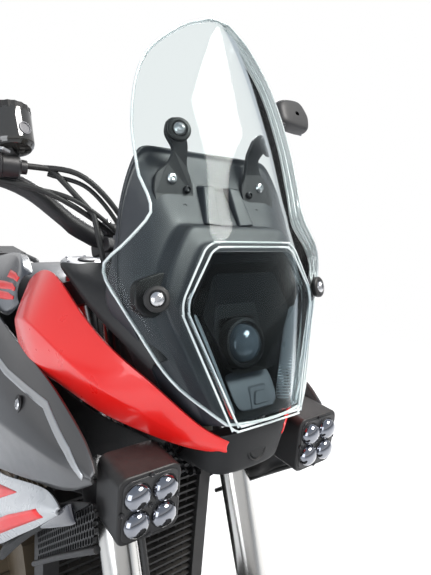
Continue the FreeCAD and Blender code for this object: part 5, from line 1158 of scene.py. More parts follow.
# Shoulder panels: thin mouldings over the tank's flanks, in dark slate lacquer, with three red slashes each.
# Columns: ahead, high and low edge, and how far out the two stand.
SHOULDER_ROWS = ((340, 1112, 1080, 146, 154), (320, 1120, 1068, 144, 156), (290, 1126, 1048, 138, 158),
                 (230, 1126, 1044, 128, 160), (150, 1110, 1040, 132, 160), (60, 1084, 1032, 140, 156))
surface("tank_silver", (0.062, 0.067, 0.078), 0.30, metal=0.35, grain=0.03, grain_size=160, Coat_Weight=0.7,
        Coat_Roughness=0.08, dust=0.06, slot="panel_silver")
for mirror in (False, True):
    tag = "left" if mirror else "right"
    rows = []
    for x, high_at, low_at, out_high, out_low in SHOULDER_ROWS:
        mid = (high_at + low_at) / 2
        rows.append([(x, -out_high + 12, high_at - 2), (x, -out_high, high_at),
                     (x, -(out_high * 0.35 + out_low * 0.65) - 3, mid),
                     (x, -out_low, low_at), (x, -out_low + 4, low_at - 6)])
    panel("shoulder_panel_" + tag, rows, "tank_silver", "chassis", wall=2.6, levels=3, sharp_cols=(1, 3),
          crease=0.6, mirror=mirror)

# Lower shroud: two red stripes on the panel, a long signal of dark clear plastic, and a black fin along the
# lower edge.
def over(name, target, rows, material, side, lift=0.6, along=8, across=3):
    """A painted mark or trim over a finished panel: rows of side-view points, laid on its outer face."""
    tree = BVHTree.FromObject(bpy.data.objects[target], bpy.context.evaluated_depsgraph_get())
    turn = PLACES["chassis"]
    way = turn.to_3x3() @ Vector((0, -side, 0))
    verts, faces = [], []
    width_count = (len(rows[0]) - 1) * across + 1
    for r in range((len(rows) - 1) * along + 1):
        i = min(r // along, len(rows) - 2)
        u = r / along - i
        for c in range(width_count):
            k = min(c // across, len(rows[0]) - 2)
            v = c / across - k
            a = Vector(rows[i][k]).lerp(Vector(rows[i][k + 1]), v)
            b = Vector(rows[i + 1][k]).lerp(Vector(rows[i + 1][k + 1]), v)
            x, z = a.lerp(b, u)
            start = turn @ (Vector((x, side * 300, z)) * 0.001)
            hit = tree.ray_cast(start, way)[0]
            if hit is None:
                hit = tree.find_nearest(turn @ (Vector((x, side * 180, z)) * 0.001))[0]
            spot = turn.inverted() @ (hit - way * 0.001 * lift)
            verts.append(spot * 1000)
    for r in range((len(rows) - 1) * along):
        for c in range(width_count - 1):
            faces.append((r * width_count + c, r * width_count + c + 1, (r + 1) * width_count + c + 1,
                          (r + 1) * width_count + c))
    ob = piece(name, verts, faces, material, "chassis")
    bm = bmesh.new()
    bm.from_mesh(ob.data)
    up_way = -way
    if sum((f.normal.dot(up_way) * f.calc_area() for f in bm.faces), 0.0) < 0:
        bmesh.ops.reverse_faces(bm, faces=bm.faces)
    bm.to_mesh(ob.data)
    bm.free()
    solid(ob, 0.5, offset=-1)
    return ob


bpy.context.view_layer.update()
surface("signal_clear", (0.75, 0.70, 0.62), 0.08, Transmission_Weight=0.7, IOR=1.49)
surface("signal_smoke", (0.05, 0.05, 0.06), 0.08, Coat_Weight=1.0, Coat_Roughness=0.02, grain=0.02,
        slot="signal_clear")
surface("stripe_red", (0.80, 0.008, 0.008), 0.35, Coat_Weight=0.2, grain=0.0, grain_size=160,
        slot="panel_red")
for mirror in (False, True):
    tag = "left" if mirror else "right"
    sign = 1 if mirror else -1
    over("shroud_stripe_high_" + tag, "silver_shroud_" + tag,
         [[(452, 874), (449, 871)], [(369, 836), (369, 813)], [(310, 812), (310, 786)],
          [(240, 780), (240, 752)]],
         "stripe_red", sign)
    over("shroud_stripe_low_" + tag, "silver_shroud_" + tag,
         [[(526, 900), (534, 893)], [(440, 838), (442, 818)], [(352, 768), (352, 744)],
          [(300, 724), (302, 700)]],
         "stripe_red", sign)
    for number, rows in enumerate((
            [[(334, 1108), (332, 1102)], [(310, 1110), (308, 1101)], [(262, 1106), (260, 1095)]],
            [[(332, 1094), (330, 1089)], [(312, 1096), (310, 1087)], [(255, 1088), (253, 1076)],
             [(217, 1082), (215, 1069)]],
            [[(330, 1082), (328, 1077)], [(295, 1080), (292, 1069)], [(195, 1064), (193, 1050)]])):
        over("shoulder_slash_%d_%s" % (number, tag), "shoulder_panel_" + tag, rows, "stripe_red", sign)
    # Signal: a long wedge of dark clear plastic along the shroud's lower edge.
    rows = []
    for along, high, out, deep in ((0, 2, 170, 2), (0.06, 4, 169, 4), (0.5, 9, 166, 5), (0.94, 15, 161, 5),
                                   (1, 13, 160, 2)):
        mid = Vector((509 + 71 * along, 0, 862 + 61 * along))
        rows.append([(mid.x - 0.55 * a * high, sign * (out + b * deep), mid.z + 0.5 * a * high)
                     for a, b in ((-0.9, 0), (-1, 0.6), (-0.6, 1), (0.6, 1), (1, 0.6), (0.9, 0))])
    body = panel("front_signal_" + tag, rows, "signal_smoke", "chassis", wall=0, levels=2, closed=True)
    outward(body)
    if not mirror:
        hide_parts("front_signals")
    # Fin: the black lower lip of the shroud.
    rows = [[(x, -sign * -out, z) for x, z, out in row] for row in (
        [(600, 945, 152), (599, 943, 153), (598, 941, 152)],
                                                                    [(572, 930, 157), (565, 918, 160),
                                                                     (557, 904, 158)],
        [(540, 908, 160), (530, 895, 163), (520, 872, 161)],
                                                                    [(505, 868, 164), (485, 845, 167),
                                                                     (461, 816, 165)],
        [(420, 795, 168), (404, 770, 172), (385, 742, 169)],
                                                                    [(320, 700, 170), (300, 668, 173),
                                                                     (282, 632, 168)])]
    panel("shroud_fin_" + tag, rows, "black_plastic", "chassis", wall=3, levels=2, sharp_rows=(0, 5),
          sharp_cols=(0, 1, 2), crease=0.8, offset=0)

# Side-cover details: a strip of bright silver laid along the top edge, a painted highlight where the chamfer
# catches the light, and one zinc bolt in a black ring.
for mirror in (False, True):
    tag = "left" if mirror else "right"
    sign = 1 if mirror else -1
    # Painted highlight: a silver strip along the cover's top edge.
    over("cover_top_edge_" + tag, "graphite_cover_" + tag,
         [[(600, 975), (598, 969)], [(572, 989), (569, 982)], [(507, 1009), (505, 1001)],
          [(388, 1004), (386, 996)], [(300, 1008), (300, 1000)]], "plate_silver", sign)
    tree = BVHTree.FromObject(bpy.data.objects["graphite_cover_" + tag],
                              bpy.context.evaluated_depsgraph_get())
    hit = tree.ray_cast(PLACES["chassis"] @ (Vector((452, sign * 300, 985)) * 0.001),
                        PLACES["chassis"].to_3x3() @ Vector((0, -sign, 0)))[0]
    spot = (PLACES["chassis"].inverted() @ hit) * 1000
    lathe("cover_bolt_ring_" + tag, [(0.001, -1), (10, -1), (11, 0.4), (10.2, 1.4), (8.6, 0.8), (7.4, -0.6),
                                     (0.001, -0.8)],
          "trim_black", "chassis", axis_at(spot, (0, sign, 0.15)), 32)
    lathe("cover_bolt_" + tag, [(6.4, -1), (6.4, 1.4), (5.2, 2.4), (3.2, 2.6), (2.8, 0.8), (0.001, 0.7)],
          "bolt_zinc", "chassis", axis_at(spot, (0, sign, 0.15)), 24)

# Display: a slab of black plastic with a glass pane towards the rider and cooling ribs behind, on a stay
# to the cowl and two bosses.
slab = prism("display_slab", round_corners([(468, 1192), (500, 1262), (522, 1264), (536, 1205), (522, 1190)],
                                           5, 4), 158,
             Matrix(((1, 0, 0, 0), (0, 0, 1, -79), (0, 1, 0, 0), (0, 0, 0, 1))), "display_black", "chassis",
             edge=3)
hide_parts("display")
pane = [(468.4, 1194), (498.8, 1260)]
face_rows = []
for x, z in pane:
    face_rows.append([(x - 1.2, -70, z), (x - 1.2, 70, z)])
panel("display_pane", face_rows, "projector_glass", "chassis", wall=1.0, levels=1, sharp_rows=(0, 1),
      sharp_cols=(0, 1), crease=1.0)
prism("display_stay", round_corners([(518, 1222), (518, 1244), (552, 1244), (558, 1222)], 3, 3), 48,
      Matrix(((1, 0, 0, 0), (0, 0, 1, -24), (0, 1, 0, 0), (0, 0, 0, 1))), "bar_black", "chassis", edge=1)
for k, y in enumerate((-52, 52)):
    lathe("display_boss_%d" % k, [(9, -6), (9, 3), (7, 5), (4, 5), (3.4, 3), (0.001, 3)], "bar_black",
          "chassis", axis_at((530, y, 1234), (1, 0, 0.25)), 24)
for k in range(9):
    pipe("display_rib_%d" % k, [(527.5 + 0.18 * k, -70, 1212 + 5 * k), (527.5 + 0.18 * k, 70,
                                                                        1212 + 5 * k)][:2], 1.1,
         "display_black", "chassis", sides=6)

# Side grilles: black moulded honeycomb on a dark backing, along a round bar, below each fin and ahead of
# the radiator.
for sign in (-1, 1):
    tag = "left" if sign > 0 else "right"
    lower, run = ((430, sign * 152, 746), (188, 0, 168)) if sign < 0 else ((618, sign * 152, 914),
                                                                           (-188, 0, -168))
    honeycomb("side_grille_" + tag, lower, run, (-4, 0, 42), (26, 5), 9.2, 1.2, "lamp_black", 4)
    panel("grille_back_" + tag, [[(420, sign * 147.5, 738), (424, sign * 147.5, 790)],
                                 [(622, sign * 147.5, 908), (612, sign * 147.5, 960)]],
          "lamp_black", "chassis", wall=1.0, levels=1, sharp_rows=(0, 1), sharp_cols=(0, 1), crease=1,
          offset=0)
    pipe("grille_bar_" + tag, [(416, sign * 153, 732), (520, sign * 154, 824), (620, sign * 153, 909)], 3.6,
         "lamp_black", "chassis", sides=10)

# Handlebar: tapered steel tube bent up and back, satin black, held by two risers with split caps and four
# bolts each. Points from here to the mirrors lie on the steering axis: ahead, left, along.
BAR_LINE = (Vector((34, 0, 1258)), Vector((34, -82, 1258)), Vector((44, -176, 1324)), Vector((8, -285, 1338)),
            Vector((-44, -412, 1342)))


def rounded_path(points, reach, steps=7):
    out = [Vector(points[0])]
    for a, b, c in zip(points, points[1:], points[2:]):
        a, b, c = Vector(a), Vector(b), Vector(c)
        near = min(reach, (a - b).length * 0.45, (c - b).length * 0.45)
        p, q = b + (a - b).normalized() * near, b + (c - b).normalized() * near
        for k in range(steps + 1):
            t = k / steps
            out.append(p * (1 - t) ** 2 + b * 2 * t * (1 - t) + q * t * t)
    out.append(Vector(points[-1]))
    return out


def mirror_y(points):
    return [Vector((p[0], -p[1], p[2])) for p in points]


half_bar = rounded_path(BAR_LINE, 42)
whole_bar = list(reversed(mirror_y(half_bar)))[:-1] + half_bar
radii = [13.6 if abs(p.y) < 80 else (12.4 if abs(p.y) < 110 else 11.1) for p in whole_bar]
bar = pipe("handlebar_tube", whole_bar, radii, "bar_black", "steering", sides=20, steps=1)
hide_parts("handlebar")
for side in (-1, 1):
    tag = "left" if side > 0 else "right"
    foot = Matrix(((1, 0, 0, 34), (0, 1, 0, side * 52), (0, 0, 1, 1195.3), (0, 0, 0, 1)))
    lathe("riser_post_" + tag, [(21, 0), (21, 5), (16, 11), (15, 18), (15, 44)], "bar_black", "steering",
          foot, 32)
    lower = round_corners([(-22, -20), (22, -20), (22, -1), (-22, -1)], 6, 4)
    upper = round_corners([(-22, 1), (22, 1), (19, 21), (-19, 21)], 7, 4)
    for kind, outline in (("lower", lower), ("upper", upper)):
        side_on = Matrix(((1, 0, 0, 34), (0, 0, 1, side * 52 - 16), (0, 1, 0, 1258), (0, 0, 0, 1)))
        prism("riser_%s_%s" % (kind, tag), outline, 32, side_on, "bar_black", "steering", edge=1.6)
    for k, (ahead_by, left_by) in enumerate(((-16.5, -9), (-16.5, 9), (16.5, -9), (16.5, 9))):
        spot = Matrix.Translation((34 + ahead_by, side * 52 + left_by, 1277.5))
        lathe("riser_bolt_%d_%s" % (k, tag), [(4.6, -1), (4.6, 3.4), (3.9, 4.2), (2.4, 4.2), (2.2, 1.8),
                                              (0.001, 1.8)],
              "bolt_zinc", "steering", spot, 20)

# Grips: moulded rubber with rings of ribs, and a steel weight at each end.
grip_start, grip_end = Vector((3, -297, 1338.4)), Vector((-45.5, -416, 1342.1))
grip_way = (grip_end - grip_start).normalized()
grip_long = (grip_end - grip_start).length
profile = [(11.4, 0), (19.5, 0), (20.5, 2), (20.5, 5), (16.6, 6.5)]
for k in range(19):
    z = 10 + k * (grip_long - 18) / 19
    profile += [(16.6, z), (15.5, z + 0.8), (15.5, z + 2.2), (16.6, z + 3.0)]
profile += [(16.6, grip_long - 2), (14, grip_long), (11.4, grip_long)]
surface("grip_rubber", (0.012, 0.012, 0.012), 0.72, grain=0.5, grain_size=700)
for side in (-1, 1):
    tag = "left" if side > 0 else "right"
    start = Vector((grip_start.x, -side * grip_start.y, grip_start.z))
    way = Vector((grip_way.x, -side * grip_way.y, grip_way.z))
    grip = lathe("grip_" + tag, profile, "grip_rubber", "steering", axis_at(start, way), 40)
    if side < 0:
        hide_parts("grips")
    lathe("bar_end_" + tag, [(0.001, 0), (16, 0.4), (17, 2), (17, 14), (15.5, 19), (11, 21.6), (5, 22),
                             (4.4, 18), (0.001, 17.5)],
          "bar_black", "steering", axis_at(start + way * grip_long, way), 36)

# Controls: master cylinder with a hand lever on each side; on the right a smoked cup of brake fluid stands
# on an elbow. Switch housings sit between the lever and the grip.
run = (BAR_LINE[3] - BAR_LINE[2]).normalized()
MASTER = BAR_LINE[2] + run * 42
FRONT = MASTER + Vector((34, 6, -4))
LEVER_ROWS = ((-18, 0, 17, -7, 7), (-40, -9, 7, -6.5, 6.5), (-75, -8, 6, -5, 5), (-110, -3, 9, -4.5, 4.5),
              (-150, -18, -6, -4.5, 4.5), (-185, -36, -24, -4.5, 4.5), (-206, -45, -35, -5, 5),
              (-214, -48, -40, -4, 4))
surface("mirror_black", (0.013, 0.013, 0.014), 0.5, grain=0.4, grain_size=1300, dust=0.12)
surface("mirror_glass", (0.30, 0.32, 0.35), 0.04, metal=1.0, spread=0.02, grain=0.01, slot="mirror_black")
for side in (-1, 1):
    tag = "left" if side > 0 else "right"

    def at(p):
        return Vector((p[0], -side * p[1], p[2]))

    def way_of(p):
        return Vector((p[0], -side * p[1], p[2])).normalized()

    switch = BAR_LINE[2] + run * 92
    lathe("switch_housing_" + tag, [(11.6, -19), (20, -19), (23, -16), (23.4, -2), (22.6, -1.2), (22.6, 1.2),
                                              (23.4, 2), (23, 16), (20, 19), (11.6, 19)], "black_plastic",
          "steering",
                    axis_at(at(switch), way_of(run)), 36)
    for k in range(3):
        spot = at(switch + run * (-10 + 10 * k) + Vector((-20, 0, 9)))
        prism("switch_%d_%s" % (k, tag), round_corners([(-4, -4), (4, -4), (4, 4), (-4, 4)], 1.5, 3), 5,
              axis_at(spot, (-1, 0, 0.45)), "clip_grey", "steering", edge=0.8)
    lathe("lever_clamp_" + tag, [(11.4, -11), (19, -11), (21, -9), (21, 9), (19, 11), (11.4, 11)],
          "bar_black", "steering", axis_at(at(MASTER), way_of(run)), 36)
    cylinder = lathe("master_cylinder_" + tag, [(9, -54), (12, -52), (13, -46), (13, -8), (15, -6), (15, 6),
                                                (13, 8), (13, 24),
                                                (10, 27), (8, 28), (8, 34), (0.001, 34)], "bar_black",
                     "steering", axis_at(at(FRONT), way_of(Vector((16, 78, -2)))), 32)
    pipe("lever_arm_" + tag, [at(MASTER), at(FRONT)], 10.5, "bar_black", "steering", sides=20)
    lever_sections = [[at(FRONT + Vector((rear, left, low_at))), at(FRONT + Vector((front, left, low_at))),
                       at(FRONT + Vector((front, left, high_at))), at(FRONT + Vector((rear, left, high_at)))]
                      for left, rear, front, low_at, high_at in LEVER_ROWS]
    lever = panel("hand_lever_" + tag, lever_sections, "bar_black", "steering", wall=0, levels=2, closed=True)
    close_ends(lever, lever_sections)
    lever.data.shade_smooth()
    lathe("lever_pivot_" + tag, [(6.5, -10), (6.5, 10), (5.2, 11.4), (3, 11.6), (2.6, 10), (0.001, 10)],
          "bolt_zinc", "steering", axis_at(at(FRONT + Vector((3, -27, 0))), (0, 0, 1)), 24)
    lathe("adjuster_" + tag, [(6, -6), (7, -5), (7, 5), (6, 6), (0.001, 6)], "plate_silver", "steering",
          axis_at(at(FRONT + Vector((14, -34, 0))), (1, 0, 0)), 12)
    # Mirror foot with its rubber boot.
    root = BAR_LINE[2] + run * 66
    lathe("mirror_foot_" + tag, [(11.6, -6), (17, -6), (18, -4), (18, 4), (17, 6), (11.6, 6)], "bar_black",
          "steering", axis_at(at(root), way_of(run)), 32)
    lathe("mirror_boot_" + tag, [(9, 0), (11, 2), (11, 8), (9.6, 10), (11, 12), (10.4, 18), (9, 20),
                                 (10.2, 22), (9.4, 29),
                                 (7.4, 33), (6, 44), (5.2, 46)], "hose_rubber", "steering",
          axis_at(at(root + Vector((14, 0, 6))), way_of(Vector((16, -8, 56)))), 28)
    lathe("mirror_collar_" + tag, [(12.2, 0), (12.2, 5), (10.6, 6)], "clip_grey", "steering",
          axis_at(at(root + Vector((13.4, 0.3, 4))), way_of(Vector((16, -8, 56)))), 28)
    elbow = root + Vector((72, -92, 168))
    tip = elbow + Vector((8, -62, 28))
    stem = pipe("mirror_stem_" + tag, rounded_path([at(root + Vector((14, 0, 4))),
                                                    at(root + Vector((30, -8, 60))), at(elbow),
                                                    at(tip)], 22), 5, "bar_black", "steering", sides=14,
                steps=1)
    if side < 0:
        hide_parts("mirrors")
        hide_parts("brake_control")
    else:
        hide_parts("clutch_control")
    rim = ((40, -20), (41, 12), (40, 40), (-4, 52), (-48, 62), (-64, 46), (-78, 28), (-71, 6), (-63, -12),
           (-12, -17))
    rows = []
    for depth, share in ((-15.5, 0.93), (-16, 0.985), (-12, 1.0), (-4, 0.99), (4, 0.92), (8, 0.78),
                         (9.4, 0.5), (9.8, 0.12)):
        mid = Vector((-16, 18, 0))
        rows.append([at(tip + Vector((depth, mid.x + (a - mid.x) * share, mid.y + (b - mid.y) * share)))
                     for a, b in rim])
    head = panel("mirror_head_" + tag, rows, "mirror_black", "steering", wall=0, levels=2, closed=True)
    outward(head)
    glass = [at(tip + Vector((-15.4, -16 + (a + 16) * 0.94, 18 + (b - 18) * 0.94))) for a, b in rim]
    glass_ob = piece("mirror_glass_" + tag, glass, [tuple(range(len(glass)))] if side < 0
                     else [tuple(reversed(range(len(glass))))], "mirror_glass", "steering", smooth=False)
    solid(glass_ob, 1.0, offset=0)

# Brake-fluid cup: smoked plastic with a level window, a faceted lid with ribs and the elbow to the cylinder.
CUP = FRONT + Vector((16, 18, 12))
upright = Matrix.Translation(CUP)
surface("cup_smoke", (0.020, 0.019, 0.017), 0.07, Coat_Weight=1.0, Coat_Roughness=0.03, grain=0.02,
        slot="black_plastic")
lathe("fluid_cup", [(12, 0), (17.5, 1), (20.4, 5), (21.2, 8), (21.2, 42), (20.2, 43), (0.001, 43)],
      "cup_smoke", "steering", upright, 48)
lid = [(21.6 if k % 2 else 20.6, 2 * math.pi * k / 36) for k in range(36)]
prism("cup_lid", [(r * math.cos(a), r * math.sin(a)) for r, a in lid], 9,
      Matrix.Translation(CUP + Vector((0, 0, 40))), "black_plastic", "steering", edge=0.7)
lathe("cup_lid_crown", [(18.5, 0), (18.5, 1.6), (16, 2.4), (0.001, 2.8)], "black_plastic", "steering",
      Matrix.Translation(CUP + Vector((0, 0, 48.4))), 40)
prism("cup_lid_bar", round_corners([(-13, -3), (13, -3), (13, 3), (-13, 3)], 2.5, 4), 2.6,
      Matrix.Translation(CUP + Vector((0, 0, 50))), "black_plastic", "steering", edge=0.7)
lathe("cup_level_ring", [(7.0, 0), (7.0, 1.2), (5.6, 1.6), (5.2, 0.4), (0.001, 0.4)], "clip_grey", "steering",
      axis_at(CUP + Vector((20.6, 4, 18)), (1, 0.2, 0)), 28)
pipe("cup_elbow", [FRONT + Vector((4, 8, 8)), FRONT + Vector((10, 13, 12)), CUP + Vector((0, 0, 2))], 8,
     "hose_rubber", "steering", sides=18)
prism("cup_bracket", round_corners([(-6, -14), (6, -14), (6, 12), (-6, 16)], 2, 3), 3,
      axis_at(FRONT + Vector((20, -4, 6)), (0.4, 0.2, 1)), "plate_silver", "steering", edge=0.6)

# Cables: black outer casings from both sides of the bars, gathered in a clip ahead of the clamps.
CABLES = (
    ((70, -150, 1322), (92, -110, 1300), (88, -66, 1246), (60, -40, 1190), (52, -30, 1110)),
    ((64, -176, 1330), (98, -120, 1312), (94, -62, 1252), (66, -34, 1192), (58, -22, 1110)),
    ((40, -190, 1316), (82, -126, 1288), (82, -60, 1236), (56, -44, 1180), (46, -36, 1100)),
    ((28, -240, 1326), (72, -150, 1296), (76, -52, 1232), (54, -26, 1182), (46, -20, 1100)),
    ((44, 180, 1318), (86, 116, 1296), (88, 44, 1240), (64, 18, 1186), (54, 12, 1100)),
)
for k, points in enumerate(CABLES):
    pipe("control_cable_%d" % k, points, 3.4 if k % 2 else 2.8, "hose_rubber", "steering", sides=10, steps=8)
for k, (x, y, z) in enumerate(((88, -64, 1246), (57, -32, 1178))):
    prism("cable_clip_%d" % k, round_corners([(-16, -7), (16, -7), (16, 7), (-16, 7)], 5, 4), 6,
          axis_at((x, y, z), (0.2, -0.4, 1)), "clip_grey", "steering", edge=1.2)

# Fork: chrome stanchions, an anodised cap with a black adjuster on each, and two forged clamps whose pinch
# bolts look forward.
FORK_X, FORK_Y = 44, 105
surface("chrome_tube", (0.60, 0.59, 0.57), 0.20, metal=1.0, spread=0.05, grain=0.03, grain_size=2600)
stanchion = lathe("stanchion_right", [(0.001, 690.3), (21.5, 690.3), (21.5, 1205), (0.001, 1205)],
                  "chrome_tube", "steering", Matrix.Translation((FORK_X, -FORK_Y, 0)), 56)
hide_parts("fork_tubes")
lathe("stanchion_left", [(0.001, 690.3), (21.5, 690.3), (21.5, 1205), (0.001, 1205)], "chrome_tube",
      "steering", Matrix.Translation((FORK_X, FORK_Y, 0)), 56)
surface("slider_black", (0.02, 0.02, 0.022), 0.32, metal=0.5, grain=0.1, dust=0.15)
for side in (-1, 1):
    tag = "left" if side > 0 else "right"
    on = Matrix.Translation((FORK_X, side * FORK_Y, 0))
    lathe("fork_cap_" + tag, [(20.6, 1203), (20.6, 1206), (18, 1208), (16.5, 1212)], "plate_silver",
          "steering", on, 48)
    lathe("fork_adjuster_" + tag, [(12, 1205), (12, 1210), (9.5, 1212), (5, 1212), (4.4, 1209),
                                   (0.001, 1209)], "bolt_black",
          "steering", on, 6)
    lathe("fork_leg_" + tag, [(24, 296), (29, 302), (29, 640), (31, 650), (31.5, 672), (30, 684), (26, 690),
                              (22.2, 690.2),
                                       (22.2, 686)], "slider_black", "steering", on, 56)
    lathe("dust_seal_" + tag, [(27.6, 688), (28.4, 692), (27, 698), (23, 702), (21.7, 702)], "hose_rubber",
          "steering", on, 48)
    for low_at in (1165, 930):
        for k, ahead_by in enumerate((9, 24) if low_at < 1000 else (16,)):
            lathe("pinch_bolt_%d_%d_%s" % (low_at, k, tag),
                  [(6, 0), (6, 5), (5, 6.4), (3.1, 6.4), (2.8, 3), (0.001, 3)],
                  "bolt_zinc", "steering", axis_at((FORK_X + 27, side * (FORK_Y - 16), low_at + ahead_by),
                                                   (1, 0, 0)), 20)

# Cast, forged and welded parts: each keeps its solid's shape, most with their edges broken as a file or a
# mould breaks them.
surface("frame_black", (0.028, 0.028, 0.031), 0.42, grain=0.12, grain_size=1600, dust=0.25,
        wear=(0.10, 0.10, 0.10))
surface("engine_bronze", (0.135, 0.105, 0.070), 0.44, metal=0.8, grain=0.3, grain_size=700, dust=0.12,
        wear=(0.30, 0.25, 0.18))
surface("header_metal", (0.36, 0.26, 0.15), 0.30, metal=1.0, mottle=0.25, mottle_size=5, grain=0.1)
surface("muffler_dark", (0.07, 0.07, 0.075), 0.38, metal=0.6, grain=0.15, dust=0.15)
surface("radiator_black", (0.012, 0.012, 0.013), 0.5, metal=0.3, grain=0.2, dust=0.25)
surface("seat_black", (0.014, 0.014, 0.015), 0.62, grain=0.5, grain_size=420, dust=0.12)
surface("rack_black", (0.03, 0.03, 0.033), 0.4, metal=0.4, grain=0.15, dust=0.2, wear=(0.25, 0.25, 0.25))
surface("lamp_red", (0.42, 0.01, 0.01), 0.12, grain=0.05, Coat_Weight=0.5)
surface("swingarm_silver", (0.30, 0.30, 0.31), 0.42, metal=0.85, grain=0.35, grain_size=800, dust=0.25)
surface("shock_spring", (0.45, 0.02, 0.015), 0.25, grain=0.05, Coat_Weight=0.6)
surface("chain_steel", (0.22, 0.20, 0.17), 0.38, metal=0.9, mottle=0.2, mottle_size=60, grain=0.2)
surface("caliper_black", (0.05, 0.05, 0.053), 0.4, metal=0.5, grain=0.25, dust=0.2)
surface("tyre_rubber", (0.020, 0.020, 0.020), 0.78, grain=0.5, grain_size=500, dust=0.35)
surface("wheel_black", (0.018, 0.018, 0.019), 0.38, metal=0.3, grain=0.12, dust=0.2)
surface("disc_steel", (0.48, 0.48, 0.48), 0.28, metal=1.0, mottle=0.12, mottle_size=30, grain=0.1)
SLOT = {}
for row in frame["record"]["subparts"]:
    SLOT[row["node"]] = row["material_slot"]
for node_name, ob in NODES.items():
    ob.data.materials.clear()
    ob.data.materials.append(M[SLOT[node_name]])
    for poly in ob.data.polygons:
        poly.use_smooth = False
NODE_BODY = {node: body for body, nodes in frame["record"]["behaviour"]["bodies"].items() for node in nodes}


def machined(node, edge, segments=2, angle=32, merge=2e-5):
    mesh = NODES[node].data.copy()
    mesh.name = node + "_made"
    ob = bpy.data.objects.new(node + "_made", mesh)
    scene.collection.objects.link(ob)
    bm = bmesh.new()
    bm.from_mesh(mesh)
    bmesh.ops.remove_doubles(bm, verts=bm.verts, dist=merge)
    bmesh.ops.dissolve_limit(bm, angle_limit=math.radians(0.5), verts=bm.verts, edges=bm.edges)
    bm.to_mesh(mesh)
    bm.free()
    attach(ob, NODE_BODY[node])
    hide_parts(node)
    if edge:
        bevel(ob, edge, segments, angle)
        ob.data.shade_smooth()
        weighted(ob)
    else:
        ob.data.shade_smooth()
        ob.data.set_sharp_from_angle(angle=math.radians(angle))
    return ob


for node, edge in (("engine", 2.2), ("swingarm", 3.0), ("skid_plate", 1.0), ("triple_clamps", 2.0),
                   ("rear_caliper", 2.0),
                   ("front_calipers", 2.5), ("foot_controls", 1.2), ("side_stand", 1.2), ("tail_cover", 1.2),
                   ("front_mudguard", 0.8), ("muffler", 3.0), ("front_rim", 1.6), ("rear_rim", 1.6),
                   ("front_discs", 0.4), ("rear_disc_and_sprocket", 0.5), ("luggage_rack", 0.8),
                   ("radiator", 0),
                   ("frame", 1.0), ("exhaust_header", 0), ("rear_shock", 0), ("fork_sliders", 0),
                   ("brake_hose", 0)):
    machined(node, edge)


# Screws, tyre blocks and chain links: one master of each is set on many points by a node tree, and then
# they are made one mesh.
def point_tree():
    tree = bpy.data.node_groups.new("set_on_points", "GeometryNodeTree")
    for label, kind in (("Points", "NodeSocketGeometry"), ("Master", "NodeSocketObject"),
                        ("Size", "NodeSocketFloat"), ("Finish", "NodeSocketMaterial")):
        tree.interface.new_socket(label, in_out="INPUT", socket_type=kind)
    tree.interface.new_socket("Pieces", in_out="OUTPUT", socket_type="NodeSocketGeometry")
    enter, leave = tree.nodes.new("NodeGroupInput"), tree.nodes.new("NodeGroupOutput")
    master = tree.nodes.new("GeometryNodeObjectInfo")
    turn = tree.nodes.new("GeometryNodeInputNamedAttribute")
    turn.data_type = "QUATERNION"
    turn.inputs["Name"].default_value = "turn"
    put = tree.nodes.new("GeometryNodeInstanceOnPoints")
    real = tree.nodes.new("GeometryNodeRealizeInstances")
    paint = tree.nodes.new("GeometryNodeSetMaterial")
    tree.links.new(enter.outputs["Master"], master.inputs["Object"])
    tree.links.new(enter.outputs["Points"], put.inputs["Points"])
    tree.links.new(master.outputs["Geometry"], put.inputs["Instance"])
    tree.links.new([s for s in turn.outputs if s.enabled][0], put.inputs["Rotation"])
    tree.links.new(enter.outputs["Size"], put.inputs["Scale"])
    tree.links.new(put.outputs["Instances"], real.inputs["Geometry"])
    tree.links.new(real.outputs["Geometry"], paint.inputs["Geometry"])
    tree.links.new(enter.outputs["Finish"], paint.inputs["Material"])
    tree.links.new(paint.outputs["Geometry"], leave.inputs["Pieces"])
    return tree


POINT_TREE = point_tree()


def master_of(verts, faces, edge=0.0, segments=2, sharp=30):
    mesh = bpy.data.meshes.new("master")
    mesh.from_pydata([Vector(v) * 0.001 for v in verts], [], faces)
    bm = bmesh.new()
    bm.from_mesh(mesh)
    bmesh.ops.remove_doubles(bm, verts=bm.verts, dist=1e-6)
    bmesh.ops.recalc_face_normals(bm, faces=bm.faces)
    bm.to_mesh(mesh)
    bm.free()
    ob = bpy.data.objects.new("master", mesh)
    scene.collection.objects.link(ob)
    if edge:
        bevel(ob, edge, segments, sharp)
        bake(ob)
    ob.data.shade_smooth()
    ob.data.set_sharp_from_angle(angle=math.radians(sharp))
    return ob


def turned_master(profile, steps=16):
    verts = [(r * math.cos(2 * math.pi * k / steps), r * math.sin(2 * math.pi * k / steps), z)
             for k in range(steps) for r, z in profile]
    n = len(profile)
    faces = [(k * n + i, ((k + 1) % steps) * n + i, ((k + 1) % steps) * n + i + 1, k * n + i + 1)
             for k in range(steps) for i in range(n - 1)]
    return master_of(verts, faces)


def set_on_points(name, master, spots, material, body, size=1.0):
    """spots are matrices in the body's millimetres; the master's own origin and Z go there."""
    mesh = bpy.data.meshes.new(name)
    whole = [PLACES[body] @ Matrix.Translation(m.translation * 0.001) @ m.to_3x3().normalized().to_4x4()
             for m in spots]
    mesh.from_pydata([m.translation for m in whole], [], [])
    turn = mesh.attributes.new("turn", "QUATERNION", "POINT")
    for k, m in enumerate(whole):
        turn.data[k].value = m.to_quaternion()
    ob = bpy.data.objects.new(name, mesh)
    scene.collection.objects.link(ob)
    nodes = ob.modifiers.new("set", "NODES")
    nodes.node_group = POINT_TREE
    given = {"Master": master, "Size": size, "Finish": M[material]}
    for item in POINT_TREE.interface.items_tree:
        if item.name in given:
            nodes[item.identifier] = given[item.name]
    bake(ob)
    ob.data.materials.clear()
    ob.data.materials.append(M[material])
    for poly in ob.data.polygons:
        poly.material_index = 0
    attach(ob, body)
    return ob


def done_with(master):
    bpy.data.objects.remove(master)


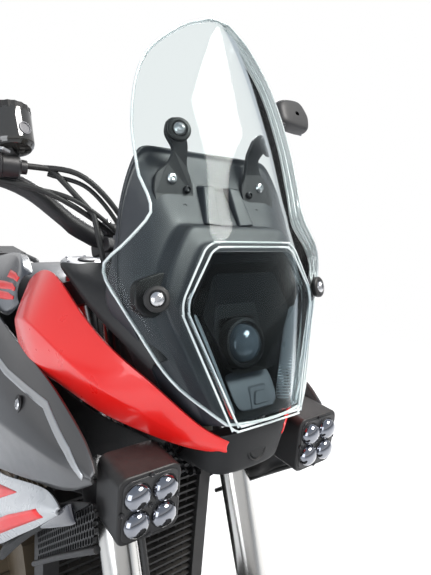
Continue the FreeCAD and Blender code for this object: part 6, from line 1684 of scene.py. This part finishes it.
CAP_SCREW = [(4.0, -1.5), (4.0, 3.4), (3.5, 4.0), (2.3, 4.0), (2.1, 1.4), (0.001, 1.2)]
HEX_SCREW = [(6.4, -1.5), (6.4, 1.0), (4.9, 1.2), (4.9, 4.6), (4.2, 5.2), (0.001, 5.2)]
cap_screw = turned_master(CAP_SCREW, 14)
hex_screw = turned_master(HEX_SCREW, 6)


# Tyres: rubber carcass with a round crown, and blocks moulded in rows that lean back from the middle, with
# grooves between them.
def tyre_piece(node, body, rim_radius, high, wide, count):
    half = wide / 2
    crown = (wide * wide + high * high) / (4 * high)
    top = rim_radius + high

    def crown_at(y):
        return top - crown + math.sqrt(crown * crown - y * y)

    side = [(rim_radius - 0.2, half * 0.62), (rim_radius + high * 0.05, half * 0.66),
            (rim_radius + high * 0.14, half * 0.84),
            (rim_radius + high * 0.20, half * 0.895), (rim_radius + high * 0.215, half * 0.885),
            (rim_radius + high * 0.235, half * 0.915), (rim_radius + high * 0.32, half * 0.965),
            (rim_radius + high * 0.5, half * 0.992), (crown_at(half * 0.93) - 3, half * 0.945)]
    over = [(crown_at(half * s) - 7, half * s) for s in (0.86, 0.7, 0.5, 0.3, 0.1)]
    line = side + over
    whole = line + [(r, -y) for r, y in reversed(line)]
    to_axis = Matrix.Rotation(-math.pi / 2, 4, "X")
    tyre_ob = lathe(node + "_carcass", whole, "tyre_rubber", body, to_axis, 96, ring=True)
    tyre_ob.data.shade_smooth()
    tyre_ob.data.set_sharp_from_angle(angle=math.radians(28))
    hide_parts(node)
    step = 2 * math.pi / count
    rows = ((0.04, 0.30, 0.78, 0.0, 0.20), (0.36, 0.62, 0.70, 0.5, 0.18), (0.68, 0.955, 0.56, 0.05, 0.10))
    for number, (inside, outside, share, phase, skew) in enumerate(rows):
        for hand in (-1, 1):
            verts, faces = [], []
            for layer in (0, 1):
                for u in (0, 0.5, 1):
                    y = half * (inside + (outside - inside) * u)
                    for v in (-0.5, 0, 0.5):
                        trim = 1.0 if layer else 1.08
                        angle = step * (v * share * trim + skew * u)
                        radius = crown_at(min(y, half * 0.98)) - (0.25 if layer else 9.5)
                        y_put = hand * (y if layer
                                        else half * (inside + (outside - inside) * (u * 1.06 - 0.03)))
                        verts.append((radius * math.sin(angle), y_put, radius * math.cos(angle) - top))
            for a in range(2):
                for b in range(2):
                    faces.append((9 + a * 3 + b, 9 + a * 3 + b + 1, 9 + (a + 1) * 3 + b + 1,
                                  9 + (a + 1) * 3 + b))
                    faces.append((a * 3 + b + 1, a * 3 + b, (a + 1) * 3 + b, (a + 1) * 3 + b + 1))
            for line_of in ((0, 1, 2), (2, 5, 8), (8, 7, 6), (6, 3, 0)):
                for a, b in zip(line_of, line_of[1:]):
                    faces.append((a, b, 9 + b, 9 + a))
            block = master_of(verts, faces, 1.0, 1)
            spots = []
            for k in range(count):
                angle = step * (k + phase + (0.5 if hand > 0 else 0))
                spots.append(Matrix.Rotation(angle, 4, "Y") @ Matrix.Translation((0, 0, top)))
            set_on_points("%s_blocks_%d_%s" % (node, number, "left" if hand > 0 else "right"), block, spots,
                          "tyre_rubber", body)
            done_with(block)


tyre_piece("front_tyre", "front_wheel", 245, 84, 110, 46)
tyre_piece("rear_tyre", "rear_wheel", 220, 101, 150, 42)

# Wheel fittings: zinc-plated screws hold the discs, six nuts the sprocket, and a black, bent valve stem
# comes out of each rim.
for body, out, ring, count in (("front_wheel", 66, 48, 6), ("rear_wheel", 83, 52, 5)):
    spots = []
    for hand in ((-1, 1) if body == "front_wheel" else (-1,)):
        for k in range(count):
            a = 2 * math.pi * (k + 0.5) / count
            spots.append(axis_at((ring * math.cos(a), hand * (out - 1.0), ring * math.sin(a)), (0, hand, 0)))
    set_on_points(body + "_disc_bolts", cap_screw, spots, "bolt_zinc", body)
set_on_points("sprocket_nuts", hex_screw, [axis_at((46 * math.cos(a), 93.5, 46 * math.sin(a)), (0, 1, 0))
                                           for a in [2 * math.pi * k / 6 for k in range(6)]], "bolt_zinc",
              "rear_wheel")
for body, radius in (("front_wheel", 219), ("rear_wheel", 194)):
    pipe(body + "_valve", [(0, 6, -radius + 3), (0, 14, -radius + 26), (0, 15, -radius + 38)], 3.2,
         "bolt_black", body, sides=12)

# Chain: side plates of pressed steel over the rollers, each link's pins through them.
PITCH, LINKS, FRONT_TEETH, REAR_TEETH = 15.875, 118, 16, 42
CHAIN_OUT = 90
SMALL, BIG = Vector((-52, 0, 430)), REAR_AXLE


def chain_stations(small, big, count):
    line = SMALL - BIG
    tilt, spread = math.atan2(line.z, line.x), math.acos((big - small) / line.length)
    arcs = [(SMALL, small, tilt + spread, tilt - spread),
            (BIG, big, tilt - spread, tilt + spread - 2 * math.pi)]
    path = []
    for centre, radius, start, stop in arcs:
        steps = 60
        for k in range(steps + 1):
            a = start + (stop - start) * k / steps
            path.append(centre + Vector((math.cos(a), 0, math.sin(a))) * radius)
    path.append(path[0])
    lengths = [0]
    for a, b in zip(path, path[1:]):
        lengths.append(lengths[-1] + (b - a).length)
    out, seg = [], 0
    for k in range(count):
        goal = lengths[-1] * k / count
        while lengths[seg + 1] < goal:
            seg += 1
        t = (goal - lengths[seg]) / max(lengths[seg + 1] - lengths[seg], 1e-9)
        out.append(path[seg].lerp(path[seg + 1], t))
    return out


pins = chain_stations(PITCH / (2 * math.sin(math.pi / FRONT_TEETH)),
                      PITCH / (2 * math.sin(math.pi / REAR_TEETH)), LINKS)
plate_line = []
for k in range(24):
    a = 2 * math.pi * k / 24
    x = 7.94 * math.copysign(1, math.cos(a)) + 6.4 * math.cos(a)
    plate_line.append((x, 6.4 * math.sin(a) * (1.0 if abs(math.cos(a)) > 0.3 else 0.74)))


def plate_master(thick):
    n = len(plate_line)
    verts = [(x, -thick / 2, z) for x, z in plate_line] + [(x, thick / 2, z) for x, z in plate_line]
    return master_of(verts, [tuple(range(n)), tuple(range(2 * n - 1, n - 1, -1))]
                     + [(i, (i + 1) % n, n + (i + 1) % n, n + i) for i in range(n)], 0.35, 1)


link_plate = plate_master(1.5)
plate_spots, pin_spots = [], []
for k, a in enumerate(pins):
    b = pins[(k + 1) % len(pins)]
    mid = (a + b) / 2
    turn = Matrix.Rotation(-math.atan2((b - a).z, (b - a).x), 4, "Y")
    for hand in (-1, 1):
        out = CHAIN_OUT + hand * (8.2 if k % 2 else 6.4)
        plate_spots.append(Matrix.Translation((mid.x, out, mid.z)) @ turn)
    pin_spots.append(axis_at((a.x, CHAIN_OUT, a.z), (0, 1, 0)))
chain_pin = turned_master([(0.001, -9.4), (1.9, -9.4), (2.5, -8.9), (2.5, -5.4), (5.0, -5.2), (5.0, 5.2),
                           (2.5, 5.4), (2.5, 8.9), (1.9, 9.4), (0.001, 9.4)], 12)
chain = set_on_points("chain_plates", link_plate, plate_spots, "chain_steel", "chassis")
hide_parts("drive_chain")
set_on_points("chain_pins", chain_pin, pin_spots, "bolt_zinc", "chassis")
done_with(link_plate)
done_with(chain_pin)

# Engine trim: cover screws, fins cast round the cylinders, spark plug caps, oil filler, hoses and clips.
cover_spots = []
for side, x, z, wide, deep in ((-1, 70, 452, 92, 28), (1, 205, 452, 72, 24)):
    for k in range(8):
        a = math.radians(22.5 + 45 * k)
        cover_spots.append(axis_at((x + (wide + 1) * math.cos(a), side * (128 + deep + 0.6),
                                    z + (wide + 1) * math.sin(a)),
                                   (0, side, 0)))
for side in (-1, 1):
    for x, z in ((104, 822), (252, 806), (178, 830)):
        cover_spots.append(axis_at((x + 8, side * 88.4, z - 2), (0, side, 0)))
set_on_points("engine_screws", cap_screw, cover_spots, "bolt_zinc", "chassis", 1.15)
fin_verts, fin_faces = [], []
for side in (-1, 1):
    for k in range(7):
        z = 640 + 17 * k
        shift = (z - 600) * 0.26
        line = [(72 + shift * 0.25, z), (248 + shift * 0.9, z - 4)]
        base = len(fin_verts)
        for x, zz in line:
            for out, up_by in ((99, -2.2), (106, -1.3), (106, 1.3), (99, 2.2)):
                fin_verts.append((x, side * out, zz + up_by))
        ring = ((0, 1, 5, 4), (1, 2, 6, 5), (2, 3, 7, 6), (3, 0, 4, 7), (3, 2, 1, 0), (4, 5, 6, 7))
        for f in ring:
            fin_faces.append(tuple(base + i for i in (f if side > 0 else reversed(f))))
fins = piece("cylinder_fins", fin_verts, fin_faces, "engine_bronze", "chassis", smooth=False)
outward(fins)
bevel(fins, 1.0, 2)
for k, y in enumerate((-45, 45)):
    lathe("plug_cap_%d" % k, [(15.6, -18), (15.6, 4), (13.8, 7), (9, 9), (8, 20), (5, 22), (0.001, 22)],
          "hose_rubber", "chassis", axis_at((195, y, 850), (-0.15, 0, 1)), 28)
    pipe("plug_lead_%d" % k, [(192, y, 868), (188, y * 0.9, 876), (150, y * 0.5, 868), (110, y * 0.4, 864)],
         4, "hose_rubber", "chassis", sides=10)
    lathe("intake_band_%d" % k, [(24.4, -6), (30.2, -6), (30.2, 6), (24.4, 6)], "bolt_zinc", "chassis",
          axis_at((38, y, 792), (-0.9, 0, 0.44)), 36)
lathe("oil_filler", [(20, -4), (20, 6), (17, 9), (6, 9.5), (6, 15), (4, 16), (0.001, 16)], "bolt_black",
      "chassis", axis_at((132, -129, 560), (0, -1, 0.2)), 10)
lathe("oil_window", [(15, -3), (15, 2.4), (13, 3.2), (11.6, 1.0), (0.001, 0.8)], "bolt_zinc", "chassis",
      axis_at((60, -163.4, 380), (0, -1, 0)), 32)
for k, (radius, points) in enumerate((
        (12, ((352, 118, 780), (330, 110, 810), (280, 104, 800), (262, 96, 772))),
        (12, ((352, -118, 566), (330, -120, 548), (292, -124, 500), (272, -126, 470))),
        (7, ((352, 96, 800), (300, 112, 848), (180, 112, 846), (60, 104, 842))),
        (4, ((120, -104, 800), (150, -112, 700), (140, -132, 620), (110, -134, 566))),
        (4, ((40, 100, 800), (60, 112, 700), (80, 130, 610), (160, 132, 540))))):
    pipe("engine_hose_%d" % k, points, radius, "hose_rubber", "chassis", sides=16, steps=8)
for k, (point, way) in enumerate((((350, 117, 784), (-0.6, 0, 0.8)), ((268, 98, 778), (-0.5, -0.2, -0.8)),
                                  ((350, -119, 562), (-0.7, 0, -0.6)), ((276, -126, 476), (-0.5, 0, -0.8)))):
    lathe("hose_band_%d" % k, [(12.2, -5), (13.6, -5), (13.6, 5), (12.2, 5)], "bolt_zinc", "chassis",
          axis_at(point, way), 28)

# Frame fittings: hexagon bolts where the frame holds the engine and the swingarm's pivot, and black cap
# screws along both edges of the skid plate.
frame_spots = []
for side in (-1, 1):
    for x, z, out in ((130, 808, 136), (-140, 430, 110), (-70, 650, 136), (300, 420, 114)):
        frame_spots.append(axis_at((x, side * out, z), (0, side, 0)))
set_on_points("frame_bolts", hex_screw, frame_spots, "bolt_zinc", "chassis", 1.5)
skid_spots = []
for side in (-1, 1):
    for x, z in ((-22, 246), (190, 250), (330, 380)):
        skid_spots.append(axis_at((x, side * 100.6, z), (0, side, 0)))
set_on_points("skid_bolts", cap_screw, skid_spots, "bolt_black", "chassis", 1.3)

# Silencer: two bands of bright sheet steel round the shell, a black heat guard along its outer side and a
# chromed tip.
for k, (x, z, half_wide, half_high) in enumerate(((-512, 454.6, 53.4, 63.6), (-806, 524.6, 55.4, 67.4))):
    verts, faces = [], []
    ring = []
    for a in range(40):
        t = 2 * math.pi * a / 40
        c, s = math.cos(t), math.sin(t)
        ring.append((math.copysign(abs(c) ** 0.62, c) * half_wide,
                     math.copysign(abs(s) ** 0.62, s) * half_high))
    for dx in (-9, 9):
        for y, up_by in ring:
            verts.append((x + dx, -186.5 - 0.012 * (-x - 500) + y, z + dx * -0.24 + up_by))
    for dx in (-9, 9):
        for y, up_by in ring:
            verts.append((x + dx, -186.5 - 0.012 * (-x - 500) + y * 0.96, z + dx * -0.24 + up_by * 0.96))
    for a in range(40):
        b = (a + 1) % 40
        faces += [(a, b, 40 + b, 40 + a), (80 + b, 80 + a, 120 + a, 120 + b), (b, a, 80 + a, 80 + b),
                  (40 + a, 40 + b, 120 + b, 120 + a)]
    band = piece("silencer_band_%d" % k, verts, faces, "plate_silver", "chassis")
    outward(band)
guard_rows = []
for x in (-540, -600, -680, -760, -790):
    z = 452 + (-500 - x) * 0.2375
    guard_rows.append([(x, -186 - 58 - 4, z - 34), (x, -186 - 62 - 5, z), (x, -186 - 58 - 4, z + 34)])
panel("heat_guard", guard_rows, "black_plastic", "chassis", wall=2.5, levels=3)
lathe("silencer_tip", [(20.8, -26), (20.8, 1), (22.6, 3), (24.6, 1), (24.6, -20)], "chrome_tube", "chassis",
      axis_at((-905, -190, 549), (-105, 0, 26)), 48, ring=True)

# Seat: foam under grained vinyl, one low saddle and a higher pad behind it, sewn along both shoulders.
rider_rows = ((-106, 60, 14, 150, 26), (-120, 74, 14, 146, 28), (-200, 92, 14, 115, 28),
              (-290, 114, 14, 92, 28),
              (-380, 128, 14, 87, 26), (-436, 127, 14, 98, 26), (-447, 124, 14, 102, 28))
pillion_rows = ((-455, 112, 14, 112, 28), (-466, 115, 14, 128, 28), (-500, 112, 14, 137, 28),
                (-570, 106, 14, 136, 28),
                (-640, 98, 14, 131, 28), (-700, 86, 14, 122, 26), (-715, 78, 14, 112, 28))


def rail_height(x):
    return 775 - (x + 40) * 0.113


def cushion(name, rows):
    rings = []
    for x, half, low_by, high, shoulder in rows:
        floor_z = rail_height(x) + low_by + 0.4
        top = floor_z - 0.4 + high
        right_side = [(half * 0.5, floor_z), (half - 4, floor_z), (half, floor_z + 6),
                      (half, (floor_z + top - shoulder) / 2),
                      (half, top - shoulder), (half - shoulder * 0.3, top - shoulder * 0.3),
                      (half - shoulder, top), (half * 0.45, top - 1), (0, top - 2)]
        rings.append([(x, -y, z) for y, z in right_side] + [(x, y, z) for y, z in reversed(right_side[:-1])])
    ob = panel(name, rings, "seat_black", "chassis", wall=0, levels=0, closed=True)
    close_ends(ob, rings)
    return ob


# The remesh's cells, how much smaller the cover is cut, and how far it may swell, all in metres.
VOXEL, CUT_SMALL, MOST_SWELL = 0.006, 0.004, 0.007
PRESSURE, STIFFNESS, FRAMES = 4, 30, 20


def upholster(ob):
    """Foam under a sewn cover: cloth with no weight under pressure, each point's movement capped."""
    subsurf(ob, 2)
    remesh = ob.modifiers.new("even", "REMESH")
    remesh.mode = "VOXEL"
    remesh.voxel_size = VOXEL
    bake(ob)
    flat = [v.normal.z < -0.5 for v in ob.data.vertices]
    inward = [Vector() if rests else v.normal * -CUT_SMALL for v, rests in zip(ob.data.vertices, flat)]
    for vertex, step in zip(ob.data.vertices, inward):
        vertex.co += step
    before = [v.co.copy() for v in ob.data.vertices]
    cloth = ob.modifiers.new("cover", "CLOTH")
    cloth.settings.use_pressure = True
    cloth.settings.uniform_pressure_force = PRESSURE
    cloth.settings.effector_weights.gravity = 0
    cloth.settings.tension_stiffness = STIFFNESS
    cloth.settings.compression_stiffness = STIFFNESS
    cloth.point_cache.frame_start = 1
    cloth.point_cache.frame_end = FRAMES
    for number in range(1, FRAMES + 1):
        scene.frame_set(number)
    swelled = ob.evaluated_get(bpy.context.evaluated_depsgraph_get()).data
    after = [v.co.copy() for v in swelled.vertices]
    ob.modifiers.remove(cloth)
    scene.frame_set(1)
    for vertex, was, now, rests in zip(ob.data.vertices, before, after, flat):
        step = (now - was) * (not rests)
        if step.length > MOST_SWELL:
            step *= MOST_SWELL / step.length
        vertex.co = was + step
    subsurf(ob, 1)


def seam(name, cover, line):
    """A sewn welt laid on the cover along a line."""
    bpy.context.view_layer.update()
    tree = BVHTree.FromObject(cover, bpy.context.evaluated_depsgraph_get())
    place = PLACES["chassis"]
    fine = [Vector(a).lerp(Vector(b), k / 5) for a,
            b in zip(line, line[1:]) for k in range(5)] + [Vector(line[-1])]
    spots = [(place.inverted() @ tree.find_nearest(place @ (p * 0.001))[0]) * 1000 for p in fine]
    pipe(name, spots, 1.4, "seat_black", "chassis", sides=8, steps=2)


for name, rows in (("rider_seat", rider_rows), ("pillion_seat", pillion_rows)):
    ob = cushion(name, rows)
    upholster(ob)
    for side in (-1, 1):
        seam("%s_seam_%s" % (name, "left" if side > 0 else "right"), ob,
             [(x, side * (half - shoulder * 0.55), rail_height(x) + high - shoulder * 0.12)
              for x, half, low_by, high, shoulder in rows])
    if name == "rider_seat":
        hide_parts("seat")

# Rear lamps: a lamp of red clear plastic across the tail, and an amber signal at the end of a rubber stalk on
# each side.
tail_rows = []
for x, half, low_at, high_at in ((-930.8, 61, 877, 901), (-934, 62, 876, 902), (-940, 59, 877, 901),
                                 (-946, 54, 879, 899), (-947.8, 49, 881, 897)):
    tail_rows.append([(x, -half, low_at), (x, half, low_at), (x, half, high_at), (x, -half, high_at)])
tail_lamp = panel("tail_lamp", tail_rows, "lamp_red", "chassis", wall=0, levels=2, closed=True,
                  sharp_cols=(0, 1, 2, 3), crease=0.6)
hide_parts("rear_lamps")
SIGNAL = (-982.55, 742)
surface("amber_lens", (0.70, 0.22, 0.02), 0.15, Coat_Weight=0.6, grain=0.05, slot="lamp_red")
for side in (-1, 1):
    tag = "left" if side > 0 else "right"
    stalk = axis_at((SIGNAL[0], side * 72.4, SIGNAL[1]), (0, side, 0))
    lathe("rear_stalk_" + tag, [(9, 0), (9, 3), (7, 5), (6.4, 8), (7, 60), (8.4, 68), (0.001, 68)],
          "hose_rubber", "chassis", stalk, 24)
    rows = []
    for out, half_long, half_high in ((140, 17, 13), (146, 17.6, 13.4), (170, 15, 10.5), (188, 12, 7.5),
                                      (195, 8, 5)):
        rows.append([(SIGNAL[0] + a * half_long, side * out, SIGNAL[1] + b * half_high)
                     for a, b in ((-1, -0.6), (-0.6, -1), (0.6, -1), (1, -0.6), (1, 0.6), (0.6, 1), (-0.6, 1),
                                  (-1, 0.6))])
    lens_ob = panel("rear_signal_" + tag, rows, "amber_lens", "chassis", wall=0, levels=2, closed=True)
    outward(lens_ob)

done_with(cap_screw)
done_with(hex_screw)
